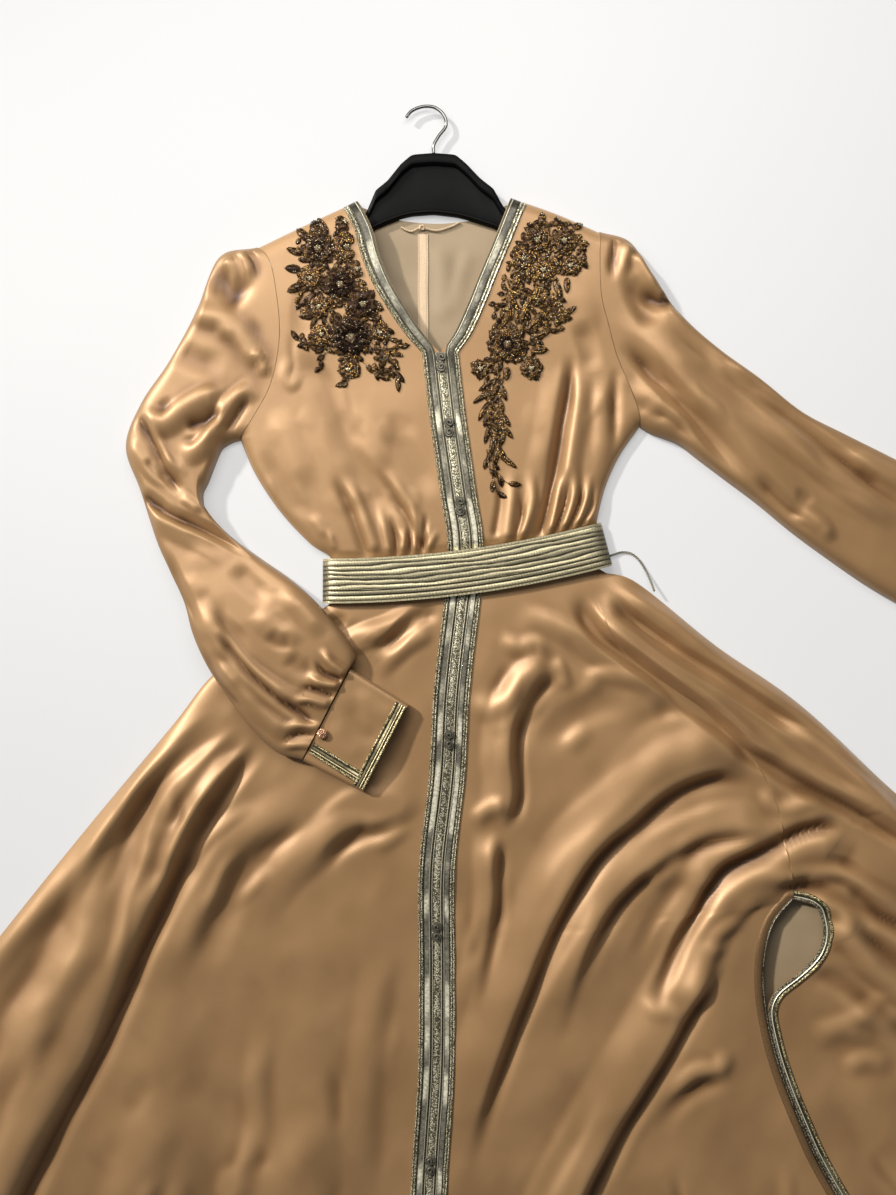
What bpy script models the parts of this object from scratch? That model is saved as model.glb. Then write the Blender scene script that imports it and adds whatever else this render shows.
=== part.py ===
"""A Moroccan kaftan laid flat on its back, with its hanger still in the shoulders.

The origin is on the floor under the middle of the waist. +X is the wearer's left,
+Y runs up towards the shoulders and +Z points up, away from the floor.
Sizes are in centimetres until an object is made, which turns them into metres.
The cloth is a 2 mm wall. Front panels arch over a flat back, and fold tables raise
ridges (height above 0) or sink troughs (height below 0) in them.
"""
import math
from collections import namedtuple

import bmesh
import bpy
import numpy as np
from mathutils import Vector
from mathutils.bvhtree import BVHTree

CM = 0.01                    # metres in a centimetre

# ---- driving sizes, in centimetres -------------------------------------------------
WALL = 0.20                  # cloth wall
SEAM = 0.03                  # gap between pieces that are sewn together
BACK_TOP = WALL              # top of the back layer, which lies on the floor
REST = BACK_TOP + SEAM       # where the rolled edges of the front layer rest
ROLL = 2.2                   # distance over which a rolled edge reaches full height
BODICE_CHEST = 1.45          # height of the front over the chest
BODICE_SHOULDER = 2.15       # and over the hanger in the shoulders
SKIRT_HEIGHT = 1.12          # height of the skirt front between its folds
SKIRT_LOWEST = 0.74          # no trough goes below this
SIDE_HEIGHT = 0.60           # height of a sleeve at its folded long edges
BELT_WIDTH = 5.3
BELT_HALF_LENGTH = 16.95
BELT_WALL = 0.24
BELT_UNDER = BELT_WALL + SEAM  # the back is lifted this much over the belt
BELT_RIBS = 7
RIB_HEIGHT = 0.12
BAND_HALF = 0.60             # half of the button band at the centre front
BRAID_WIDTH = 1.60
BRAID_GAP = 0.05
NECK_ROWS = 6                # bodice rows between the shoulder and the point of the V
SLIT_BRAID_WIDTH = 1.2
HOOK_WIRE = 0.4
CORD = 0.3                   # the belt's tie cord

Fold = namedtuple("Fold", "through left right height fades")
# through: points the fold runs along, from its upper end. left, right: how far its
# flanks reach on either hand when walking along it. fades: shares of its length over
# which it rises at its start and dies out at its end.
Section = namedtuple("Section", "outer inner lift height")
# one row of a sleeve: its two folded long edges, how far it is lifted, its thickness.


# ---- curves, patches and folds ---------------------------------------------------------
def smooth(points, per_span=12):
    """A Catmull-Rom curve through the points, as a dense array."""
    p = np.array(points, float)
    if len(p) < 3:
        t = np.linspace(0, 1, per_span + 1)[:, None]
        return p[0] * (1 - t) + p[-1] * t
    p = np.vstack([2 * p[0] - p[1], p, 2 * p[-1] - p[-2]])
    out = []
    for a, b, c, d in zip(p[:-3], p[1:-2], p[2:-1], p[3:]):
        t = np.linspace(0, 1, per_span, endpoint=False)[:, None]
        out.append(0.5 * (2 * b + (c - a) * t + (2 * a - 5 * b + 4 * c - d) * t ** 2
                          + (3 * b - a - 3 * c + d) * t ** 3))
    out.append(p[-2][None])
    return np.vstack(out)


def along(curve, shares):
    """Points at the given shares of a dense curve's length."""
    run = np.concatenate([[0], np.cumsum(np.linalg.norm(np.diff(curve, axis=0), axis=1))])
    run /= run[-1]
    return np.stack([np.interp(shares, run, curve[:, k]) for k in range(curve.shape[1])], -1)


def from_curve(xy, curve):
    """Distance, hand (+1 on the left) and share along the curve, for each point."""
    a, b = curve[:-1], curve[1:]
    seg = b - a
    rel = xy[..., None, :] - a
    t = np.clip((rel * seg).sum(-1) / np.maximum((seg ** 2).sum(-1), 1e-9), 0, 1)
    off = rel - t[..., None] * seg
    dist = np.linalg.norm(off, axis=-1)
    k = dist.argmin(-1)
    pick = lambda arr: np.take_along_axis(arr, k[..., None], -1)[..., 0]
    run = np.concatenate([[0], np.cumsum(np.linalg.norm(seg, axis=1))])
    length = run[-1]
    share = (run[k] + pick(t) * (run[k + 1] - run[k])) / length
    cross = seg[..., 0] * rel[..., 1] - seg[..., 1] * rel[..., 0]
    return pick(dist), np.sign(pick(cross)), share


def ease(t):
    t = np.clip(t, 0, 1)
    return t * t * (3 - 2 * t)


def fold_height(xy, folds):
    """Sum of the folds' heights at each point."""
    z = np.zeros(xy.shape[:-1])
    for fold in folds:
        dist, hand, share = from_curve(xy, smooth(fold.through, 8))
        q = dist / np.where(hand > 0, fold.left, fold.right)
        up, down = fold.fades
        run = ease(share / up if up else 1.0) * ease((1 - share) / down if down else 1.0)
        z += fold.height * np.clip(1 - q * q, 0, 1) ** 2 * run
    return z


def rolled(distance):
    """0 at a rolled edge, 1 beyond its reach, on a quarter circle."""
    return np.sqrt(1 - (1 - np.clip(distance / ROLL, 0, 1)) ** 2)


def columns(width, near_left, inner, near_right):
    """Shares across a row: fixed distances from its edges, and even ones between."""
    left = np.array(near_left)[None] / width[:, None]
    right = 1 - np.array(near_right)[None] / width[:, None]
    t = np.linspace(0, 1, inner + 2)[None, 1:-1]
    middle = left[:, -1:] * (1 - t) + right[:, :1] * t
    return np.hstack([left, middle, right])


def patch(left, right, u, first=None, last=None, power=2.0):
    """Rows ruled from left to right, bent to the first and last rows' own curves."""
    rows = np.linspace(0, 1, len(left))[:, None, None]
    grid = left[:, None] * (1 - u[..., None]) + right[:, None] * u[..., None]
    for curve, end, weight in ((first, 0, (1 - rows) ** power), (last, -1, rows ** power)):
        if curve is not None:
            straight = left[end] * (1 - u[..., None]) + right[end] * u[..., None]
            grid = grid + weight * (along(curve, u) - straight)
    return grid


def normals(grid, wrap=False):
    """Outward normals, lengthened where faces meet at an angle so the wall stays even."""
    nxt = np.roll(grid, -1, 1) if wrap else grid
    a, b = (grid, nxt) if wrap else (grid[:, :-1], grid[:, 1:])
    d1 = b[1:] - a[:-1]
    d2 = a[1:] - b[:-1]
    face = np.cross(d1, d2)
    face /= np.maximum(np.linalg.norm(face, axis=-1, keepdims=True), 1e-12)
    rows, cols = grid.shape[:2]
    total = np.zeros_like(grid)
    corners = []
    for di in (0, 1):
        for dj in (0, 1):
            part = np.full(grid.shape, np.nan)
            if wrap:
                part[di:rows - 1 + di] = np.roll(face, dj, 1)
            else:
                part[di:rows - 1 + di, dj:cols - 1 + dj] = face
            corners.append(part)
            total += np.nan_to_num(part)
    total /= np.maximum(np.linalg.norm(total, axis=-1, keepdims=True), 1e-12)
    dots = np.nanmin([np.where(np.isnan(c).any(-1), np.nan, (c * total).sum(-1))
                      for c in corners], axis=0)
    return total / np.clip(dots, 0.62, 1.0)[..., None]


# ---- objects ------------------------------------------------------------------------------
def material(name, colour, roughness, metallic=0.0):
    mat = bpy.data.materials.new(name)
    mat.use_nodes = True
    shader = mat.node_tree.nodes["Principled BSDF"]
    shader.inputs["Base Color"].default_value = (*colour, 1.0)
    shader.inputs["Roughness"].default_value = roughness
    shader.inputs["Metallic"].default_value = metallic
    return mat


def solid(name, points, faces, mat):
    """One closed object from points in centimetres."""
    mesh = bpy.data.meshes.new(name)
    mesh.from_pydata([tuple(float(c) * CM for c in p) for p in points], [], faces)
    mesh.materials.append(mat)
    bm = bmesh.new()
    bm.from_mesh(mesh)
    bmesh.ops.recalc_face_normals(bm, faces=bm.faces)
    bm.to_mesh(mesh)
    bm.free()
    mesh.shade_smooth()
    mesh.set_sharp_from_angle(angle=math.radians(40))
    obj = bpy.data.objects.new(name, mesh)
    bpy.context.scene.collection.objects.link(obj)
    return obj


def wall(name, top, under, mat, wrap=False):
    """A closed wall between two grids of the same size."""
    rows, cols = top.shape[:2]
    points = np.vstack([top.reshape(-1, 3), under.reshape(-1, 3)])
    at = lambda side, i, j: side * rows * cols + i * cols + j % cols
    faces = []
    for i in range(rows - 1):
        for j in range(cols if wrap else cols - 1):
            for side in (0, 1):
                a, b = at(side, i, j), at(side, i, j + 1)
                c, d = at(side, i + 1, j + 1), at(side, i + 1, j)
                pair = [(a, b, c), (a, c, d)]
                faces += pair if side else [f[::-1] for f in pair]
    rim = [(0, j, 0, j + 1) for j in range(cols if wrap else cols - 1)]
    rim += [(rows - 1, j, rows - 1, j + 1) for j in range(cols if wrap else cols - 1)]
    if not wrap:
        rim += [(i, 0, i + 1, 0) for i in range(rows - 1)]
        rim += [(i, cols - 1, i + 1, cols - 1) for i in range(rows - 1)]
    for i, j, k, m in rim:
        faces.append((at(0, i, j), at(0, k, m), at(1, k, m), at(1, i, j)))
    return solid(name, points, faces, mat)


def panel(name, top, mat, lowest, seams):
    """A cloth wall under a panel's outer points, never lower than its resting level.

    seams are index pairs of the edges that another piece meets. They are cut straight
    down, so that the walls on both sides stay apart.
    """
    n = up_normals(top)
    under = top - n * WALL
    plumb = top - np.array([0, 0, 1.0]) * (WALL / np.clip(n[..., 2:], 0.6, 1))
    for edge in seams:
        fits = (plumb[edge][..., 2] > lowest[edge] + 0.02)[..., None]
        under[edge] = np.where(fits, plumb[edge], under[edge])
    under[..., 2] = np.maximum(under[..., 2], lowest)
    return wall(name, top, under, mat)


def sleeve(name, grid, mat):
    """A hollow flattened tube of cloth with both ends cut square."""
    n = normals(grid, True)
    for end in (0, -1):
        edge = (np.roll(grid[end], -1, 0) - np.roll(grid[end], 1, 0))[:, :2]
        edge /= np.maximum(np.linalg.norm(edge, axis=1, keepdims=True), 1e-9)
        n[end, :, :2] = (n[end, :, :2] * edge).sum(1)[:, None] * edge
    return wall(name, grid, grid - n * WALL, mat, wrap=True)


def strip(name, edge_a, edge_b, up, profile, mat, gap=SEAM):
    """A band that lies on a panel between two of its columns, a before b.

    profile gives (share across, height) of its top. Its underside repeats the panel's
    own triangles.
    """
    rows, wide = len(edge_a), len(profile)
    points = []
    for a, b, na, nb in zip(edge_a, edge_b, up[0], up[1]):
        points += [a + na * gap, b + nb * gap]
        for share, height in profile:
            n = na * (1 - share) + nb * share
            points.append(a * (1 - share) + b * share + n * (gap + height))
    step = wide + 2
    faces = []
    for i in range(rows - 1):
        p, q = i * step, (i + 1) * step
        ring = [0] + list(range(2, step)) + [1]
        for m, n in zip(ring, ring[1:]):
            faces += [(p + m, p + n, q + n), (p + m, q + n, q + m)]
        faces += [(p + 1, p, q + 1), (p, q, q + 1)]
    for end in (0, rows - 1):
        faces.append([end * step + k for k in [0] + list(range(2, step)) + [1]])
    return solid(name, points, faces, mat)


def up_normals(grid):
    n = normals(grid)
    return n if n[..., 2].mean() > 0 else -n


def straight_up(grid):
    """Upward steps that clear a sloping panel by their own length."""
    n = up_normals(grid)
    up = np.zeros_like(grid)
    up[..., 2] = 1 / np.clip(n[..., 2] / np.linalg.norm(n, axis=-1), 0.45, 1)
    return up


def bead(name, centre, size, mat, around=8, rings=4):
    """A rounded knot or bead: a flattened ball."""
    points = [centre + np.array([0, 0, size[2]])]
    for i in range(1, rings):
        polar = math.pi * i / rings
        for j in range(around):
            turn = 2 * math.pi * j / around
            points.append(centre + np.array([size[0] * math.sin(polar) * math.cos(turn),
                                             size[1] * math.sin(polar) * math.sin(turn),
                                             size[2] * math.cos(polar)]))
    points.append(centre - np.array([0, 0, size[2]]))
    last = len(points) - 1
    faces = []
    for j in range(around):
        k = (j + 1) % around
        faces.append((0, 1 + j, 1 + k))
        for i in range(rings - 2):
            a = 1 + i * around
            faces.append((a + j, a + around + j, a + around + k, a + k))
        a = 1 + (rings - 2) * around
        faces.append((last, a + k, a + j))
    return solid(name, points, faces, mat)


def tube(name, route, diameter, mat, count, resolution=2):
    """A round tube on a poly spline, its points read from a smooth curve."""
    centre = along(smooth(route, 16), np.linspace(0, 1, count))
    curve = bpy.data.curves.new(name, "CURVE")
    curve.dimensions = "3D"
    curve.bevel_depth = diameter / 2 * CM
    curve.bevel_resolution = resolution
    curve.use_fill_caps = True
    spline = curve.splines.new("POLY")
    spline.points.add(count - 1)
    for point, xyz in zip(spline.points, centre):
        point.co = (*(float(c) * CM for c in xyz), 1.0)
    curve.materials.append(mat)
    obj = bpy.data.objects.new(name, curve)
    bpy.context.scene.collection.objects.link(obj)
    return obj


for old in list(bpy.data.objects):
    bpy.data.objects.remove(old)

satin = material("satin", (0.48, 0.29, 0.13), 0.38)
lining = material("satin_inside", (0.40, 0.29, 0.16), 0.6)
braid = material("metallic_braid", (0.42, 0.38, 0.24), 0.35, 0.6)
belt_finish = material("belt_braid", (0.36, 0.32, 0.18), 0.35, 0.6)
beads = material("bronze_beads", (0.10, 0.06, 0.03), 0.35, 0.4)
rose_beads = material("rose_beads", (0.45, 0.25, 0.15), 0.3, 0.6)
plastic = material("black_plastic", (0.012, 0.012, 0.012), 0.3)
steel = material("dark_chrome", (0.35, 0.35, 0.36), 0.2, 1.0)
tape_finish = material("cream_tape", (0.75, 0.55, 0.33), 0.7)

# ---- the waist, where belt, bodice and skirt meet ------------------------------------------
WAIST_LEVEL, WAIST_SLOPE, WAIST_CURVE = -0.65, 0.1305, 0.00403


def waist_y(x):
    return WAIST_LEVEL + WAIST_SLOPE * x + WAIST_CURVE * x * x


def waist_line(x0, x1, shift):
    x = np.linspace(x0, x1, 25)
    return np.stack([x, waist_y(x) + shift], -1)


BELT_CLEAR = BELT_WIDTH / 2 + 0.75   # the lifted stretch of the back over the belt
BELT_RAMP = BELT_WIDTH / 2 + 4.2     # and where it is down on the floor again


def back_lift(xy):
    """How far the back layer is raised by the belt that passes under it."""
    off = np.abs(xy[..., 1] - waist_y(xy[..., 0]))
    return BELT_UNDER * ease((BELT_RAMP - off) / (BELT_RAMP - BELT_CLEAR))


# ---- outlines ---------------------------------------------------------------------------------
CENTRE_FRONT = smooth([(-2.9, 25.3), (-2.05, 18), (-1.35, 13), (-0.65, 8), (0.0, 4),
                       (0.2, waist_y(0.2))])
CENTRE_SKIRT = smooth([(0.2, waist_y(0.2)), (-0.4, -5), (-1.55, -15), (-2.1, -25),
                       (-3.3, -36), (-3.3, -48), (-3.4, -60), (-4.2, -73), (-6.0, -107)])
NECK_LEFT = smooth([(-12.9, 43.7), (-11, 40), (-10, 36.5), (-8.5, 33), (-6, 29),
                    (-3.9, 26.3), (-2.9, 25.3)])
NECK_RIGHT = smooth([(5.6, 44.1), (3.6, 39), (1.7, 34.5), (0.2, 30.8), (-1.3, 27.6),
                     (-2.9, 25.3)])
ARMHOLE_LEFT = smooth([(-24.8, 38.1), (-23, 36), (-22.2, 32), (-21.9, 28), (-22.3, 24.5),
                       (-23.3, 21), (-25.2, 17.6), (-26.8, 15.1)])
ARMHOLE_RIGHT = smooth([(16, 40), (15.9, 36), (16.1, 32), (17, 28.5), (18, 25),
                        (19.5, 21.5), (20.6, 18.5), (20.9, 16.7)])
WAIST_LEFT_END, WAIST_RIGHT_END = -16.1, 15.8
SIDE_LEFT = smooth([(-26.8, 15.1), (-25, 11), (-22, 6.5), (-18.4, 2.7), (-16.2, 1.3),
                    (-16.0, 0.2), (WAIST_LEFT_END, waist_y(WAIST_LEFT_END))])
SIDE_RIGHT = smooth([(20.9, 16.7), (18.6, 13.4), (17.0, 10), (16.0, 6.5), (15.7, 4.4),
                     (WAIST_RIGHT_END, waist_y(WAIST_RIGHT_END))])
OUTLINE_LEFT = smooth([(WAIST_LEFT_END, waist_y(WAIST_LEFT_END)), (-16.1, -4.4),
                       (-23, -7.8), (-30, -12.8), (-35, -19), (-45, -31), (-55, -43.4),
                       (-68, -60), (-78, -74)])
OUTLINE_RIGHT = smooth([(WAIST_RIGHT_END, waist_y(WAIST_RIGHT_END)), (16.2, -0.4),
                        (20.6, -1.9), (30, -9.4), (40, -16.4), (51, -26.6), (63, -37),
                        (73, -50), (78, -67), (76, -80)])
HEM_LEFT = smooth([(-78, -74), (-72, -81), (-60, -89.5), (-40, -99.5), (-20, -105.5),
                   (-6, -107)])
HEM_RIGHT = smooth([(-6, -107), (10, -106.6), (34, -101.5), (56, -93.5)])
HEM_TURN = smooth([(56, -93.5), (66, -88.5), (73, -83.5), (76, -80)])
# the right side seam has rolled to the front: it runs down to the slit, and on as the
# slit's two edges, which part in a drop-shaped opening and close again below it
SEAM_TOP_X = 14.2
SIDE_SEAM = [(SEAM_TOP_X, waist_y(SEAM_TOP_X)), (15.6, -3.8), (18, -9), (22, -12.6),
             (28, -17.2), (33, -21.4), (36.3, -26.5), (38, -33), (39, -39.6)]
SLIT_FRONT = [(39, -39.6), (36.6, -42.6), (35.6, -47), (35.8, -52), (37.2, -58.5),
              (40, -66), (44, -74), (56, -93.5)]
SLIT_OPENING = [(-39.6, 0), (-42.6, 5.4), (-46.4, 6.0), (-50.4, 1.6), (-53.5, 0)]
SEAM_ROWS = 11               # skirt rows above the slit


def seam_and_slit(side):
    """The side seam and one edge of the slit, at the skirt's rows: -1 front, 1 back."""
    upper = along(smooth(SIDE_SEAM), np.linspace(0, 1, SEAM_ROWS))
    shares = np.linspace(0, 1, SKIRT_ROWS - SEAM_ROWS + 1) ** 1.25
    points = np.vstack([upper, along(smooth(SLIT_FRONT), shares)[1:]])
    run = np.gradient(points, axis=0)
    east = np.stack([-run[:, 1], run[:, 0]], -1) / np.linalg.norm(run, axis=1, keepdims=True)
    points = points + east * side * SEAM / 2
    if side > 0:
        y, width = zip(*SLIT_OPENING[::-1])
        points[:, 0] += np.interp(points[:, 1], y, width, left=0, right=0)
    return points


# ---- the skirt ----------------------------------------------------------------------------------
SKIRT_ROWS = 25
BELT_EDGE_SHARE = 0.034      # the first row below the belt's lifted stretch

SKIRT_FOLDS_LEFT = [
    Fold([(-26, -21), (-34, -29), (-41, -43), (-48, -58), (-58, -82)], 2.8, 4.5, 1.05, (.2, 0)),
    Fold([(-23.5, -21), (-31.5, -34), (-41, -51), (-50, -70), (-55, -82)], 2.6, 2.2, -0.5, (.1, 0)),
    Fold([(-31, -18), (-38, -27), (-46, -40), (-52, -47)], 2.4, 2.4, -0.35, (.2, .3)),
    Fold([(-43, -41), (-48, -49), (-56, -63)], 2.6, 2.4, 0.5, (.3, .4)),
    Fold([(-20, -27), (-27, -32), (-37, -44)], 3.0, 3.0, 0.25, (.4, .4)),
    Fold([(-5, -26), (-11, -30), (-21, -35)], 2.6, 2.2, 0.35, (.2, .5)),
    Fold([(-32, -62), (-37, -69), (-43, -82)], 3.5, 3.0, 0.45, (.4, .4)),
    Fold([(-60, -57), (-66, -68), (-71, -79)], 3.5, 3.5, 0.45, (.4, .0)),
    Fold([(-15, -60), (-19, -82), (-22, -104)], 5.0, 4.0, 0.45, (.6, .0)),
]
SKIRT_FOLDS_RIGHT = [
    Fold([(15, -1.5), (25, -10.8), (40, -20.5), (49, -28.5), (63, -40)], 2.0, 2.2, 0.5, (.15, .3)),
    Fold([(17, -5), (28, -14), (40, -23), (51, -30), (66, -42)], 2.2, 2.0, 0.6, (.15, .3)),
    Fold([(14, -5), (22, -12.4), (33, -21.2), (43, -27.7), (54, -33)], 1.8, 2.0, -0.4, (.1, .3)),
    Fold([(24, -21.5), (29, -20.7), (34.5, -23.5)], 2.5, 3.0, 0.55, (.4, .3)),
    Fold([(33, -22.5), (22, -26.5), (14, -33.5), (9.5, -42), (4, -56), (0, -68)],
         2.2, 3.0, 0.55, (.15, .4)),
    Fold([(34, -25), (26, -26), (18, -32.5), (13, -39), (8, -50), (2, -68)],
         2.5, 2.0, -0.4, (.15, .3)),
    Fold([(36, -31), (28, -31.3), (20, -37), (15, -46)], 2.4, 2.2, 0.8, (.2, .5)),
    Fold([(44, -30.5), (36, -33), (29.5, -37.5), (26, -44), (22.3, -51.5)],
         2.0, 1.8, -0.45, (.2, .2)),
    Fold([(45, -33), (38, -35), (31, -40), (28, -48), (24.5, -53)], 2.0, 2.4, 0.8, (.2, .2)),
    Fold([(36, -37.5), (43, -37), (52, -40.5), (62, -47)], 2.0, 2.0, 0.6, (.2, .3)),
    Fold([(1.5, -14), (3.5, -16.5), (8, -12), (11, -10.5)], 1.6, 1.8, 0.4, (.2, .3)),
    Fold([(9.5, -11), (5.5, -19), (1.5, -26)], 2.4, 2.0, 0.4, (.2, .3)),
    Fold([(10, -12), (6.4, -20), (5.4, -31), (3.9, -42), (1, -53)], 2.0, 2.0, -0.32, (.2, .3)),
    Fold([(24, -52), (22, -58), (15, -70), (10, -80), (5, -98)], 3.0, 2.4, 0.8, (.1, .2)),
    Fold([(26, -54), (20, -65), (15, -76), (11, -88)], 2.2, 2.2, -0.35, (.2, .4)),
    Fold([(31, -57), (27, -61), (22, -68)], 2.4, 2.4, 0.4, (.3, .4)),
    Fold([(43, -42.5), (47, -46), (55, -51), (66, -58)], 2.4, 2.2, 0.7, (.1, .3)),
    Fold([(39, -51.5), (44, -52.5), (52, -57), (60, -64)], 2.2, 2.2, -0.3, (.3, .3)),
    Fold([(47, -58), (54, -70), (62, -86)], 3.5, 3.5, 0.5, (.3, .1)),
    Fold([(65, -48), (72, -62), (72, -80)], 3.0, 3.5, 0.5, (.3, .1)),
    Fold([(30, -75), (34, -88), (38, -99)], 4.0, 4.0, 0.5, (.4, .0)),
]


def skirt_rows(curve):
    shares = BELT_EDGE_SHARE * 2 + (1 - BELT_EDGE_SHARE * 2) * np.linspace(
        0, 1, SKIRT_ROWS - 2)
    return along(curve, np.concatenate([[0, BELT_EDGE_SHARE], shares]))


def skirt_top(xy, folds, edge):
    """Outer height of the skirt front. Under the belt it lies low and plain."""
    height = SKIRT_HEIGHT + fold_height(xy, folds)
    under_belt = ease((waist_y(xy[..., 0]) - xy[..., 1] - 2.0) / 5.0)
    height = np.maximum(height * under_belt + 1.05 * (1 - under_belt), SKIRT_LOWEST)
    level = REST + back_lift(xy)
    return level + np.maximum(height - level, 0.3) * rolled(from_curve(xy, edge)[0])


def on_panel(xy, z):
    return np.dstack([xy, z])


def shifted(points, dx):
    return points + np.array([dx, 0.0])


def width_of(left, right):
    return np.linalg.norm(right - left, axis=1)


centre = skirt_rows(CENTRE_SKIRT)
left_edge = skirt_rows(OUTLINE_LEFT)
left_edge[0, 1] -= SEAM / 2
centre[0, 1] -= SEAM / 2

sfl_right = shifted(centre, -SEAM / 2)
u = columns(width_of(left_edge, sfl_right), [0, .35, 1.0, ROLL], 14,
            [BAND_HALF + BRAID_WIDTH, BAND_HALF, 0])
xy = patch(left_edge, sfl_right, u, waist_line(WAIST_LEFT_END, 0.2, -SEAM / 2), HEM_LEFT, 2.5)
skirt_left = on_panel(xy, skirt_top(xy, SKIRT_FOLDS_LEFT, OUTLINE_LEFT))

front_edge = seam_and_slit(-1)
sfr_left = shifted(centre, SEAM / 2)
u = columns(width_of(sfr_left, front_edge), [0, BAND_HALF, BAND_HALF + BRAID_WIDTH], 15,
            [SLIT_BRAID_WIDTH, 0])
xy = patch(sfr_left, front_edge, u, waist_line(0.2, SEAM_TOP_X, -SEAM / 2), HEM_RIGHT, 2.5)
skirt_right = on_panel(xy, skirt_top(xy, SKIRT_FOLDS_RIGHT, OUTLINE_RIGHT))

side_edge = seam_and_slit(1)
side_edge[0, 1] -= SEAM / 2
right_edge = skirt_rows(OUTLINE_RIGHT)
right_edge[0, 1] -= SEAM / 2
turn_width = width_of(side_edge, right_edge)
near = np.minimum(1.0, turn_width / 6.0)
left_near = np.array([0, SLIT_BRAID_WIDTH])[None] * near[:, None] / turn_width[:, None]
right_near = 1 - np.array([ROLL, 1.0, .35, 0])[None] * near[:, None] / turn_width[:, None]
t = np.linspace(0, 1, 8)[None, 1:-1]
u = np.hstack([left_near, left_near[:, -1:] * (1 - t) + right_near[:, :1] * t, right_near])
xy = patch(side_edge, right_edge, u, waist_line(SEAM_TOP_X, WAIST_RIGHT_END, -SEAM / 2),
           HEM_TURN, 2.5)
skirt_turn = on_panel(xy, skirt_top(xy, SKIRT_FOLDS_RIGHT, OUTLINE_RIGHT))

FIRST_ROW, LAST_ROW = np.s_[0], np.s_[-1]
FIRST_COLUMN, LAST_COLUMN = np.s_[:, 0], np.s_[:, -1]
for name, grid, seams in (
        ("skirt_front_left", skirt_left, [FIRST_ROW, LAST_COLUMN]),
        ("skirt_front_right", skirt_right, [FIRST_ROW, FIRST_COLUMN, LAST_COLUMN]),
        ("skirt_back_turn", skirt_turn, [FIRST_ROW, FIRST_COLUMN])):
    panel(name, grid, satin, REST + back_lift(grid[..., :2]), seams)

BACK_INSET = 0.35            # the back's edge is tucked under the front's rolled edge
back_rows = np.array([0, 0.6, 1, 2, 3.4, 5, 6.5, 8, 9, 10]) / 10 * (1 - 2 * BELT_EDGE_SHARE)
back_rows = np.concatenate([[0, BELT_EDGE_SHARE], back_rows + 2 * BELT_EDGE_SHARE])
back_left = along(OUTLINE_LEFT, back_rows) + np.array([BACK_INSET, 0])
back_right = along(OUTLINE_RIGHT, back_rows) - np.array([BACK_INSET, 0])
whole_hem = np.vstack([HEM_LEFT, HEM_RIGHT[1:], HEM_TURN[1:]])
u = np.repeat(np.linspace(0, 1, 10)[None], len(back_rows), 0)
xy = patch(back_left, back_right, u,
           waist_line(WAIST_LEFT_END + BACK_INSET, WAIST_RIGHT_END - BACK_INSET, -SEAM / 2),
           whole_hem + np.array([0, BACK_INSET]), 2.5)
lift = back_lift(xy)
lift[2:] = np.where(lift[2:] < 0.02, 0, lift[2:])
wall("skirt_back", on_panel(xy, lift + WALL), on_panel(xy, lift), lining)

# ---- the bodice --------------------------------------------------------------------------------
ARM_NEAR = [0, 0.5, ROLL]    # rows by the shoulder tip and by the underarm
ARM_INNER = 5
SIDE_SHARES = [0.3, 0.55, 0.72, 0.84, 1.0]

BODICE_FOLDS_LEFT = [
    Fold([(-20, 25.5), (-16, 19), (-13.5, 13.5), (-9, 5)], 2.0, 2.2, -0.3, (.2, .1)),
    Fold([(-17.5, 12), (-14, 7), (-12.5, 3.5)], 1.8, 1.8, 0.35, (.3, 0)),
    Fold([(-10, 18), (-6, 12), (-3.5, 8)], 2.2, 2.0, -0.25, (.4, .3)),
    Fold([(-9.5, 12), (-7, 7), (-5.5, 4)], 1.6, 1.6, 0.3, (.3, 0)),
]
BODICE_FOLDS_RIGHT = [
    Fold([(12.6, 26), (12, 19), (10.8, 12), (8.8, 4.5)], 1.8, 1.8, -0.35, (.3, 0)),
    Fold([(14.8, 22), (14, 14), (12, 6.5)], 2.0, 1.8, 0.35, (.3, .1)),
    Fold([(7.5, 16), (7, 10), (6, 5)], 2.0, 2.0, 0.3, (.4, 0)),
    Fold([(17.7, 24), (17.6, 18), (17.5, 13)], 1.5, 1.5, -0.2, (.3, .3)),
]
GATHER_HEIGHT = 0.22         # every other column stands proud just above the belt
GATHER_REACH = 7.0


def armhole_shares(curve):
    length = np.linalg.norm(np.diff(curve, axis=0), axis=1).sum()
    width = np.array([length])
    return columns(width, ARM_NEAR, ARM_INNER, ARM_NEAR[::-1])[0]


def shoulder_height(xy):
    return BODICE_CHEST + (BODICE_SHOULDER - BODICE_CHEST) * ease((xy[..., 1] - 21) / 14)


def bodice_outer(armhole, side):
    arm = along(armhole, armhole_shares(armhole))
    low = along(side, SIDE_SHARES)
    return np.vstack([arm, low])


def bodice_inner(neck, rows):
    upper = along(neck, np.linspace(0, 1, NECK_ROWS + 1))
    lower = along(CENTRE_FRONT, np.linspace(0, 1, rows - NECK_ROWS))
    return np.vstack([upper, lower[1:]])


def gathers(xy):
    odd = (np.arange(xy.shape[1]) % 2)[None]
    above = xy[..., 1] - waist_y(xy[..., 0])
    return GATHER_HEIGHT * odd * ease((above - 2.4) / 1.0) * ease((GATHER_REACH + 3 - above) / 5)


def bodice_top(xy, folds, shoulder, side):
    height = shoulder_height(xy) + fold_height(xy, folds) + gathers(xy)
    low = ease((xy[..., 1] - waist_y(xy[..., 0]) - 2.2) / 4.0)
    height = height * low + 1.05 * (1 - low)
    level = REST + back_lift(xy)
    edge = np.minimum(from_curve(xy, shoulder)[0], from_curve(xy, side)[0])
    return level + (height - level) * rolled(edge)


def inset(points, towards, amount):
    """Points moved a little towards their row's other end."""
    step = towards - points
    return points + step / np.linalg.norm(step, axis=1, keepdims=True) * amount


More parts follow.
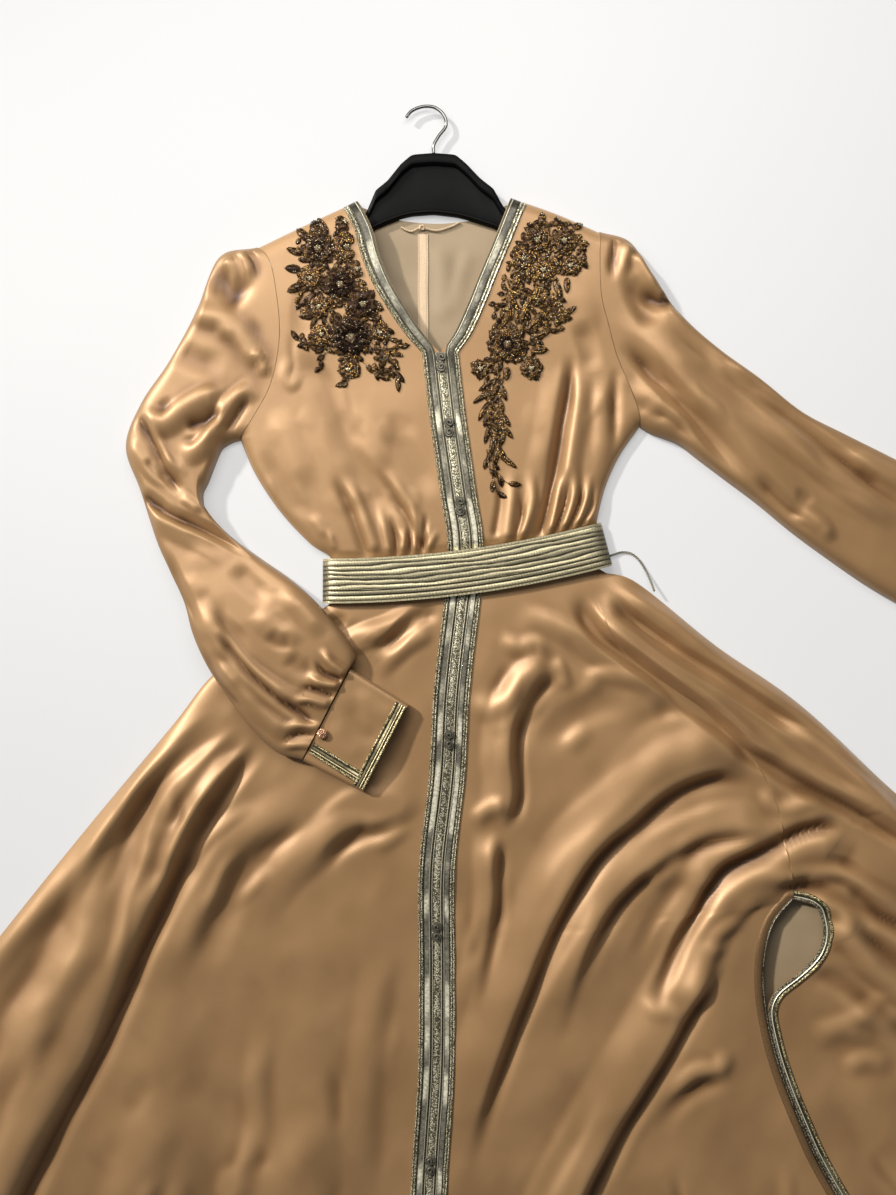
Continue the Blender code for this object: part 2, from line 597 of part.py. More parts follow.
outer_left = bodice_outer(ARMHOLE_LEFT, SIDE_LEFT)
inner_left = bodice_inner(NECK_LEFT, len(outer_left))
outer_left[-1, 1] += SEAM / 2
inner_left[-1, 1] += SEAM / 2
SHOULDER_LEFT = smooth([tuple(outer_left[0]), (-19, 40.9), tuple(inner_left[0])])
edge_a = inset(outer_left, inner_left, SEAM / 2)
edge_b = inset(inner_left, outer_left, SEAM / 2)
u = columns(width_of(edge_a, edge_b), [0, .5, ROLL], 5, [BAND_HALF + BRAID_WIDTH, BAND_HALF, 0])
xy = patch(edge_a, edge_b, u, SHOULDER_LEFT, waist_line(WAIST_LEFT_END, 0.2, SEAM / 2), 6)
bodice_left = on_panel(xy, bodice_top(xy, BODICE_FOLDS_LEFT, SHOULDER_LEFT, SIDE_LEFT))

outer_right = bodice_outer(ARMHOLE_RIGHT, SIDE_RIGHT)
inner_right = bodice_inner(NECK_RIGHT, len(outer_right))
outer_right[-1, 1] += SEAM / 2
inner_right[-1, 1] += SEAM / 2
SHOULDER_RIGHT = smooth([tuple(inner_right[0]), (11, 42.2), tuple(outer_right[0])])
edge_a = inset(inner_right, outer_right, SEAM / 2)
edge_b = inset(outer_right, inner_right, SEAM / 2)
u = columns(width_of(edge_a, edge_b), [0, BAND_HALF, BAND_HALF + BRAID_WIDTH], 5, [ROLL, .5, 0])
xy = patch(edge_a, edge_b, u, SHOULDER_RIGHT, waist_line(0.2, WAIST_RIGHT_END, SEAM / 2), 6)
bodice_right = on_panel(xy, bodice_top(xy, BODICE_FOLDS_RIGHT, SHOULDER_RIGHT, SIDE_RIGHT))

ARMHOLE_ROWS = 2 * len(ARM_NEAR) + ARM_INNER
for name, grid, seams in (
        ("bodice_front_left", bodice_left,
         [np.s_[:ARMHOLE_ROWS, 0], LAST_COLUMN, LAST_ROW]),
        ("bodice_front_right", bodice_right,
         [np.s_[:ARMHOLE_ROWS, -1], FIRST_COLUMN, LAST_ROW])):
    panel(name, grid, satin, REST + back_lift(grid[..., :2]), seams)

BACK_ARM_SHARES = np.linspace(0, 1, 5)
BACK_SIDE_SHARES = [0.4, 0.7, 0.84, 1.0]


def back_outer(armhole, side, sideways):
    arm = along(armhole, BACK_ARM_SHARES)
    low = along(side, BACK_SIDE_SHARES)
    return np.vstack([arm + np.array([sideways * SEAM / 2, 0]),
                      low + np.array([sideways * BACK_INSET, 0])])


BACK_NECK = smooth([(-24.8, 38.1), (-19, 40.3), (-13.2, 43.0), (-9, 41.7), (-3.5, 41.1),
                    (2, 41.7), (5.8, 43.4), (11, 41.5), (16, 40)])
back_a = back_outer(ARMHOLE_LEFT, SIDE_LEFT, 1)
back_b = back_outer(ARMHOLE_RIGHT, SIDE_RIGHT, -1)
back_a[-1, 1] = waist_y(back_a[-1, 0]) + SEAM / 2
back_b[-1, 1] = waist_y(back_b[-1, 0]) + SEAM / 2
u = np.repeat(np.linspace(0, 1, 11)[None], len(back_a), 0)
xy = patch(back_a, back_b, u, BACK_NECK,
           waist_line(back_a[-1, 0], back_b[-1, 0], SEAM / 2), 6)
lift = back_lift(xy)
lift = np.where(lift < 0.02, 0, lift)
wall("bodice_back", on_panel(xy, lift + WALL), on_panel(xy, lift), lining)

# ---- the sleeves -------------------------------------------------------------------------------
SLEEVE_LEFT = [
    Section((-24.8, 38.1), (-26.8, 15.1), 0, 2.0),
    Section((-29.3, 36.9), (-27.6, 14.9), 0, 2.1),
    Section((-32.0, 30.4), (-28.4, 14.5), 0, 2.1),
    Section((-35.2, 24.5), (-29.1, 13.9), 0, 2.1),
    Section((-38.5, 19.6), (-29.8, 12.3), 0, 2.2),
    Section((-40.4, 14.4), (-30.6, 10.2), 0, 2.2),
    Section((-38.7, 9.2), (-31.3, 8.4), 0, 2.1),
    Section((-36.8, 3.4), (-30.6, 5.8), 0, 2.1),
    Section((-35.0, -0.5), (-27.6, 3.3), 0, 2.0),
    Section((-33.2, -4.2), (-24.4, 1.0), 0.55, 1.9),
    Section((-32.1, -8.0), (-21.0, -1.3), 1.15, 1.8),
    Section((-30.3, -11.9), (-18.2, -3.6), 1.5, 1.8),
    Section((-27.7, -15.8), (-15.8, -6.2), 1.55, 1.8),
    Section((-25.2, -19.2), (-13.9, -8.6), 1.55, 1.8),
    Section((-22.2, -21.9), (-12.9, -10.6), 1.55, 1.6),
    Section((-19.2, -22.8), (-13.6, -12.0), 1.55, 1.25),
]
SLEEVE_RIGHT = [
    Section((16.0, 40.0), (20.9, 16.7), 0, 2.0),
    Section((19.6, 38.8), (22.2, 15.9), 0, 2.2),
    Section((22.2, 34.9), (23.8, 15.3), 0, 2.2),
    Section((25.8, 30.0), (25.7, 14.5), 0, 2.1),
    Section((30.4, 25.9), (28.2, 12.6), 0, 2.1),
    Section((35.2, 22.4), (31.4, 10.2), 0, 2.0),
    Section((40.0, 18.6), (35.0, 7.5), 0, 2.0),
    Section((45.0, 16.0), (39.0, 4.2), 0, 2.0),
    Section((50.2, 13.4), (43.2, 1.1), 0, 2.0),
    Section((55.2, 10.8), (48.0, -2.2), 0, 2.0),
    Section((59.4, 8.0), (52.6, -4.8), 0, 1.9),
    Section((61.8, 5.6), (56.0, -5.9), 0, 1.6),
    Section((62.4, 3.8), (57.1, -6.0), 0, 1.25),
]
SLEEVE_FOLDS_LEFT = [
    Fold([(-38, 18), (-33, 19), (-28.5, 20)], 2.4, 2.2, 0.4, (.2, .3)),
    Fold([(-31.5, 14), (-28.5, 18), (-24.5, 22)], 2.2, 2.0, 0.35, (.2, .3)),
    Fold([(-37, 12), (-34.5, 10), (-33, 8.5)], 2.0, 1.8, -0.35, (.2, .2)),
    Fold([(-30, -5), (-27, -9.5), (-23, -14), (-18.5, -16.5)], 2.0, 2.0, 0.35, (.2, .3)),
    Fold([(-28, -9), (-24, -14), (-17.5, -18.5)], 1.8, 1.8, -0.3, (.2, .2)),
    Fold([(-30, 33), (-27, 31), (-25, 27)], 2.4, 2.4, -0.35, (.3, .3)),
]
SLEEVE_FOLDS_RIGHT = [
    Fold([(18, 30), (22, 26.5), (32, 16), (41, 6)], 2.4, 2.4, 0.4, (.2, .4)),
    Fold([(20.5, 36), (22, 31), (25, 27)], 2.2, 2.0, 0.3, (.3, .3)),
    Fold([(43, 12), (47, 8), (53, 4)], 2.4, 2.2, 0.4, (.3, .3)),
    Fold([(23, 24), (28, 17), (33, 10)], 1.8, 1.8, -0.3, (.3, .3)),
    Fold([(38, 17), (45, 12), (53, 7)], 1.8, 1.8, -0.3, (.3, .3)),
]
UNDER_SHARES = BACK_ARM_SHARES
SLEEVE_GATHER = 0.2
SLEEVE_GAP = 0.045
CUFF_HEIGHT = 1.0


def sleeve_grid(sections, rows, armhole, folds, sleeve_side):
    """Outer loops of a sleeve: its rounded top and, after it, its flat underside."""
    shares = np.linspace(0, 1, rows)
    outer = along(smooth([s.outer for s in sections]), shares)
    inner = along(smooth([s.inner for s in sections]), shares)
    knots = np.linspace(0, 1, len(sections))
    lift = np.interp(shares, knots, [s.lift for s in sections])
    height = np.interp(shares, knots, [s.height for s in sections])
    hole = armhole + np.array([sleeve_side * SLEEVE_GAP, 0])
    outer[0] += [sleeve_side * SLEEVE_GAP, 0]
    inner[0] += [sleeve_side * SLEEVE_GAP, 0]
    width = width_of(outer, inner)
    u = columns(width, ARM_NEAR, ARM_INNER, ARM_NEAR[::-1])
    u[0] = armhole_shares(armhole)
    xy = patch(outer, inner, u, hole, None, 9)
    edge = np.minimum(u, 1 - u) * width[:, None]
    base = height[:, None] * np.ones_like(u)
    joined = ease(1 - shares * 5)[:, None]
    base = base * (1 - joined) + shoulder_height(xy) * joined
    gather = SLEEVE_GATHER * (np.arange(u.shape[1]) % 2)[None] * ease((shares - .8) * 6)[:, None]
    base = base + fold_height(xy, folds) * np.minimum(1, (1 - shares) * 8)[:, None] + gather
    low_side = SIDE_HEIGHT * (1 - joined) + REST * 1.5 * joined
    z = lift[:, None] + low_side + (base - low_side) * rolled(edge)
    top = on_panel(xy, z)
    v = np.repeat(UNDER_SHARES[None], rows, 0)
    flat = patch(outer, inner, v, hole, None, 9)
    under = on_panel(flat, lift[:, None] * np.ones_like(v))
    return np.hstack([top, under[:, ::-1]])


def outward(grid):
    """Loops turned so that their normals point out."""
    middle = grid.mean(1, keepdims=True)
    if ((grid - middle) * normals(grid, True)).sum() < 0:
        grid = grid[:, ::-1]
    return grid


left_grid = sleeve_grid(SLEEVE_LEFT, 21, ARMHOLE_LEFT, SLEEVE_FOLDS_LEFT, -1)
right_grid = sleeve_grid(SLEEVE_RIGHT, 17, ARMHOLE_RIGHT, SLEEVE_FOLDS_RIGHT, 1)
for name, grid in (("sleeve_left", left_grid), ("sleeve_right", right_grid)):
    sleeve(name, outward(grid), satin)


# ---- the cuffs ----------------------------------------------------------------------------------
CUFF_LEFT = [Section((-19.1, -22.9), (-13.5, -12.1), 1.55, CUFF_HEIGHT),
             Section((-12.0, -26.6), (-6.7, -16.3), 1.55, CUFF_HEIGHT)]
CUFF_RIGHT = [Section((62.5, 3.75), (57.2, -6.05), 0, CUFF_HEIGHT),
              Section((69.4, 0.0), (64.1, -9.8), 0, CUFF_HEIGHT)]
CUFF_ROUND = [0, 0.15, 0.6]  # columns at a cuff's folded edges
CUFF_SIDE = 0.5
CUFF_BAND = 1.5              # braid round the cuff's end
CUFF_ROWS = 5


def cuff_grid(ends):
    start, end = ends
    t = np.linspace(0, 1, CUFF_ROWS)[:, None]
    length = np.linalg.norm(np.subtract(end.outer, start.outer))
    t[0] = SEAM / length
    t[-2] = 1 - CUFF_BAND / length
    outer = np.array(start.outer) * (1 - t) + np.array(end.outer) * t
    inner = np.array(start.inner) * (1 - t) + np.array(end.inner) * t
    width = width_of(outer, inner)
    u = columns(width, CUFF_ROUND, 3, CUFF_ROUND[::-1])
    xy = patch(outer, inner, u)
    edge = np.minimum(u, 1 - u) * width[:, None]
    curve = np.sqrt(1 - (1 - np.clip(edge / CUFF_ROUND[-1], 0, 1)) ** 2)
    z = start.lift + CUFF_SIDE + (start.height - CUFF_SIDE) * curve
    top = on_panel(xy, z)
    v = np.repeat(np.linspace(0, 1, 3)[None], CUFF_ROWS, 0)
    under = on_panel(patch(outer, inner, v), start.lift * np.ones_like(v))
    return top, np.hstack([top, under[:, ::-1]])


CUFF_BRAID_PROFILE = [(0, 0.10), (0.3, 0.16), (0.7, 0.16), (1, 0.10)]
for side, ends in (("left", CUFF_LEFT), ("right", CUFF_RIGHT)):
    top, loop = cuff_grid(ends)
    sleeve("cuff_" + side, outward(loop), satin)
    up = straight_up(top)
    strip("cuff_braid_" + side, top[-2, 2:-2], top[-1, 2:-2], (up[-2, 2:-2], up[-1, 2:-2]),
          CUFF_BRAID_PROFILE, braid)
    corner = top[2, 2] * 0.35 + top[1, 3] * 0.65
    bead("cuff_knot_" + side, corner + np.array([0, 0, 0.48 + SEAM]), (0.65, 0.65, 0.45),
         rose_beads)

# ---- braids and buttons of the centre front -------------------------------------------------------
BRAID_PROFILE = [(0, 0.12), (0.12, 0.20), (0.42, 0.20), (0.5, 0.12), (0.95, 0.12), (1, 0.10)]
BAND_CROWN = 0.18            # height of the band's middle
BAND_PROFILE = [(0, 0.10), (0.15, BAND_CROWN), (0.85, BAND_CROWN), (1, 0.10)]


def braid_edges(bodice, skirt, cols):
    """Edge points and normals of a band from the shoulder to the hem."""
    ub, us = straight_up(bodice), straight_up(skirt)
    pick = lambda grid, col: grid[:, col] if isinstance(col, int) else np.array(
        [row[c] for row, c in zip(grid, col)])
    out = []
    for col_b, col_s in cols:
        edge = np.vstack([pick(bodice, col_b)[:-1], pick(skirt, col_s)])
        normal = np.vstack([pick(ub, col_b)[:-1], pick(us, col_s)])
        out.append((edge, normal))
    return out


inner_columns = [0 if row < NECK_ROWS else 1 for row in range(len(bodice_left))]
from_right = [-1 - column for column in inner_columns]
(a, na), (b, nb) = braid_edges(bodice_left, skirt_left, [(-3, -3), (from_right, -2)])
strip("braid_left", a, b, (na, nb), BRAID_PROFILE, braid, BRAID_GAP)
(a, na), (b, nb) = braid_edges(bodice_right, skirt_right, [(inner_columns, 1), (2, 2)])
mirrored = [(1 - share, height) for share, height in BRAID_PROFILE[::-1]]
strip("braid_right", a, b, (na, nb), mirrored, braid, BRAID_GAP)

BAND_CLEAR = 0.025
(a, na), (b, nb) = (braid_edges(bodice_left, skirt_left, [(-2, -2)])[0],
                    braid_edges(bodice_right, skirt_right, [(1, 1)])[0])
(c, nc), = braid_edges(bodice_left, skirt_left, [(-1, -1)])
a, b, c = (edge[NECK_ROWS:] for edge in (a, b, c))
na, nb, nc = (normal[NECK_ROWS:] for normal in (na, nb, nc))
across = (b - a) / np.linalg.norm(b - a, axis=1, keepdims=True)
a, b = a + across * BAND_CLEAR, b - across * BAND_CLEAR
crown = np.maximum(c[:, 2], 0)[:, None]
middle = np.hstack([(a + b)[:, :2] / 2, crown])
over = np.maximum(crown[:, 0] - (a[:, 2] + b[:, 2]) / 2, 0)
top_a, top_b = a.copy(), b.copy()
top_a[:, 2] += over
top_b[:, 2] += over
strip("button_band", top_a, top_b, (na, nb), BAND_PROFILE, braid)

band_middle = (top_a + top_b) / 2
KNOT_LEVELS = [24.2, 16.5, 7.2, -20.5, -43.3, -71.0, -96.0]   # y of each knot, downwards
KNOT_SIZE = (0.55, 0.65, 0.38)
KNOT_CLEAR = 0.08
order = np.argsort(band_middle[:, 1])
for number, y in enumerate(KNOT_LEVELS, 1):
    x = np.interp(y, band_middle[order, 1], band_middle[order, 0])
    z = np.interp(y, band_middle[order, 1], band_middle[order, 2])
    level = z + SEAM + BAND_CROWN + KNOT_CLEAR + KNOT_SIZE[2]
    bead("knot_%d" % number, np.array([x, y, level]), KNOT_SIZE, braid)

# ---- braid on the slit's two edges -------------------------------------------------------------
SLIT_PROFILE = [(0, 0.10), (0.3, 0.16), (0.7, 0.16), (1, 0.10)]
first = SEAM_ROWS
up = straight_up(skirt_right)
strip("slit_braid_front", skirt_right[first:, -2], skirt_right[first:, -1],
      (up[first:, -2], up[first:, -1]), SLIT_PROFILE, braid)
up = straight_up(skirt_turn)
strip("slit_braid_side", skirt_turn[first:, 0], skirt_turn[first:, 1],
      (up[first:, 0], up[first:, 1]), SLIT_PROFILE, braid)

# ---- the belt, a flat ring round the waist -----------------------------------------------------
BELT_TOP = 1.50              # height of its inside over the gathered front
BELT_FALL = 2.6              # distance over which it comes down at its two ends
front_s = np.array([1, .993, .97, .92, .82, .6, .3, 0, -.3, -.6, -.82, -.92, -.97, -.993, -1])
back_s = np.array([-.97, -.5, 0, .5, .97])


def belt_loop(t, out):
    """One loop of the belt at t across its width, moved out from its inside."""
    points = []
    for s in front_s:
        x = s * (BELT_HALF_LENGTH - BELT_WALL + out)
        fall = np.clip((1 - abs(s)) * BELT_HALF_LENGTH / BELT_FALL, 0, 1)
        low = BELT_UNDER + 0.35
        z = low + (BELT_TOP - low) * math.sqrt(1 - (1 - fall) ** 2) + out * min(1, fall * 3)
        points.append((x, z))
    for s in back_s:
        points.append((s * BELT_HALF_LENGTH, BELT_WALL - out))
    slope = lambda x: math.atan(WAIST_SLOPE + 2 * WAIST_CURVE * x)
    return [(x - t * math.sin(slope(x)), waist_y(x) + t * math.cos(slope(x)), z)
            for x, z in points]


def belt():
    rib = []
    for k in range(BELT_RIBS):
        centre_t = (k + 0.5) / BELT_RIBS
        rib += [((k + 0.08) / BELT_RIBS, 0.0), (centre_t, 1.0)]
    rib.append((1 - 0.08 / BELT_RIBS, 0.0))
    outer = []
    for share, raised in rib:
        loop = np.array(belt_loop((share - 0.5) * BELT_WIDTH, BELT_WALL))
        fall = np.clip((1 - np.abs(front_s)) * 12, 0, 1)
        loop[:len(front_s), 2] += raised * RIB_HEIGHT * fall
        outer.append(loop)
    inner = [np.array(belt_loop(t, 0.0)) for t in (-BELT_WIDTH / 2 * 0.98, BELT_WIDTH / 2 * 0.98)]
    count = len(outer[0])
    points = np.vstack(outer + inner)
    faces = []
    for row in list(range(len(outer) - 1)) + [len(outer)]:
        for j in range(count):
            a, b = row * count + j, row * count + (j + 1) % count
            faces += [(a, b, b + count), (a, b + count, a + count)]
    last = len(outer)
    for j in range(count):
        k = (j + 1) % count
        faces.append((j, k, last * count + k, last * count + j))
        faces.append(((last - 1) * count + j, (last - 1) * count + k,
                      (last + 1) * count + k, (last + 1) * count + j))
    return solid("belt", points, faces, belt_finish)


belt()
CORD_ROUTE = [(17.35, 1.3, 0.42), (17.9, 1.5, 0.3), (18.8, 1.75, 0.16), (19.9, 1.6, 0.16),
              (20.9, 0.8, 0.16), (21.7, -0.5, 0.25), (22.2, -1.8, 0.7), (22.5, -2.9, 1.25)]
tube("belt_cord", CORD_ROUTE, CORD, braid, 20)

# ---- the hanger ---------------------------------------------------------------------------------
HANGER_MIDDLE = -3.7
HANGER_LOW = REST + 0.02
Station = namedtuple("Station", "x upper lower rim recess")
# one cut through the hanger: its x, upper and lower edges, and the heights of the rim
# along its upper edge and of the hollowed face below it
HANGER = [
    Station(-22.0, 37.4, 35.7, 0.6, 0.5), Station(-21.2, 38.0, 35.2, 0.95, 0.8),
    Station(-18.0, 39.6, 36.3, 1.15, 0.9), Station(-14.5, 41.2, 37.7, 1.2, 0.9),
    Station(-12.9, 41.4, 38.7, 1.1, 0.85), Station(-11.7, 42.3, 39.6, 1.1, 0.85),
    Station(-10.6, 44.8, 40.4, 1.4, 0.9), Station(-9.2, 45.9, 41.0, 1.5, 0.9),
    Station(-7.6, 47.9, 41.6, 1.5, 0.9), Station(-6.3, 49.0, 41.9, 1.5, 0.9),
    Station(HANGER_MIDDLE, 49.2, 42.1, 1.5, 0.9),
    Station(-1.1, 49.0, 41.8, 1.5, 0.9), Station(0.2, 47.9, 41.5, 1.5, 0.9),
    Station(1.8, 46.2, 41.0, 1.5, 0.9), Station(3.4, 45.0, 40.5, 1.4, 0.9),
    Station(4.6, 42.9, 39.9, 1.2, 0.9), Station(5.8, 41.7, 39.2, 1.1, 0.9),
    Station(8.0, 41.6, 38.4, 1.2, 0.9), Station(11.5, 40.2, 37.2, 1.15, 0.9),
    Station(13.8, 38.9, 36.1, 0.95, 0.8), Station(14.6, 38.3, 36.6, 0.6, 0.5),
]


def hanger_body():
    loops = []
    for x, upper, lower, rim, recess in HANGER:
        deep = upper - lower
        loops.append([(x, upper, HANGER_LOW), (x, upper, rim * 0.55),
                      (x, upper - 0.35, rim), (x, upper - min(1.1, deep * .3), rim),
                      (x, upper - min(1.5, deep * .42), recess),
                      (x, lower + 0.5, recess), (x, lower + 0.3, recess + 0.12),
                      (x, lower, recess * 0.6), (x, lower, HANGER_LOW)])
    points = np.array(loops).reshape(-1, 3)
    around = len(loops[0])
    faces = []
    for i in range(len(loops) - 1):
        for j in range(around):
            a, b = i * around + j, i * around + (j + 1) % around
            faces += [(a, b, b + around), (a, b + around, a + around)]
    faces.append(list(range(around)))
    faces.append([(len(loops) - 1) * around + j for j in range(around)])
    return solid("hanger_body", points, faces, plastic)


hanger_body()
HOOK_LEVEL = 0.85
HOOK_ROUTE = [(HANGER_MIDDLE, 49.25, HOOK_LEVEL), (-3.7, 50.2, HOOK_LEVEL),
              (-3.1, 51.3, HOOK_LEVEL),
              (-2.25, 52.5, HOOK_LEVEL), (-2.5, 53.8, HOOK_LEVEL), (-3.6, 54.7, HOOK_LEVEL),
              (-5.0, 54.8, HOOK_LEVEL), (-6.3, 54.3, HOOK_LEVEL), (-7.0, 53.5, HOOK_LEVEL)]
tube("hanger_hook", HOOK_ROUTE, HOOK_WIRE, steel, 22)

# ---- tape on the back seam, and the hanging loop ------------------------------------------------
TAPE = 0.1
tape_rows = np.array([39.8, 27.5, 12.0])
tape_left = np.array([(-5.6, y, WALL) for y in tape_rows])
tape_right = np.array([(-4.4, y, WALL) for y in tape_rows])
level = np.zeros_like(tape_left)
level[:, 2] = 1
strip("back_seam_tape", tape_left, tape_right, (level, level), [(0, TAPE), (1, TAPE)],
      tape_finish, gap=SEAM)
LOOP_ROUTE = [(-7.6, 40.6, 0.42), (-6.4, 40.1, 0.44), (-5.2, 40.55, 0.5), (-3.4, 40.2, 0.44),
              (-1.6, 40.7, 0.42), (-0.6, 41.2, 0.42)]
tube("hanging_loop", LOOP_ROUTE, 0.25, tape_finish, 12)

# ---- beaded appliques ------------------------------------------------------------------------------
Spray = namedtuple("Spray", "x y reach height")
# one flower, leaf spray or stem: its middle, how far it reaches and how thick it is
SPRAYS_LEFT = [
    Spray(-13.5, 27.0, 3.2, 0.55), Spray(-14.8, 33.2, 2.6, 0.5), Spray(-11.2, 31.0, 2.6, 0.5),
    Spray(-17.3, 37.5, 2.7, 0.45), Spray(-17.8, 33.8, 2.0, 0.35), Spray(-14.2, 37.8, 2.4, 0.4),
    Spray(-13.9, 40.6, 1.7, 0.35), Spray(-18.6, 30.8, 1.6, 0.3), Spray(-17.6, 26.8, 1.9, 0.35),
    Spray(-9.9, 26.6, 2.0, 0.35), Spray(-13.6, 23.6, 1.5, 0.3), Spray(-9.4, 24.0, 1.6, 0.3),
    Spray(-16.4, 30.2, 1.8, 0.35),
]
SPRAYS_RIGHT = [
    Spray(5.6, 37.0, 2.2, 0.45), Spray(8.6, 38.6, 2.5, 0.45), Spray(11.8, 38.6, 2.2, 0.4),
    Spray(12.8, 36.2, 1.8, 0.35), Spray(9.4, 35.2, 2.4, 0.4), Spray(6.4, 33.8, 2.2, 0.4),
    Spray(5.0, 30.6, 2.4, 0.35), Spray(5.2, 27.0, 2.8, 0.5), Spray(8.6, 31.4, 2.0, 0.35),
    Spray(10.9, 29.4, 1.8, 0.35), Spray(7.9, 23.6, 1.7, 0.4), Spray(3.0, 23.4, 1.6, 0.35),
    Spray(8.0, 27.4, 1.8, 0.3), Spray(3.4, 20.6, 1.5, 0.3), Spray(3.4, 17.6, 1.5, 0.3),
    Spray(3.4, 14.6, 1.5, 0.3), Spray(4.0, 11.6, 1.5, 0.3), Spray(4.4, 9.0, 1.3, 0.25),
]
SPRAY_CELL = 1.25
SPRAY_GAP = 0.06
SPRAY_PROBES = (-0.7, 0, 0.7)   # it bridges the panel's facets, so it clears the highest
SPRAY_EDGE = 0.10
SPRAY_OFF_BRAID = 0.9


def spray_field(x, y, sprays, braid_edge):
    """Above 0 inside the applique, which stops short of the braid. Also its thickness."""
    field = [1 - math.hypot(x - s.x, y - s.y) / s.reach for s in sprays]
    off_braid = from_curve(np.array([x, y]), braid_edge)[0] - SPRAY_OFF_BRAID
    best = min(max(field), off_braid / 2)
    thick = max(s.height * max(f, 0) ** 0.5 for s, f in zip(sprays, field))
    return best, thick


def level_at(tree, x, y):
    """Height of the panel's face at x, y, or 0 beyond its edge."""
    hit = tree.ray_cast(Vector((x * CM, y * CM, 1.0)), Vector((0, 0, -1)))[0]
    return hit.z / CM if hit else 0.0


def applique(name, panel_name, sprays, braid_edge):
    """A relief of flowers and leaves that follows its panel's outer face."""
    panel = bpy.data.objects[panel_name]
    bm = bmesh.new()
    bm.from_mesh(panel.data)
    tree = BVHTree.FromBMesh(bm)
    x0 = min(s.x - s.reach for s in sprays) - SPRAY_CELL
    y0 = min(s.y - s.reach for s in sprays) - SPRAY_CELL
    nx = int((max(s.x + s.reach for s in sprays) - x0) / SPRAY_CELL) + 2
    ny = int((max(s.y + s.reach for s in sprays) - y0) / SPRAY_CELL) + 2
    inside = {(i, j) for i in range(nx) for j in range(ny)
              if spray_field(x0 + (i + .5) * SPRAY_CELL, y0 + (j + .5) * SPRAY_CELL,
                             sprays, braid_edge)[0] > 0.08}
    for i in range(nx):
        for j in range(ny):
            for a, b in (((i, j), (i + 1, j + 1)), ((i + 1, j), (i, j + 1))):
                c, d = (a[0], b[1]), (b[0], a[1])
                if a in inside and b in inside and c not in inside and d not in inside:
                    inside.add(c)
    corners = sorted({(i + di, j + dj) for i, j in inside for di in (0, 1) for dj in (0, 1)})
    index = {corner: k for k, corner in enumerate(corners)}
    top, under = [], []
    for i, j in corners:
        border = any((i - di, j - dj) not in inside for di in (0, 1) for dj in (0, 1))
        x, y = x0 + i * SPRAY_CELL, y0 + j * SPRAY_CELL
        if border:
            for _ in range(3):
                f = spray_field(x, y, sprays, braid_edge)[0]
                gx = (spray_field(x + .05, y, sprays, braid_edge)[0] - f) / .05
                gy = (spray_field(x, y + .05, sprays, braid_edge)[0] - f) / .05
                size = max(gx * gx + gy * gy, 1e-4)
                step = max(-0.35, min(0.35, -f / math.sqrt(size)))
                x += step * gx / math.sqrt(size) * 0.5
                y += step * gy / math.sqrt(size) * 0.5
        level = SPRAY_GAP + max(level_at(tree, x + dx, y + dy) for dx in SPRAY_PROBES
                                for dy in SPRAY_PROBES)
        thick = SPRAY_EDGE if border else SPRAY_EDGE + spray_field(x, y, sprays, braid_edge)[1]
        under.append((x, y, level))
        top.append((x, y, level + thick))
    count = len(corners)
    faces = []
    edges = {}
    for i, j in sorted(inside):
        quad = [index[(i, j)], index[(i + 1, j)], index[(i + 1, j + 1)], index[(i, j + 1)]]
        faces.append(quad)
        faces.append([k + count for k in quad[::-1]])
        for a, b in zip(quad, quad[1:] + quad[:1]):
            edges[(a, b)] = True
    for a, b in sorted(edges):
        if (b, a) not in edges:
            faces.append([a, b, b + count, a + count])
    bm.free()
    return solid(name, top + under, faces, beads)


applique("applique_left", "bodice_front_left", SPRAYS_LEFT, bodice_left[:, -3, :2])
applique("applique_right", "bodice_front_right", SPRAYS_RIGHT, bodice_right[:, 2, :2])
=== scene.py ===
"""A Moroccan kaftan of gold satin, laid flat on a pale floor with its hanger inside.

Sizes are in centimetres on the frame's own axes, and turn into metres where a mesh is
made: +X to the right, +Y up to the shoulders, +Z up from the floor.
"""
import math
from collections import namedtuple
from itertools import combinations

import bmesh
import bpy
import numpy as np
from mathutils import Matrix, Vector


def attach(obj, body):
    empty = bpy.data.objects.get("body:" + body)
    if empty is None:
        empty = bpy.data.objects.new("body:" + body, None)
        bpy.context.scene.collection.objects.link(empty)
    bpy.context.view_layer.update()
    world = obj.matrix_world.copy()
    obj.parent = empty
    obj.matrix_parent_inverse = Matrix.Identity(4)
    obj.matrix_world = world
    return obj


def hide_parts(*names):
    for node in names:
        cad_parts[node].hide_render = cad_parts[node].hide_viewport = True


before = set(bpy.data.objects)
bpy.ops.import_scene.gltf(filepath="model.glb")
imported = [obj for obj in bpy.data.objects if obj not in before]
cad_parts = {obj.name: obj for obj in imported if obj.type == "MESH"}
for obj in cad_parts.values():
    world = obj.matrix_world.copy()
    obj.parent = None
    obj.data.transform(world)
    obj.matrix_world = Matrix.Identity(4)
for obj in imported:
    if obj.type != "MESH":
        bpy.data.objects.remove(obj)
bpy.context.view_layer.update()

# ---- camera ----
# It looks straight down on the garment from about arm's length over a table.
CM = 0.01
CAMERA_AT = (-2.0, -3.66, 125.0)
LENS = 31.4  # millimetres, on a sensor 36 mm along its long side


def placed(name, data, at=(0, 0, 0)):
    """An object of the scene, at a place in centimetres."""
    obj = bpy.data.objects.new(name, data)
    obj.location = [c * CM for c in at]
    bpy.context.scene.collection.objects.link(obj)
    return obj


camera_data = bpy.data.cameras.new("camera")
camera_data.lens = LENS
bpy.context.scene.camera = placed("camera", camera_data, CAMERA_AT)

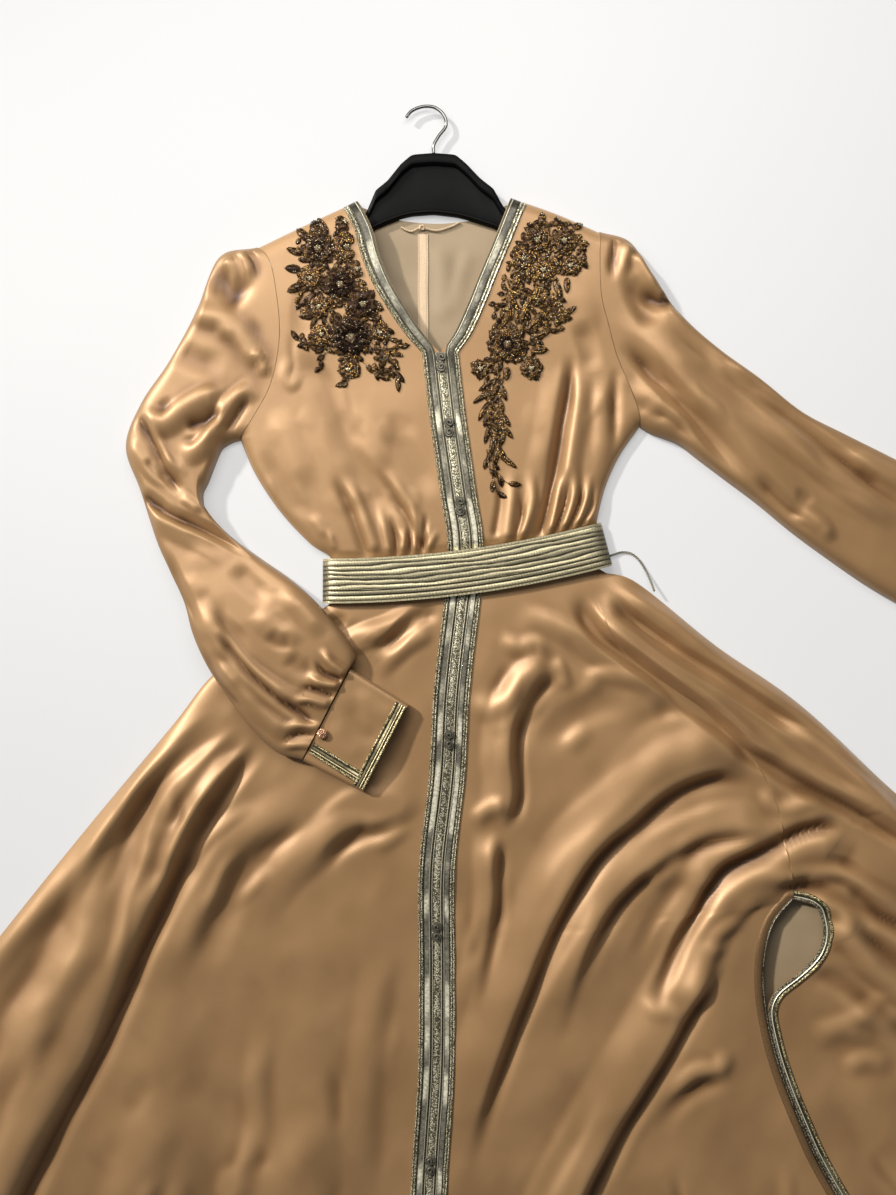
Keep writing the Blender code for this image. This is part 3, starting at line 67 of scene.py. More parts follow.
# ---- belt cord ----
# The free end of the belt's lacing, three silver strands twisted together. It comes out
# from under the belt and lies in a loop over the floor, its end tucked in the skirt.
CORD = 0.30
STRANDS, STRAND_SHARE = 3, 0.28  # a strand's radius, as a share of the cord's width
CORD_PITCH = 1.1  # length of one full turn of a strand
NEARLY_UP = np.array([0.13, 0.07, 1.0])  # no piece runs quite along it
CORD_ROUTE = [(17.35, 1.3, 0.42), (17.9, 1.5, 0.3), (18.8, 1.75, 0.16), (19.9, 1.6, 0.16),
              (20.9, 0.8, 0.16), (21.7, -0.5, 0.25), (22.2, -1.8, 0.7), (22.5, -2.9, 1.25)]


def smooth(points, per_span=12):
    """A Catmull-Rom curve through the points, as a dense array."""
    p = np.array(points, float)
    if len(p) < 3:
        t = np.linspace(0, 1, per_span + 1)[:, None]
        return p[0] * (1 - t) + p[-1] * t
    p = np.vstack([2 * p[0] - p[1], p, 2 * p[-1] - p[-2]])
    out = []
    for a, b, c, d in zip(p[:-3], p[1:-2], p[2:-1], p[3:]):
        t = np.linspace(0, 1, per_span, endpoint=False)[:, None]
        out.append(0.5 * (2 * b + (c - a) * t + (2 * a - 5 * b + 4 * c - d) * t ** 2
                          + (3 * b - a - 3 * c + d) * t ** 3))
    out.append(p[-2][None])
    return np.vstack(out)


def run_of(curve):
    """Distance run along a curve at each of its points."""
    return np.concatenate([[0], np.cumsum(np.linalg.norm(np.diff(curve, axis=0), axis=1))])


def along(curve, shares):
    """Points at the given shares of a curve's length."""
    run = run_of(curve)
    return np.stack([np.interp(shares, run / run[-1], curve[:, k])
                     for k in range(curve.shape[1])], -1)


def unit(vectors):
    return vectors / np.maximum(np.linalg.norm(vectors, axis=-1, keepdims=True), 1e-12)


def grid_faces(rows, cols, wrap=False, start=0):
    """Quads of a grid of points. wrap joins its last column to its first."""
    i, j = np.meshgrid(np.arange(rows - 1), np.arange(cols if wrap else cols - 1), indexing="ij")
    a = start + i * cols + j
    b = start + i * cols + (j + 1) % cols
    return np.stack([a, b, b + cols, a + cols], -1).reshape(-1, 4)


def capped(rows, around):
    """Faces of a tube of points and of the caps on its two ends."""
    ends = [list(range(around)), [(rows - 1) * around + j for j in range(around)][::-1]]
    return grid_faces(rows, around, wrap=True).tolist() + ends


def square_to(ahead):
    """Two directions square to each way ahead: to its side, and up."""
    side = unit(np.cross(unit(ahead), NEARLY_UP))
    return side, np.cross(side, unit(ahead))


def sweep(centre, radius, around, closed=False):
    """Points and faces of a round tube along a curve. radius is one size or one a point."""
    ahead, behind = np.roll(centre, -1, 0), np.roll(centre, 1, 0)
    side, lift = square_to(ahead - behind if closed else np.gradient(centre, axis=0))
    turn = np.arange(around) * 2 * math.pi / around
    spoke = side[:, None] * np.cos(turn)[:, None] + lift[:, None] * np.sin(turn)[:, None]
    points = centre[:, None] + spoke * np.broadcast_to(radius, len(centre))[:, None, None]
    faces = capped(len(centre), around)
    if closed:
        last = (len(centre) - 1) * around
        faces[-2:] = [[last + j, last + (j + 1) % around, (j + 1) % around, j]
                      for j in range(around)]
    return points.reshape(-1, 3), faces


def joined(parts):
    """One set of points and faces from several."""
    points, faces, start = [], [], 0
    for p, f in parts:
        points.append(np.asarray(p, float))
        faces += [[k + start for k in face] for face in f]
        start += len(p)
    return np.vstack(points), faces


def twisted(centre, diameter, pitch):
    """Three strands laid round each other, as wide together as the diameter."""
    run = run_of(centre)
    side, lift = square_to(np.gradient(centre, axis=0))
    thick = diameter * STRAND_SHARE
    parts = []
    for k in range(STRANDS):
        turn = (run / pitch + k / STRANDS)[:, None] * 2 * math.pi
        offset = (side * np.cos(turn) + lift * np.sin(turn)) * (diameter / 2 - thick)
        parts.append(sweep(centre + offset, thick, 6))
    return joined(parts)


def make(name, points, faces, finish, sharp=50, tint=None):
    """A mesh object from points in centimetres. tint is a colour for each point."""
    mesh = bpy.data.meshes.new(name)
    mesh.from_pydata((np.asarray(points, float) * CM).tolist(), [], faces)
    mesh.materials.append(finish)
    bm = bmesh.new()
    bm.from_mesh(mesh)
    bmesh.ops.recalc_face_normals(bm, faces=bm.faces)
    bm.to_mesh(mesh)
    bm.free()
    mesh.shade_smooth()
    mesh.set_sharp_from_angle(angle=math.radians(sharp))
    if tint is not None:
        layer = mesh.attributes.new("tint", "FLOAT_COLOR", "POINT")
        rgba = np.ones((len(points), 4), np.float32)
        rgba[:, :3] = tint
        layer.data.foreach_set("color", rgba.ravel())
    return placed(name, mesh)


def dress(piece, node):
    """Fix a piece to the garment in the place of its solid."""
    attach(piece, "root")
    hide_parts(node)


def blank_finish(name, roughness, metallic=0.0):
    """A material with its node tree and its shader."""
    mat = bpy.data.materials.new(name)
    mat.use_nodes = True
    tree = mat.node_tree
    shader = tree.nodes["Principled BSDF"]
    shader.inputs["Roughness"].default_value = roughness
    shader.inputs["Metallic"].default_value = metallic
    return mat, tree, shader


def texture(tree, kind, scale):
    """A texture node on the object's own coordinates."""
    place = tree.nodes.new("ShaderNodeTexCoord")
    field = tree.nodes.new(kind)
    field.inputs["Scale"].default_value = scale
    tree.links.new(place.outputs["Object"], field.inputs["Vector"])
    return field


def noise(tree, scale, detail):
    field = texture(tree, "ShaderNodeTexNoise", scale)
    field.inputs["Detail"].default_value = detail
    return field.outputs["Fac"]


def shades(tree, field, stops):
    """Colours or greys picked by a field's value, from (position, colour) stops."""
    ramp = tree.nodes.new("ShaderNodeValToRGB")
    elements = ramp.color_ramp.elements
    while len(elements) < len(stops):
        elements.new(0.5)
    for element, (position, colour) in zip(elements, stops):
        element.position = position
        element.color = (*colour, 1.0)
    tree.links.new(field, ramp.inputs["Fac"])
    return ramp.outputs["Color"]


def mottled(tree, shader, field, dark, pale):
    """Base colour that shifts from a darker to a paler shade."""
    tree.links.new(shades(tree, field, [(0.3, dark), (0.7, pale)]), shader.inputs["Base Color"])


def relief_bump(tree, shader, field, distance, strength, invert=False):
    """Fine relief over what relief there is, its depth in metres."""
    bump = tree.nodes.new("ShaderNodeBump")
    bump.invert = invert
    bump.inputs["Distance"].default_value = distance
    bump.inputs["Strength"].default_value = strength
    tree.links.new(field, bump.inputs["Height"])
    for coarser in shader.inputs["Normal"].links:
        tree.links.new(coarser.from_socket, bump.inputs["Normal"])
    tree.links.new(bump.outputs["Normal"], shader.inputs["Normal"])


def own_tint(tree, shader, shade):
    """Base colour from a shade multiplied by the tint that each point carries."""
    own = tree.nodes.new("ShaderNodeAttribute")
    own.attribute_name = "tint"
    mix = tree.nodes.new("ShaderNodeMix")
    mix.data_type = "RGBA"
    mix.blend_type = "MULTIPLY"
    mix.inputs["Factor"].default_value = 1.0
    tree.links.new(own.outputs["Color"], mix.inputs[6])
    tree.links.new(shade, mix.inputs[7])
    tree.links.new(mix.outputs[2], shader.inputs["Base Color"])


def thread_finish(name, roughness, metallic, grain):
    """Metallic thread: each point's own tint, dulled and grained by fine noise."""
    mat, tree, shader = blank_finish(name, roughness, metallic)
    fleck = shades(tree, noise(tree, grain, 2.0), [(0.35, (.62, .62, .62)), (0.65, (1.2, 1.2, 1.2))])
    own_tint(tree, shader, fleck)
    relief_bump(tree, shader, noise(tree, grain * 1.7, 2.0), 0.0002, 1.0)
    return mat


SILVER = np.array([0.46, 0.43, 0.33])
cord_thread = thread_finish("silver_cord", 0.38, 0.6, 1500)
cord_line = along(smooth(CORD_ROUTE, 16), np.linspace(0, 1, 90))
points, faces = twisted(cord_line, CORD, CORD_PITCH)
belt_cord = make("belt_cord_strands", points, faces, cord_thread, tint=SILVER * 0.55)
dress(belt_cord, "belt_cord")

# ---- floor and lights ----
# A plain white studio floor, with one soft key light from the upper left and an even sky.
FLOOR_HALF = 400
FLOOR_GLOW = 0.38  # evens the floor out, as a lit paper sweep does
KEY_FROM = (-1.0, 0.7, 0.7)  # direction the key light comes from
KEY_STRENGTH = 4.0
KEY_COLOUR, PANEL_COLOUR = (1.0, 0.965, 0.92), (1.0, 0.97, 0.93)
KEY_ANGLE = 4.0  # degrees across, which softens its shadows
PANEL_AT = (-28, 70, 95)  # the long softbox over the top, aimed at the middle
PANEL_SIZE = (170, 50)
PANEL_POWER = 15.0  # watts
SKY = (0.95, 0.97, 1.0)
SKY_STRENGTH = 0.12

floor_finish, tree, shader = blank_finish("white_floor", 0.9)
mottled(tree, shader, noise(tree, 1.3, 2.0), (.34, .34, .345), (.36, .36, .36))
shader.inputs["Emission Color"].default_value = (1.0, 1.0, 1.0, 1.0)
shader.inputs["Emission Strength"].default_value = FLOOR_GLOW
floor = make("floor", [(-FLOOR_HALF, -FLOOR_HALF, 0), (FLOOR_HALF, -FLOOR_HALF, 0),
                       (FLOOR_HALF, FLOOR_HALF, 0), (-FLOOR_HALF, FLOOR_HALF, 0)],
             [[0, 1, 2, 3]], floor_finish)

key_data = bpy.data.lights.new("key", "SUN")
key_data.energy = KEY_STRENGTH
key_data.angle = math.radians(KEY_ANGLE)
key_data.color = KEY_COLOUR
key = placed("key", key_data)
key.rotation_euler = Vector(KEY_FROM).to_track_quat("Z", "Y").to_euler()

panel_data = bpy.data.lights.new("softbox", "AREA")
panel_data.shape = "RECTANGLE"
panel_data.size, panel_data.size_y = (c * CM for c in PANEL_SIZE)
panel_data.energy = PANEL_POWER
panel_data.color = PANEL_COLOUR
softbox = placed("softbox", panel_data, PANEL_AT)
softbox.rotation_euler = Vector(PANEL_AT).to_track_quat("Z", "Y").to_euler()

world = bpy.data.worlds.new("studio")
world.use_nodes = True
sky = world.node_tree.nodes["Background"]
sky.inputs["Color"].default_value = (*SKY, 1.0)
sky.inputs["Strength"].default_value = SKY_STRENGTH
bpy.context.scene.world = world
bpy.context.scene.view_settings.view_transform = "Standard"

# ---- back of the skirt and bodice ----
# The layer that lies on the floor, seen from its duller inside in the neck and the slit.
# It is one breadth of satin a piece, and rises a little where the belt passes under it.
SHELL = 0.08  # thickness of the satin
SEAM = 0.03
FLOOR_WALL = 0.20  # top of the layer that rests on the floor
REST = FLOOR_WALL + SEAM  # where the rolled edges of the upper layer rest
ROLL = 2.2  # distance over which a rolled edge reaches full height
BELT_WIDTH = 5.3
BELT_WALL = 0.24
BELT_UNDER = BELT_WALL + SEAM
BELT_CLEAR = BELT_WIDTH / 2 + 0.75  # half of the lifted stretch of the back over the belt
BELT_RAMP = BELT_WIDTH / 2 + 4.2  # and where it is down on the floor again
WAIST_LEVEL, WAIST_SLOPE, WAIST_CURVE = -0.65, 0.1305, 0.00403
WAIST_LEFT_END, WAIST_RIGHT_END = -16.1, 15.8
BACK_INSET = 0.35  # the back's edge is tucked under the rolled edge

Fold = namedtuple("Fold", "through left right height fades crest foot",
                  defaults=((.3, .3), 2.0, 2.0))
# through: points it runs along. left, right: how far its flanks reach on either hand when
# walking along it. height: up for a ridge, down for a trough. fades: shares of its length
# over which it starts and ends. crest: 2 is round, 1 sharp. foot: 2 is soft, 1 a crease.


def ease(t):
    t = np.clip(t, 0, 1)
    return t * t * (3 - 2 * t)


def from_curve(xy, curve):
    """Distance, hand (+1 on the left) and share along the curve, for each point."""
    a, b = curve[:-1], curve[1:]
    seg = b - a
    rel = xy[..., None, :] - a
    t = np.clip((rel * seg).sum(-1) / np.maximum((seg ** 2).sum(-1), 1e-9), 0, 1)
    dist = np.linalg.norm(rel - t[..., None] * seg, axis=-1)
    k = dist.argmin(-1)[..., None]
    run = run_of(curve)
    part = np.take_along_axis(t, k, -1)[..., 0]
    share = (run[k[..., 0]] + part * (run[k[..., 0] + 1] - run[k[..., 0]])) / run[-1]
    cross = seg[..., 0] * rel[..., 1] - seg[..., 1] * rel[..., 0]
    hand = np.sign(np.take_along_axis(cross, k, -1)[..., 0])
    return np.take_along_axis(dist, k, -1)[..., 0], hand, share


def relief(xy, folds, breadth=1.0):
    """Sum of the folds' heights at each point, their flanks wider by the breadth."""
    flat = xy.reshape(-1, 2)
    z = np.zeros(len(flat))
    for fold in folds:
        curve = smooth(fold.through, 8)
        reach = max(fold.left, fold.right) * breadth
        near = np.flatnonzero(((flat > curve.min(0) - reach) & (flat < curve.max(0) + reach)).all(1))
        if not len(near):
            continue
        dist, hand, share = from_curve(flat[near], curve)
        q = np.clip(dist / np.where(hand > 0, fold.left, fold.right) / breadth, 0, 1)
        up, down = fold.fades
        run = ease(share / up if up else 1.0) * ease((1 - share) / down if down else 1.0)
        z[near] += fold.height * (1 - q ** fold.crest) ** fold.foot * run
    return z.reshape(xy.shape[:-1])


def with_lesser(rows, seed, shortest, tallest):
    """The folds, and beside each long one two lesser ones that follow a part of it."""
    rng = np.random.default_rng(seed)
    folds, lesser = [Fold(*row) for row in rows], []
    for fold in folds:
        curve = smooth(fold.through, 4)
        if run_of(curve)[-1] < shortest:
            continue
        for hand, reach in ((-1, fold.right), (1, fold.left)):
            start = rng.uniform(0, 0.55)
            part = along(curve, np.linspace(start, start + rng.uniform(0.25, 0.45), 4))
            out = unit(np.gradient(part, axis=0))[:, ::-1] * [-hand, hand]
            part = part + out * (reach * rng.uniform(0.6, 1.4) + rng.uniform(-0.6, 0.6, (4, 1)))
            width = rng.uniform(0.6, 1.3)
            height = rng.uniform(0.4, 1.0) * tallest * rng.choice([-1, 1])
            lesser.append(Fold(part, width, width * 1.4, height, (.4, .4), 2.0, 1.5))
    return folds + lesser


def ripples(xy, seed, count, shortest, longest, height):
    """Low seeded waves in many directions, bent a little by each other."""
    rng = np.random.default_rng(seed)
    z = np.zeros(xy.shape[:-1])
    bend = np.zeros_like(xy)
    for _ in range(count):
        turn = rng.uniform(0, math.pi)
        length = rng.uniform(shortest, longest)
        phase = rng.uniform(0, 2 * math.pi)
        way = np.array([math.cos(turn), math.sin(turn)])
        wave = ((xy + bend) * way).sum(-1) * 2 * math.pi / length + phase
        z += np.sin(wave) * length / longest
        bend = bend + np.cos(wave)[..., None] * way[::-1] * length * 0.06
    return z * height / math.sqrt(count)


def patch(left, right, u, first, last, power):
    """Rows ruled from left to right, bent to the first and last rows' own curves."""
    rows = np.linspace(0, 1, len(left))[:, None, None]
    grid = left[:, None] * (1 - u[..., None]) + right[:, None] * u[..., None]
    for curve, end, weight in ((first, 0, (1 - rows) ** power), (last, -1, rows ** power)):
        if curve is not None:
            straight = left[end] * (1 - u[..., None]) + right[end] * u[..., None]
            grid = grid + weight * (along(curve, u) - straight)
    return grid


def even(rows, cols):
    return np.repeat(np.linspace(0, 1, cols)[None], rows, 0)


def settled(z, passes):
    """Heights eased into their neighbours', with the panel's own edges kept."""
    for _ in range(passes):
        z = z.copy()
        z[1:-1, 1:-1] = (z[1:-1, 1:-1] * 4 + (z[:-2, 1:-1] + z[2:, 1:-1] + z[1:-1, :-2]
                                              + z[1:-1, 2:]) * 2
                         + z[:-2, :-2] + z[:-2, 2:] + z[2:, :-2] + z[2:, 2:]) / 16
    return z


CREASE_SHADE_HUE = np.array([1.0, 1.2, 1.45])  # painted crease shade is warmer, as if lit by the cloth
CREASE_DARK = 3.2  # brightness that painted crease shade takes off for each centimetre of a crease's depth


def painted_crease_shade(z, depth=CREASE_DARK):
    """Painted shade that deepens in the creases, and painted highlight that lifts a little along the
    crests.
    """
    hollow = settled(z, 7) - z
    shade = 1 - depth * np.clip(hollow - 0.01, 0, 0.22) + 1.2 * np.clip(-hollow - 0.01, 0, 0.12)
    return settled(shade, 1)[..., None] ** CREASE_SHADE_HUE


def with_height(xy, z):
    return np.dstack([xy, z])


def upward(grid):
    """Normals of an open grid, turned up."""
    down_rows = np.gradient(grid, axis=0)
    over_cols = np.gradient(grid, axis=1)
    n = unit(np.cross(down_rows, over_cols))
    return n if n[..., 2].mean() > 0 else -n


def rings_of(rows, cols, wrap, start=0):
    """The edge of a grid of points: one ring, or its two end loops if it is a tube."""
    at = start + np.arange(rows * cols).reshape(rows, cols)
    if wrap:
        return [at[0], np.roll(at[-1][::-1], 1)]
    return [np.concatenate([at[0, :-1], at[:-1, -1], at[-1, :0:-1], at[:0:-1, 0]])]


def shell(top, under, wrap=False):
    """A closed thin wall. Its hidden side keeps every other row and column of points."""
    rows, cols = top.shape[:2]
    count = rows * cols
    under = under[::2, ::2]
    half_rows, half_cols = under.shape[:2]
    faces = grid_faces(rows, cols, wrap).tolist()
    faces += grid_faces(half_rows, half_cols, wrap, count)[:, ::-1].tolist()
    for ring, half in zip(rings_of(rows, cols, wrap), rings_of(half_rows, half_cols, wrap, count)):
        nxt = np.roll(ring, -2)
        faces += np.stack([ring[::2], ring[1::2], nxt[::2], np.roll(half, -1), half], -1).tolist()
    return np.vstack([top.reshape(-1, 3), under.reshape(-1, 3)]), faces


def both_sides(tint):
    """A shell's tints: its outer grid's, and every other one of them inside."""
    return np.vstack([tint.reshape(-1, 3), tint[::2, ::2].reshape(-1, 3)])


def cloth_panel(top, lowest):
    """A satin wall under a panel's outer points, never lower than where it rests."""
    under = top - upward(top) * SHELL
    under[..., 2] = np.maximum(under[..., 2], lowest)
    top = top.copy()
    top[..., 2] = np.maximum(top[..., 2], under[..., 2] + 0.01)
    # its tints are painted crease shade and painted crest highlight
    return *shell(top, under), both_sides(painted_crease_shade(top[..., 2]))


def waist_y(x):
    return WAIST_LEVEL + WAIST_SLOPE * x + WAIST_CURVE * x * x


def waist_line(x0, x1, shift):
    x = np.linspace(x0, x1, 25)
    return np.stack([x, waist_y(x) + shift], -1)


def back_lift(xy):
    """How far the back layer is raised by the belt that passes under it."""
    off = np.abs(xy[..., 1] - waist_y(xy[..., 0]))
    return BELT_UNDER * ease((BELT_RAMP - off) / (BELT_RAMP - BELT_CLEAR))


def weave(tree, shader, pitch, depth):
    """Crossed threads as fine relief."""
    crossed = tree.nodes.new("ShaderNodeMath")
    crossed.operation = "ADD"
    for direction, socket in zip("XY", crossed.inputs):
        thread = texture(tree, "ShaderNodeTexWave", 0.314 / pitch)
        thread.bands_direction = direction
        thread.inputs["Distortion"].default_value = 0.6
        tree.links.new(thread.outputs["Fac"], socket)
    relief_bump(tree, shader, crossed.outputs[0], depth, 0.35)


CREPE = 0.00012  # depth of the cloth's small soft dimples, in metres


def satin_finish(name, deep, pale, roughness, metallic, gloss):
    """Satin: dyed thread in a fine weave, uneven by small patches, under a paler gloss."""
    mat, tree, shader = blank_finish(name, roughness, metallic)
    field = noise(tree, 12.0, 11.0)
    own_tint(tree, shader, shades(tree, field, [(0.3, deep), (0.7, pale)]))
    shader.inputs["Coat Weight"].default_value = gloss
    shader.inputs["Coat Roughness"].default_value = 0.40
    shader.inputs["Sheen Weight"].default_value = 0.1
    shader.inputs["Sheen Roughness"].default_value = 0.4
    shader.inputs["Sheen Tint"].default_value = (1.0, 0.82, 0.6, 1.0)
    relief_bump(tree, shader, noise(tree, 30.0, 2.5), CREPE, 0.6)
    weave(tree, shader, 0.0006, 0.00006)
    return mat


satin_inside = satin_finish("satin_inside", (.26, .19, .11), (.32, .24, .145), 0.6, 0.0, 0.0)

ARMHOLE_LEFT = smooth([(-24.8, 38.1), (-23, 36), (-22.2, 32), (-21.9, 28), (-22.3, 24.5), (-23.3, 21),
    (-25.2, 17.6), (-26.8, 15.1)])
ARMHOLE_RIGHT = smooth([(16, 40), (15.9, 36), (16.1, 32), (17, 28.5), (18, 25), (19.5, 21.5),
    (20.6, 18.5), (20.9, 16.7)])
SIDE_LEFT = smooth([(-26.8, 15.1), (-25, 11), (-22, 6.5), (-18.4, 2.7), (-16.2, 1.3), (-16.0, 0.2),
    (WAIST_LEFT_END, waist_y(WAIST_LEFT_END))])
SIDE_RIGHT = smooth([(20.9, 16.7), (18.6, 13.4), (17.0, 10), (16.0, 6.5), (15.7, 4.4),
    (WAIST_RIGHT_END, waist_y(WAIST_RIGHT_END))])
OUTLINE_LEFT = smooth([(WAIST_LEFT_END, waist_y(WAIST_LEFT_END)), (-16.1, -4.4), (-23, -7.8),
    (-30, -12.8), (-35, -19), (-45, -31), (-55, -43.4), (-68, -60), (-78, -74)])
OUTLINE_RIGHT = smooth([(WAIST_RIGHT_END, waist_y(WAIST_RIGHT_END)), (16.2, -0.4), (20.6, -1.9),
    (30, -9.4), (40, -16.4), (51, -26.6), (63, -37), (73, -50), (78, -67), (76, -80)])
HEM_LEFT = smooth([(-78, -74), (-72, -81), (-60, -89.5), (-40, -99.5), (-20, -105.5), (-6, -107)])
HEM_RIGHT = smooth([(-6, -107), (10, -106.6), (34, -101.5), (56, -93.5)])
HEM_TURN = smooth([(56, -93.5), (66, -88.5), (73, -83.5), (76, -80)])
BACK_NECK = smooth([(-24.8, 38.1), (-19, 40.3), (-13.2, 43.0), (-9, 41.7), (-3.5, 41.1), (2, 41.7),
    (5.8, 43.4), (11, 41.5), (16, 40)])

# what shows of the back's own creases, in the neck and in the slit's opening
BACK_FOLDS = [
    Fold([(-12.5, 38), (-9, 33), (-5.8, 30)], 1.6, 1.2, 0.21, (.2, .2)),
    Fold([(-3.6, 39), (-2.6, 34), (-2.9, 29)], 1.4, 1.8, 0.18, (.2, .2)),
    Fold([(0.5, 38.5), (-0.8, 34), (-1.8, 30)], 1.4, 1.1, 0.16, (.2, .2)),
    Fold([(37, -42), (38.5, -45), (39, -47.5)], 1.2, 0.9, 0.2, (.2, .2)),
]


def back_height(xy):
    clear = ease((back_lift(xy) * -4 + 1))
    return back_lift(xy) + FLOOR_WALL + relief(xy, BACK_FOLDS) * clear


SKIRT_BACK_ROWS, SKIRT_BACK_COLS = 101, 101
shares = np.linspace(0, 1, SKIRT_BACK_ROWS)
left = along(OUTLINE_LEFT, shares) + [BACK_INSET, 0]
right = along(OUTLINE_RIGHT, shares) - [BACK_INSET, 0]
whole_hem = np.vstack([HEM_LEFT, HEM_RIGHT[1:], HEM_TURN[1:]])
waist = waist_line(WAIST_LEFT_END + BACK_INSET, WAIST_RIGHT_END - BACK_INSET, -SEAM / 2)
xy = patch(left, right, even(SKIRT_BACK_ROWS, SKIRT_BACK_COLS), waist,
           whole_hem + [0, BACK_INSET], 2.5)
points, faces = shell(with_height(xy, back_height(xy)), with_height(xy, back_lift(xy)))
skirt_back = make("skirt_back_cloth", points, faces, satin_inside, tint=np.ones(3))
dress(skirt_back, "skirt_back")

BACK_ARM_ROWS, BACK_SIDE_ROWS, BODICE_BACK_COLS = 50, 35, 91


def bent(upper, lower, upper_rows, lower_rows):
    """Points down one curve and on down the next, their corner kept."""
    return np.vstack([along(upper, np.linspace(0, 1, upper_rows)),
                      along(lower, np.linspace(0, 1, lower_rows + 1)[1:])])


left = bent(ARMHOLE_LEFT + [SEAM / 2, 0], SIDE_LEFT + [BACK_INSET, 0],
            BACK_ARM_ROWS, BACK_SIDE_ROWS)
right = bent(ARMHOLE_RIGHT - [SEAM / 2, 0], SIDE_RIGHT - [BACK_INSET, 0],
             BACK_ARM_ROWS, BACK_SIDE_ROWS)
for end in (left, right):
    end[-1, 1] = waist_y(end[-1, 0]) + SEAM / 2
xy = patch(left, right, even(len(left), BODICE_BACK_COLS), BACK_NECK,
           waist_line(left[-1, 0], right[-1, 0], SEAM / 2), 6)
points, faces = shell(with_height(xy, back_height(xy)), with_height(xy, back_lift(xy)))
# painted crease shade and crest highlight on the back's inside
tint = both_sides(painted_crease_shade(back_height(xy)))
bodice_back = make("bodice_back_cloth", points, faces, satin_inside, tint=tint)
dress(bodice_back, "bodice_back")

# ---- skirt front and the turned-over stretch of its back ----
# A wide A-line in heavy satin. Two fronts meet at the buttons. The right side seam has
# rolled to the front and runs down into a slit, with a stretch of the back beyond it.
SKIRT_HEIGHT = 1.12  # height of the front between its folds
SKIRT_LOWEST = 0.42  # troughs flatten out towards this
SKIRT_CELL_ROWS, SKIRT_LEFT_COLS, SKIRT_RIGHT_COLS, TURN_COLS = 301, 141, 161, 121
SLEEVE_UNDER = 1.48  # the skirt stays below the sleeve that lies on it

CENTRE_SKIRT = smooth([(0.2, waist_y(0.2)), (-0.4, -5), (-1.55, -15), (-2.1, -25), (-3.3, -36),
    (-3.3, -48), (-3.4, -60), (-4.2, -73), (-6.0, -107)])
SEAM_TOP_X = 14.2
SIDE_SEAM = smooth([(SEAM_TOP_X, waist_y(SEAM_TOP_X)), (15.6, -3.8), (18, -9), (22, -12.6), (28, -17.2),
    (33, -21.4), (36.3, -26.5), (38, -33), (39, -39.6)])
SLIT_FRONT = smooth([(39, -39.6), (36.6, -42.6), (35.6, -47), (35.8, -52), (37.2, -58.5), (40, -66),
    (44, -74), (56, -93.5)])
SLIT_OPENING = smooth([(-53.5, 0), (-52.0, 0.35), (-50.3, 1.5), (-48.4, 4.1), (-46.4, 6.0), (-44.4, 6.5),
    (-42.6, 5.9), (-41.0, 4.4), (-40.0, 2.4), (-39.6, 0)])
SEAM_SHARE = 0.417  # share of the skirt's rows above the slit
FOREARM_ON_SKIRT = [(-34, -4), (-27, -9), (-20, -15), (-13, -20), (-9, -21)]

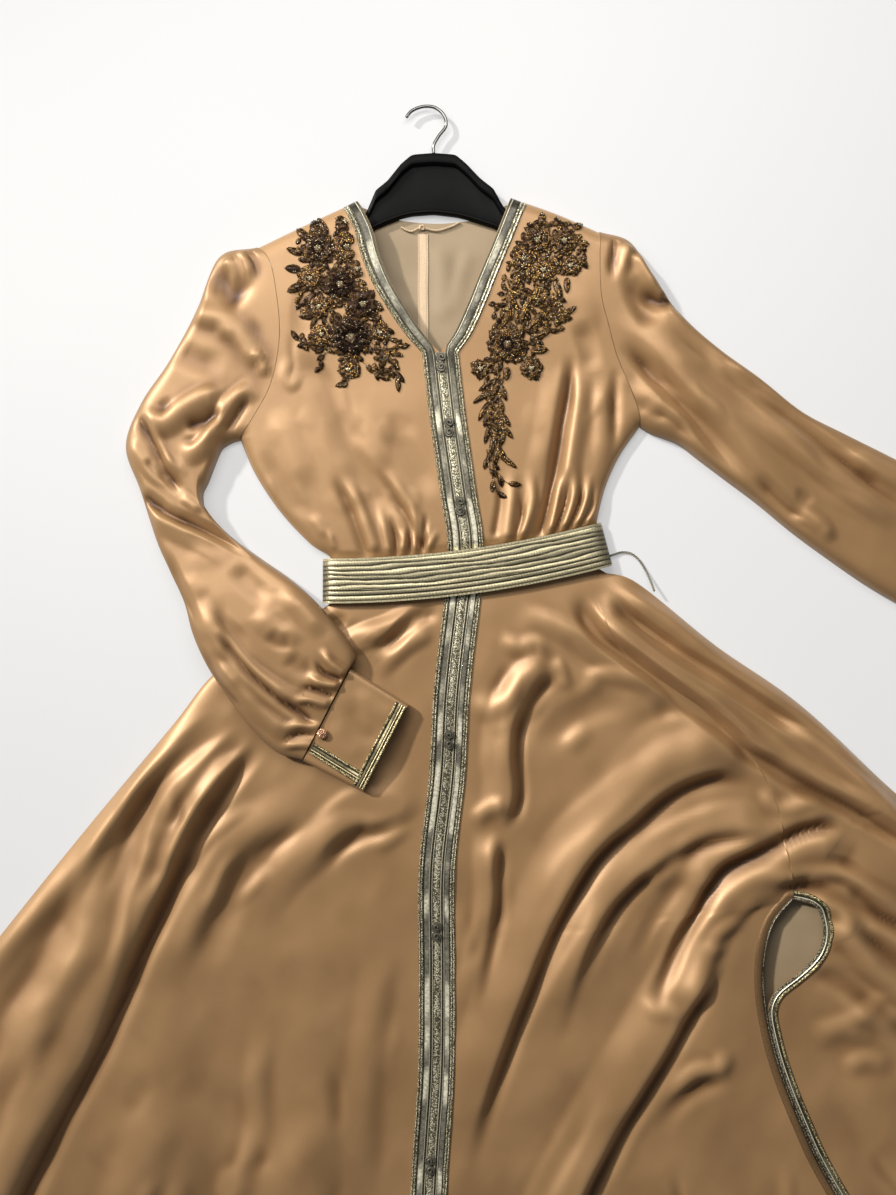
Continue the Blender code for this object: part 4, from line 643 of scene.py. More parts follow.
SKIRT_FOLDS = with_lesser([
    # left: the long roll from under the forearm, its hard crease and the rolls beside it
    ([(-27, -19), (-31, -26), (-35, -33), (-37.8, -38.6), (-41.6, -46.6), (-46, -56.6), (-50.6, -65),
      (-55, -73.6), (-62, -88)], 2.5, 7, 1.25, (.12, 0), 2, 1.3),
    ([(-24, -20.4), (-30.3, -29.3), (-34.9, -38.3), (-38.9, -47.4), (-43.1, -57.2), (-47.6, -65.5),
      (-51.4, -73.4), (-58, -88)], 1.3, 1, -.62, (.08, .1), 1.6, 1.4),
    ([(-25.6, -19.6), (-29, -23), (-33, -28.4), (-35.6, -33.6), (-38, -40)], 1.1, 1.3, -.5, (.2, .2)),
    ([(-27, -21.5), (-30.6, -26), (-33.6, -31), (-36, -36.4)], 1.1, 1.4, .55, (.2, .2)),
    ([(-27.6, -18), (-33, -22.6), (-37.1, -27.1), (-39.7, -35.4), (-41.4, -42), (-43.9, -51.9)], 1.2, 2,
      -.55, (.15, .4), 1.8, 1.5),
    ([(-31, -17), (-36, -22.4), (-41, -29.6), (-44, -37), (-47, -46)], 1.7, 2.4, .6, (.2, .3)),
    ([(-33.3, -21), (-39, -29), (-43.9, -36.8), (-51.3, -48.2), (-58, -60)], 2.6, 1.8, -.5, (.2, .4)),
    ([(-43, -41), (-48, -49), (-52, -56), (-56, -63)], 2.6, 3.8, .7, (.3, .4)),
    ([(-34, -20.4), (-42, -30), (-50, -40), (-60, -53)], 1.6, 1.6, .42, (.2, .3)),
    ([(-56, -50), (-64, -64), (-70, -78)], 3.2, 4.3, .62, (.4, .1)),
    ([(-50, -54), (-58, -70), (-64, -86)], 2.4, 2.4, -.5, (.4, .2)),
    # left: the broad middle, nearly flat
    ([(-16.4, -26.6), (-19, -27.8), (-26.5, -32.3), (-30.3, -36.8), (-34.9, -45.9), (-38, -54)], 2.6, 3,
      .52, (.25, .4)),
    ([(-17.6, -30), (-24, -34.4), (-28, -40), (-32, -49)], 2.2, 2.2, -.34, (.3, .4)),
    ([(-5, -26), (-9.6, -29.2), (-13, -29.3), (-17, -33), (-21, -36.6), (-26, -43)], 2, 2.8, .62,
      (.2, .5), 2, 1.4),
    ([(-6, -29), (-10.6, -31.6), (-14, -32.6), (-18, -37)], 1.3, 1.4, -.38, (.3, .5)),
    ([(-33, -61), (-37, -68), (-42, -80)], 3.2, 3.8, .5, (.4, .3)),
    ([(-25, -66), (-26.6, -72), (-30, -80)], 1.8, 1.2, .42, (.4, .3)),
    ([(-15, -50), (-19, -72), (-22, -104)], 6, 5.3, .62, (.5, 0)),
    ([(-9.4, -44), (-11.6, -60), (-12.4, -78)], 1.8, 2.6, .4),
    ([(-26, -60), (-31, -78), (-35, -99)], 5.5, 4.2, -.5, (.5, 0)),
    ([(-8, -17), (-9, -22), (-8, -26)], 2, 2, -.25, (.3, .4)),
    # left: pulled out from under the belt
    ([(-5, -4.5), (-9, -7), (-13, -8.5), (-17, -10.5)], 1.6, 1.3, .7, (.2, .4), 2, 1.4),
    ([(-2.6, -5.2), (-6, -6), (-9, -9), (-12, -10)], 1.2, 1, -.62, (.2, .4), 1.6, 1.4),
    ([(-14, -5.6), (-16, -7), (-20, -9)], 1, 1.1, -.5, (.2, .4), 1.6, 1.4),
    ([(-3.6, -7.4), (-7, -9.4), (-11, -13)], 1.2, 1.6, .42, (.2, .4)),
    # right: the bundle of rolls along the side, from the belt's end
    ([(16.6, -1.8), (21, -4.4), (25, -6.8), (30, -10.9), (35, -14.3), (40, -17.7), (45, -22), (50, -27.8),
      (60, -38)], 1.4, 2.4, 1.15, (.1, .2)),
    ([(15.4, -3), (19.4, -7.2), (25, -11.1), (30, -14.1), (35, -17.6), (40, -20.6), (45, -24.6),
      (50, -29), (60, -40)], 1.2, 2.6, 1.1, (.1, .3), 2, 1.4),
    ([(17, -4), (20, -6.5), (25, -10.2), (30, -13.3), (35, -16.6), (41, -20.6)], 1.1, 1, -1.1, (.1, .2),
      1.5, 1.4),
    ([(14, -4.4), (16, -6.6), (20, -10), (25, -13.4), (30, -17), (34, -20.4), (38, -23), (43, -26),
      (48, -28.8), (56, -35)], 1.5, 1.3, .8, (.1, .3)),
    ([(13, -3.6), (16, -8), (20, -11.1), (25, -14.8), (28.5, -17.6), (31.8, -20.4), (33.6, -22.2),
      (36.4, -23.6), (39, -25.4), (43, -27.4), (47, -29.4), (51, -31.8), (58, -36)], 1.1, 1.2, -1.3,
      (.08, .2), 1.5, 1.4),
    ([(6, -5.2), (10, -6.4), (14, -8.6), (18, -10.9), (22, -13.8), (26, -16.6)], 1.2, 1.8, .5, (.2, .3)),
    ([(50, -29), (58, -36), (68, -48)], 2.8, 2, .62, (.3, .4)),
    # right: short folds beside the button band
    ([(1.4, -14.6), (2.6, -16.8), (4.4, -16), (6.6, -13.6), (8.6, -11.4), (10.2, -10.6)], 1.6, 1.5, .45,
      (.2, .2)),
    ([(4, -8.2), (6.4, -9.5), (8.6, -9), (10.4, -10.6)], 1.1, 1.2, .45),
    ([(10.6, -10.6), (11.6, -12.4), (12, -15)], .9, 1.2, .36),
    ([(12.6, -15.8), (14.4, -14.6), (16, -12.8), (19, -13.2), (22, -14.4)], 1.2, 1.2, .4),
    ([(9, -22), (12, -18.6), (16, -16.6), (20, -15.6)], 2.2, 2, -.36),
    ([(11, -11.2), (9.2, -12.8), (7.2, -15.6), (5.7, -18.6), (5.3, -22), (5.5, -25.5), (5.1, -28.3),
      (3.4, -30.8)], 1.2, 3, .72, (.15, .15), 2, 1.4),
    ([(10.8, -12.4), (8.1, -15.8), (6.6, -19), (6.3, -23), (6.6, -27), (6, -29.4), (4.6, -31)], .9, .9,
      -.5, (.12, .2), 1.6, 1.4),
    ([(.8, -30.4), (3, -28.6), (5, -28.4)], 1.1, 1.1, .42, (.3, .2)),
    ([(3.3, -31.2), (3.1, -35), (3.2, -39), (2.7, -43), (1.5, -48), (.4, -53)], 1, 2, .66, (.15, .3), 2,
      1.4),
    ([(4.2, -31.6), (4.1, -36), (4.1, -40), (3.4, -44), (2.2, -49)], .9, .8, -.42, (.2, .3), 1.6, 1.4),
    # right: the fan of folds that meets at the slit's top
    ([(34.5, -25), (33, -21.8), (29, -20.6), (25, -21.8), (22, -23.6), (18, -27), (15, -30.6), (12, -35),
      (9.5, -40), (8, -44)], 3, 3.4, .5, (.12, .5)),
    ([(22, -17.6), (25, -16.4), (28, -17.8)], 1.6, 1.6, -.3),
    ([(35, -26), (36.6, -28.2), (38.4, -28.6), (41, -27.8), (44, -27.2)], 1.3, 1, .5, (.2, .4)),
    ([(34, -24.6), (30, -23.8), (26, -25), (22, -27.5), (19, -30), (15, -33.6), (12.2, -38), (9.6, -43.4),
      (7.2, -49), (4.6, -56), (1.6, -64), (-1, -74)], 1.3, 4.6, 1, (.1, .3), 2, 1.35),
    ([(34.6, -25.8), (31, -25.1), (28, -25.6), (25, -26.8), (22, -29), (20, -30.8), (17, -33.5),
      (15, -35.9), (13, -39), (11, -42.8), (9.3, -46.6), (8, -50.2), (5, -58), (.5, -72)], 1.2, .9, -.6,
      (.1, .3), 1.6, 1.4),
    ([(37, -31), (33, -30.9), (29, -31.5), (25, -33.2), (22, -35.2), (19.3, -37.4), (16.3, -40.6),
      (13.8, -45), (11.8, -51), (9.6, -58)], 1.2, 2.8, .85, (.1, .4), 2, 1.4),
    ([(36.4, -31.8), (32.6, -31.9), (29, -32.6), (25.4, -34.2), (22.6, -36.2), (20, -38.5), (17.4, -41.9),
      (15, -46.6), (13.4, -52)], 1.1, .8, -.42, (.15, .4), 1.6, 1.4),
    ([(36, -32.2), (32, -32.9), (28, -34.2), (24, -35.8), (21, -37.4)], 2, 1, .5, (.2, .12)),
    ([(45, -29.6), (40, -30.3), (37, -31.9), (33.4, -33.6), (30.4, -35), (28.4, -37.4), (27.2, -39.6),
      (25.4, -42.6), (23.8, -46), (22.4, -50)], 1.2, 2.8, .66, (.12, .45)),
    ([(45, -30.8), (42, -30.8), (39, -31.8), (36, -33.4), (33, -34.7), (31, -35.8), (29.6, -37.5),
      (28.5, -39.4), (27.4, -41.4), (25.8, -44.2), (24.2, -48), (22, -52.6)], 1, 1, -.75, (.1, .15), 1.6,
      1.4),
    ([(46, -32.4), (41, -33.1), (37.6, -34.8), (35, -36.2), (32.6, -37.9), (30.6, -39.8), (29.2, -41.8),
      (27.8, -44.8), (26.2, -48.6), (25, -52)], 2.8, 1.2, .75, (.12, .45), 2, 1.4),
    ([(34, -37.6), (36, -36.8), (38.6, -36.9), (41, -36.5), (44, -36.3), (47, -37.3), (50, -39.6),
      (58, -45)], 1.3, 1.2, .62, (.15, .3)),
    ([(36, -38.2), (39, -38), (42, -38.3), (46, -40.4), (51, -43.4)], 1, .9, -.5, (.2, .3), 1.6, 1.4),
    ([(39.8, -38.2), (43, -39.8), (47, -42), (51, -44.4), (60, -50)], 1.1, 1.4, .6, (.15, .3)),
    ([(45.4, -37.9), (47.6, -39.8), (50, -41.8), (54, -44)], .9, .9, -.5, (.2, .3), 1.6, 1.4),
    ([(29.5, -44), (28, -48), (26, -52)], 1.4, 1.6, .5, (.2, .3)),
    ([(33.6, -42), (31, -42.8), (29.6, -44.6), (31.6, -46)], 1.1, 1.2, .36),
    ([(21.6, -50.6), (22.4, -52.4), (24.6, -52.6), (25, -54.4)], 1.1, 1.1, .3),
    ([(30.4, -45.4), (27, -51), (23.4, -57), (20, -62.6), (16.4, -69), (13, -75.4), (9, -85), (5, -97)],
      1.4, 5, 1.2, (.12, .2), 2, 1.3),
    ([(29.6, -49), (27, -53.4), (24.3, -58), (20.9, -63.6), (17.4, -70), (14, -76.6), (10.4, -87)], 1.2,
      1, -.55, (.1, .3), 1.6, 1.4),
    ([(30.2, -57), (30.2, -59.3), (27, -60), (23.5, -64)], 1.5, 1.2, .56, (.2, .4)),
    ([(31, -60.5), (26, -63), (22.5, -67.5)], 1.4, 1.1, -.46, (.2, .5)),
    ([(31, -70), (33, -84), (37, -98)], 5.3, 4.6, .7, (.4, 0)),
    ([(24, -72), (24, -86), (24, -100)], 3.5, 3.5, -.46, (.4, .1)),
    # beyond the slit
    ([(43.6, -41.4), (45.6, -43.6), (48, -46.6), (51, -49.4), (60, -56)], 1.6, 1.8, .95, (.12, .4)),
    ([(40.6, -49.8), (43, -48.9), (46, -50.4), (49.4, -53), (58, -60)], 1.1, 1.2, -.62, (.2, .4), 1.6,
      1.4),
    ([(41, -56), (45, -54.6), (48.5, -53.4), (54, -55)], 1.6, 1.8, .5, (.2, .3)),
    ([(44.6, -60), (47.6, -58.4), (51, -59.4)], 1.2, 1.4, .4),
    ([(46, -58), (52, -70), (60, -86)], 3.9, 3.9, .7, (.3, .1)),
    ([(65, -48), (72, -62), (72, -80)], 3.2, 3.9, .78, (.3, .1)),
    ([(52, -60), (62, -72), (69, -84)], 2.9, 2.9, -.46, (.3, .1)),
], 41, 12.0, 0.3)
SKIRT_FOLD_BREADTH, SKIRT_FOLD_DEPTH = 1.22, 1.12  # how far the folds fill out
SWELL_REACH = 60.0  # distance below the waist at which the broad swells are at their full
SKIRT_RISE = (2.3, 3.2)  # how far below the waist it starts to rise, and over what distance
BELTED_HEIGHT = 1.05  # height of the fronts under the belt


def skirt_height(xy):
    """Outer height of the skirt. Under the belt it lies low and plain."""
    below = waist_y(xy[..., 0]) - xy[..., 1]
    height = SKIRT_HEIGHT + relief(xy, SKIRT_FOLDS, SKIRT_FOLD_BREADTH) * SKIRT_FOLD_DEPTH
    height = height + ripples(xy, 3, 9, 10.0, 30.0, 0.36) * np.clip(below / SWELL_REACH, 0, 1)
    height = height + ripples(xy, 31, 9, 3.5, 9.0, 0.06)
    clear = ease((below - SKIRT_RISE[0]) / SKIRT_RISE[1])
    height = height * clear + BELTED_HEIGHT * (1 - clear)
    near_arm = ease((11.0 - from_curve(xy, smooth(FOREARM_ON_SKIRT))[0]) / 3.0)
    height = np.where(height > SLEEVE_UNDER, height + (SLEEVE_UNDER - height) * near_arm, height)
    over = height - SKIRT_LOWEST
    height = SKIRT_LOWEST + (over + np.sqrt(over ** 2 + 0.02)) / 2
    level = REST + back_lift(xy)
    outline = np.minimum(from_curve(xy, OUTLINE_LEFT)[0], from_curve(xy, OUTLINE_RIGHT)[0])
    return level + np.maximum(height - level, 0.3) * rolled(outline)


def rolled(distance):
    """0 at a rolled edge, 1 beyond its reach, on a quarter circle."""
    return np.sqrt(1 - (1 - np.clip(distance / ROLL, 0, 1)) ** 2)


def slit_rows(side):
    """The side seam and one edge of the slit, at the skirt's rows: -1 front, 1 back."""
    upper = int(SKIRT_CELL_ROWS * SEAM_SHARE)
    curve = np.vstack([along(SIDE_SEAM, np.linspace(0, 1, upper)),
                       along(SLIT_FRONT, np.linspace(0, 1, SKIRT_CELL_ROWS - upper + 1))[1:]])
    run = np.gradient(curve, axis=0)
    east = unit(np.stack([-run[:, 1], run[:, 0]], -1))
    curve = curve + east * side * SEAM / 2
    if side > 0:
        curve[:, 0] += np.interp(curve[:, 1], *SLIT_OPENING.T, left=0, right=0)
    return curve


satin = satin_finish("gold_satin", (.325, .186, .080), (.388, .227, .103), 0.47, 0.36, 0.24)
rows = np.linspace(0, 1, SKIRT_CELL_ROWS)
centre = along(CENTRE_SKIRT, rows)


def front_panel(name, xy, height):
    """The cloth of one front piece, of the given outer height."""
    points, faces, tint = cloth_panel(with_height(xy, height), REST + back_lift(xy))
    panel = make(name + "_cloth", points, faces, satin, tint=tint)
    dress(panel, name)
    return panel


skirt_edges = [
    ("skirt_front_left", along(OUTLINE_LEFT, rows), centre - [SEAM / 2, 0], SKIRT_LEFT_COLS,
     waist_line(WAIST_LEFT_END, 0.2, -SEAM / 2), HEM_LEFT, (0.84, 1.10), 0.53),
    ("skirt_front_right", centre + [SEAM / 2, 0], slit_rows(-1), SKIRT_RIGHT_COLS,
     waist_line(0.2, SEAM_TOP_X, -SEAM / 2), HEM_RIGHT, (0.66, 1.10), 0.45),
    ("skirt_back_turn", slit_rows(1), along(OUTLINE_RIGHT, rows), TURN_COLS,
     waist_line(SEAM_TOP_X, WAIST_RIGHT_END, -SEAM / 2), HEM_TURN, (0.68, 0.98), 0.235),
]
for name, left, right, cols, waist, hem, flat, area in skirt_edges:
    xy = patch(left, right, even(len(rows), cols), waist, hem, 2.5)
    height = settled(skirt_height(xy), 1 if cols == SKIRT_LEFT_COLS else 2)
    panel = front_panel(name, xy, height)

# ---- bodice fronts ----
# Two fronts of the same satin, gathered into the belt in small uneven tucks and rounded
# over the hanger at the shoulders. They meet under the button band.
BODICE_CHEST = 1.45  # height of the front over the chest
BODICE_SHOULDER = 2.15  # and over the hanger in the shoulders
BODICE_RISE = (2.4, 1.3)  # how far above the waist it starts to rise, and over what distance
NECK_DEPTH_ROWS, BODICE_LOWER_ROWS, BODICE_COLS = 70, 91, 101
BODICE_ARM_ROWS = 82  # rows down the armhole, the rest down the side

CENTRE_FRONT = smooth([(-2.9, 25.3), (-2.05, 18), (-1.35, 13), (-0.65, 8), (0.0, 4), (0.2, waist_y(0.2))])
NECK_LEFT = smooth([(-12.9, 43.7), (-11, 40), (-10, 36.5), (-8.5, 33), (-6, 29), (-3.9, 26.3),
    (-2.9, 25.3)])
NECK_RIGHT = smooth([(5.6, 44.1), (3.6, 39), (1.7, 34.5), (0.2, 30.8), (-1.3, 27.6), (-2.9, 25.3)])
SHOULDER_LEFT = smooth([(-24.8, 38.1), (-19, 40.9), (-12.9, 43.7)])
SHOULDER_RIGHT = smooth([(5.6, 44.1), (11, 42.2), (16, 40)])

BODICE_FOLDS = with_lesser([
    # left front
    ([(-20, 25.5), (-17, 22), (-15.5, 18), (-14, 14), (-11, 9.5), (-8.5, 4)], 2, 2.6, -.49, (.2, .2)),
    ([(-18.5, 24), (-16.6, 19), (-15.6, 15), (-13, 10)], 1.6, 2, .23, (.2, .2)),
    ([(-15.6, 11), (-14.2, 8), (-13, 5), (-11.7, 1.2)], .9, 1.1, -.49, (.3, 0), 1.2, 1.5),
    ([(-14.2, 11), (-12.4, 7), (-10.8, 2.6)], 1, 1.2, .38, (.4, 0)),
    ([(-10.6, 12), (-8.5, 8.4), (-7, 6), (-5, 2.5)], .8, .9, -.41, (.3, 0), 1.2, 1.5),
    ([(-9.4, 12), (-7.2, 8.4), (-4.4, 4)], .9, 1.1, .29, (.4, 0)),
    ([(-10, 18), (-6, 12), (-3.5, 8)], 2, 1.8, -.32, (.4, .3)),
    ([(-12.5, 20), (-10.6, 15), (-9.6, 11)], 1.8, 1.8, .17, (.4, .3)),
    ([(-20.8, 25), (-21.3, 22.6), (-20.4, 21.6), (-19.8, 23.4)], 1.1, 1.1, .2),
    ([(-20.6, 28), (-20.4, 24.6), (-20.3, 22.6)], .9, .9, -.14, (.4, .3), 1.3),
    ([(-22.6, 19), (-20.6, 14), (-18.6, 9)], 2.4, 1.8, .29),
    ([(-24.2, 14), (-21.6, 9.4), (-18.6, 5)], 1.6, 1.4, -.23),
    ([(-18.2, 6.4), (-17.3, 5), (-16.4, 3.4)], 1, 1, .2, (.4, .3)),
    ([(-18.8, 33), (-19.4, 29), (-18.9, 26)], 1.8, 1.6, -.2),
    # gathers over the belt, left
    ([(-16.2, 4.6), (-15.6, 2.4)], .55, .6, .26, (.5, 0)),
    ([(-10.4, 8.4), (-9.6, 4.8), (-9, 1.6)], .7, .7, .36, (.6, 0)),
    ([(-7.6, 4.6), (-7.2, 3.4), (-7.4, 1.8)], .55, .6, .4, (.5, 0)),
    ([(-6.4, 8), (-5.9, 4.6), (-5.9, 1.9)], .6, .7, .4, (.6, 0)),
    ([(-3.2, 4.4), (-3.8, 3.2), (-4.4, 2.2)], .5, .55, .38, (.5, 0)),
    ([(-8.9, 6.4), (-8.2, 3.6), (-8.2, 1.6)], .45, .5, -.6, (.5, 0), 1.3),
    ([(-6.6, 5), (-6.5, 3), (-6.6, 1.8)], .45, .45, -.6, (.5, 0), 1.3),
    ([(-4.6, 6.6), (-4.8, 3.6), (-5.2, 2)], .45, .5, -.6, (.5, 0), 1.3),
    # right front: the dart crease and the fuller gathers beside it
    ([(12.7, 25.4), (12.4, 21), (11.7, 17), (10.9, 12), (9.9, 7), (8.9, 3.6)], .9, 1.2, -.85, (.2, 0),
      1.2, 1.5),
    ([(13.5, 24), (13.3, 19), (12.6, 14), (11.8, 9)], 1.8, .8, .5, (.3, .2)),
    ([(11.2, 24), (10.2, 17), (8.6, 9.6)], 1, 2.2, .26),
    ([(9.4, 30), (12, 31.4), (14, 30), (13.6, 27)], 2.4, 2.8, .24),
    ([(13.4, 29), (14.6, 26), (15.2, 23)], 1.6, 1.6, -.29),
    ([(17.9, 24), (17.8, 18), (17.9, 13.4)], 1, 1.1, -.38, (.3, .3), 1.4),
    ([(16.4, 23), (16.2, 17), (16.2, 11.5)], 1.5, 1.4, .29),
    ([(3.8, 11), (4.2, 8), (3.6, 4)], .8, .8, -.38, (.4, 0), 1.3),
    ([(5.4, 12), (5.6, 8.4), (5, 3.2)], 1, 1, .46, (.5, 0)),
    ([(7.6, 12), (8, 7.6), (6.6, 3.4)], .9, 1, .52, (.5, 0)),
    ([(6.6, 9), (6.8, 6), (6, 3.2)], .55, .55, -.46, (.5, 0), 1.3),
    ([(11.3, 11), (10.8, 8), (10, 4)], .8, .9, .52, (.4, 0)),
    ([(13.2, 12.4), (12.9, 8.4), (11.6, 4.2)], .8, .9, .52, (.5, 0)),
    ([(14.8, 11.4), (14.4, 8), (13, 4.4)], .7, .8, .49, (.5, 0)),
    ([(16.2, 10), (15.6, 7.4), (14.4, 5)], .7, .7, .43, (.5, 0)),
    ([(12.4, 10.4), (12, 7.4), (10.8, 4.2)], .5, .5, -.49, (.4, 0), 1.3),
    ([(14.1, 10), (13.6, 7.4), (12.3, 4.4)], .5, .5, -.46, (.4, 0), 1.3),
    ([(15.6, 8.6), (15, 6.6), (13.7, 4.8)], .45, .45, -.43, (.4, 0), 1.3),
], 42, 9.0, 0.12)


def shoulder_height(xy):
    return BODICE_CHEST + (BODICE_SHOULDER - BODICE_CHEST) * ease((xy[..., 1] - 21) / 14)


def bodice_height(xy):
    """Outer height of the bodice fronts. Under the belt they lie low and plain."""
    height = shoulder_height(xy) + relief(xy, BODICE_FOLDS) + ripples(xy, 11, 8, 7.0, 20.0, 0.03)
    clear = ease((xy[..., 1] - waist_y(xy[..., 0]) - BODICE_RISE[0]) / BODICE_RISE[1])
    height = height * clear + BELTED_HEIGHT * (1 - clear)
    level = REST + back_lift(xy)
    edges = [SHOULDER_LEFT, SHOULDER_RIGHT, SIDE_LEFT, SIDE_RIGHT]
    nearest = np.min([from_curve(xy, edge)[0] for edge in edges], axis=0)
    return level + (height - level) * rolled(nearest)


bodice_edges = [
    ("bodice_front_left",
     bent(ARMHOLE_LEFT + [SEAM / 2, 0], SIDE_LEFT, BODICE_ARM_ROWS,
          NECK_DEPTH_ROWS + BODICE_LOWER_ROWS - BODICE_ARM_ROWS),
     bent(NECK_LEFT, CENTRE_FRONT - [SEAM / 2, 0], NECK_DEPTH_ROWS, BODICE_LOWER_ROWS),
     SHOULDER_LEFT, waist_line(WAIST_LEFT_END, 0.2, SEAM / 2), (0.34, 0.47), 0.095),
    ("bodice_front_right",
     bent(NECK_RIGHT, CENTRE_FRONT + [SEAM / 2, 0], NECK_DEPTH_ROWS, BODICE_LOWER_ROWS),
     bent(ARMHOLE_RIGHT - [SEAM / 2, 0], SIDE_RIGHT, BODICE_ARM_ROWS,
          NECK_DEPTH_ROWS + BODICE_LOWER_ROWS - BODICE_ARM_ROWS),
     SHOULDER_RIGHT, waist_line(0.2, WAIST_RIGHT_END, SEAM / 2), (0.32, 0.47), 0.088),
]
for name, left, right, shoulder, waist, flat, area in bodice_edges:
    xy = patch(left, right, even(len(left), BODICE_COLS), shoulder, waist, 6)
    height = settled(bodice_height(xy), 1)
    panel = front_panel(name, xy, height)

# ---- sleeves ----
# Full sleeves eased into the armhole and gathered into the cuff. The left one is bent
# back at the elbow and its forearm lies on the skirt; the right one is thrown out.
SIDE_HEIGHT = 0.60  # height of a sleeve at its folded long edges
SLEEVE_GAP = 0.045  # between the sleeve and its armhole
SLEEVE_FOLD_DEPTH = (0.5, 0.9)  # share of the folds' depth at the cuff, and what it gains beyond
SLEEVE_ROWS, SLEEVE_TOP_COLS, SLEEVE_UNDER_COLS = 171, 84, 16
Section = namedtuple("Section", "outer inner lift height")
# one row of a sleeve: its two folded long edges, how far it is lifted, its thickness

SLEEVE_LEFT = [Section(*row) for row in [
    ((-24.8, 38.1), (-26.8, 15.1), 0, 2), ((-29.3, 36.9), (-27.6, 14.9), 0, 2.1),
    ((-32, 30.4), (-28.4, 14.5), 0, 2.1), ((-35.2, 24.5), (-29.1, 13.9), 0, 2.1),
    ((-38.5, 19.6), (-29.8, 12.3), 0, 2.2), ((-40.4, 14.4), (-30.6, 10.2), 0, 2.2),
    ((-38.7, 9.2), (-31.3, 8.4), 0, 2.1), ((-36.8, 3.4), (-30.6, 5.8), 0, 2.1),
    ((-35, -.5), (-27.6, 3.3), 0, 2), ((-33.2, -4.2), (-24.4, 1), .55, 1.9),
    ((-32.1, -8), (-21, -1.3), 1.15, 1.8), ((-30.3, -11.9), (-18.2, -3.6), 1.5, 1.8),
    ((-27.7, -15.8), (-15.8, -6.2), 1.55, 1.8), ((-25.2, -19.2), (-13.9, -8.6), 1.55, 1.8),
    ((-22.2, -21.9), (-12.9, -10.6), 1.55, 1.6), ((-19.2, -22.8), (-13.6, -12), 1.55, 1.25),
]]
SLEEVE_RIGHT = [Section(*row) for row in [
    ((16, 40), (20.9, 16.7), 0, 2), ((19.6, 38.8), (22.2, 15.9), 0, 2.2),
    ((22.2, 34.9), (23.8, 15.3), 0, 2.2), ((25.8, 30), (25.7, 14.5), 0, 2.1),
    ((30.4, 25.9), (28.2, 12.6), 0, 2.1), ((35.2, 22.4), (31.4, 10.2), 0, 2),
    ((40, 18.6), (35, 7.5), 0, 2), ((45, 16), (39, 4.2), 0, 2),
    ((50.2, 13.4), (43.2, 1.1), 0, 2), ((55.2, 10.8), (48, -2.2), 0, 2),
    ((59.4, 8), (52.6, -4.8), 0, 1.9), ((61.8, 5.6), (56, -5.9), 0, 1.6),
    ((62.4, 3.8), (57.1, -6), 0, 1.25),
]]
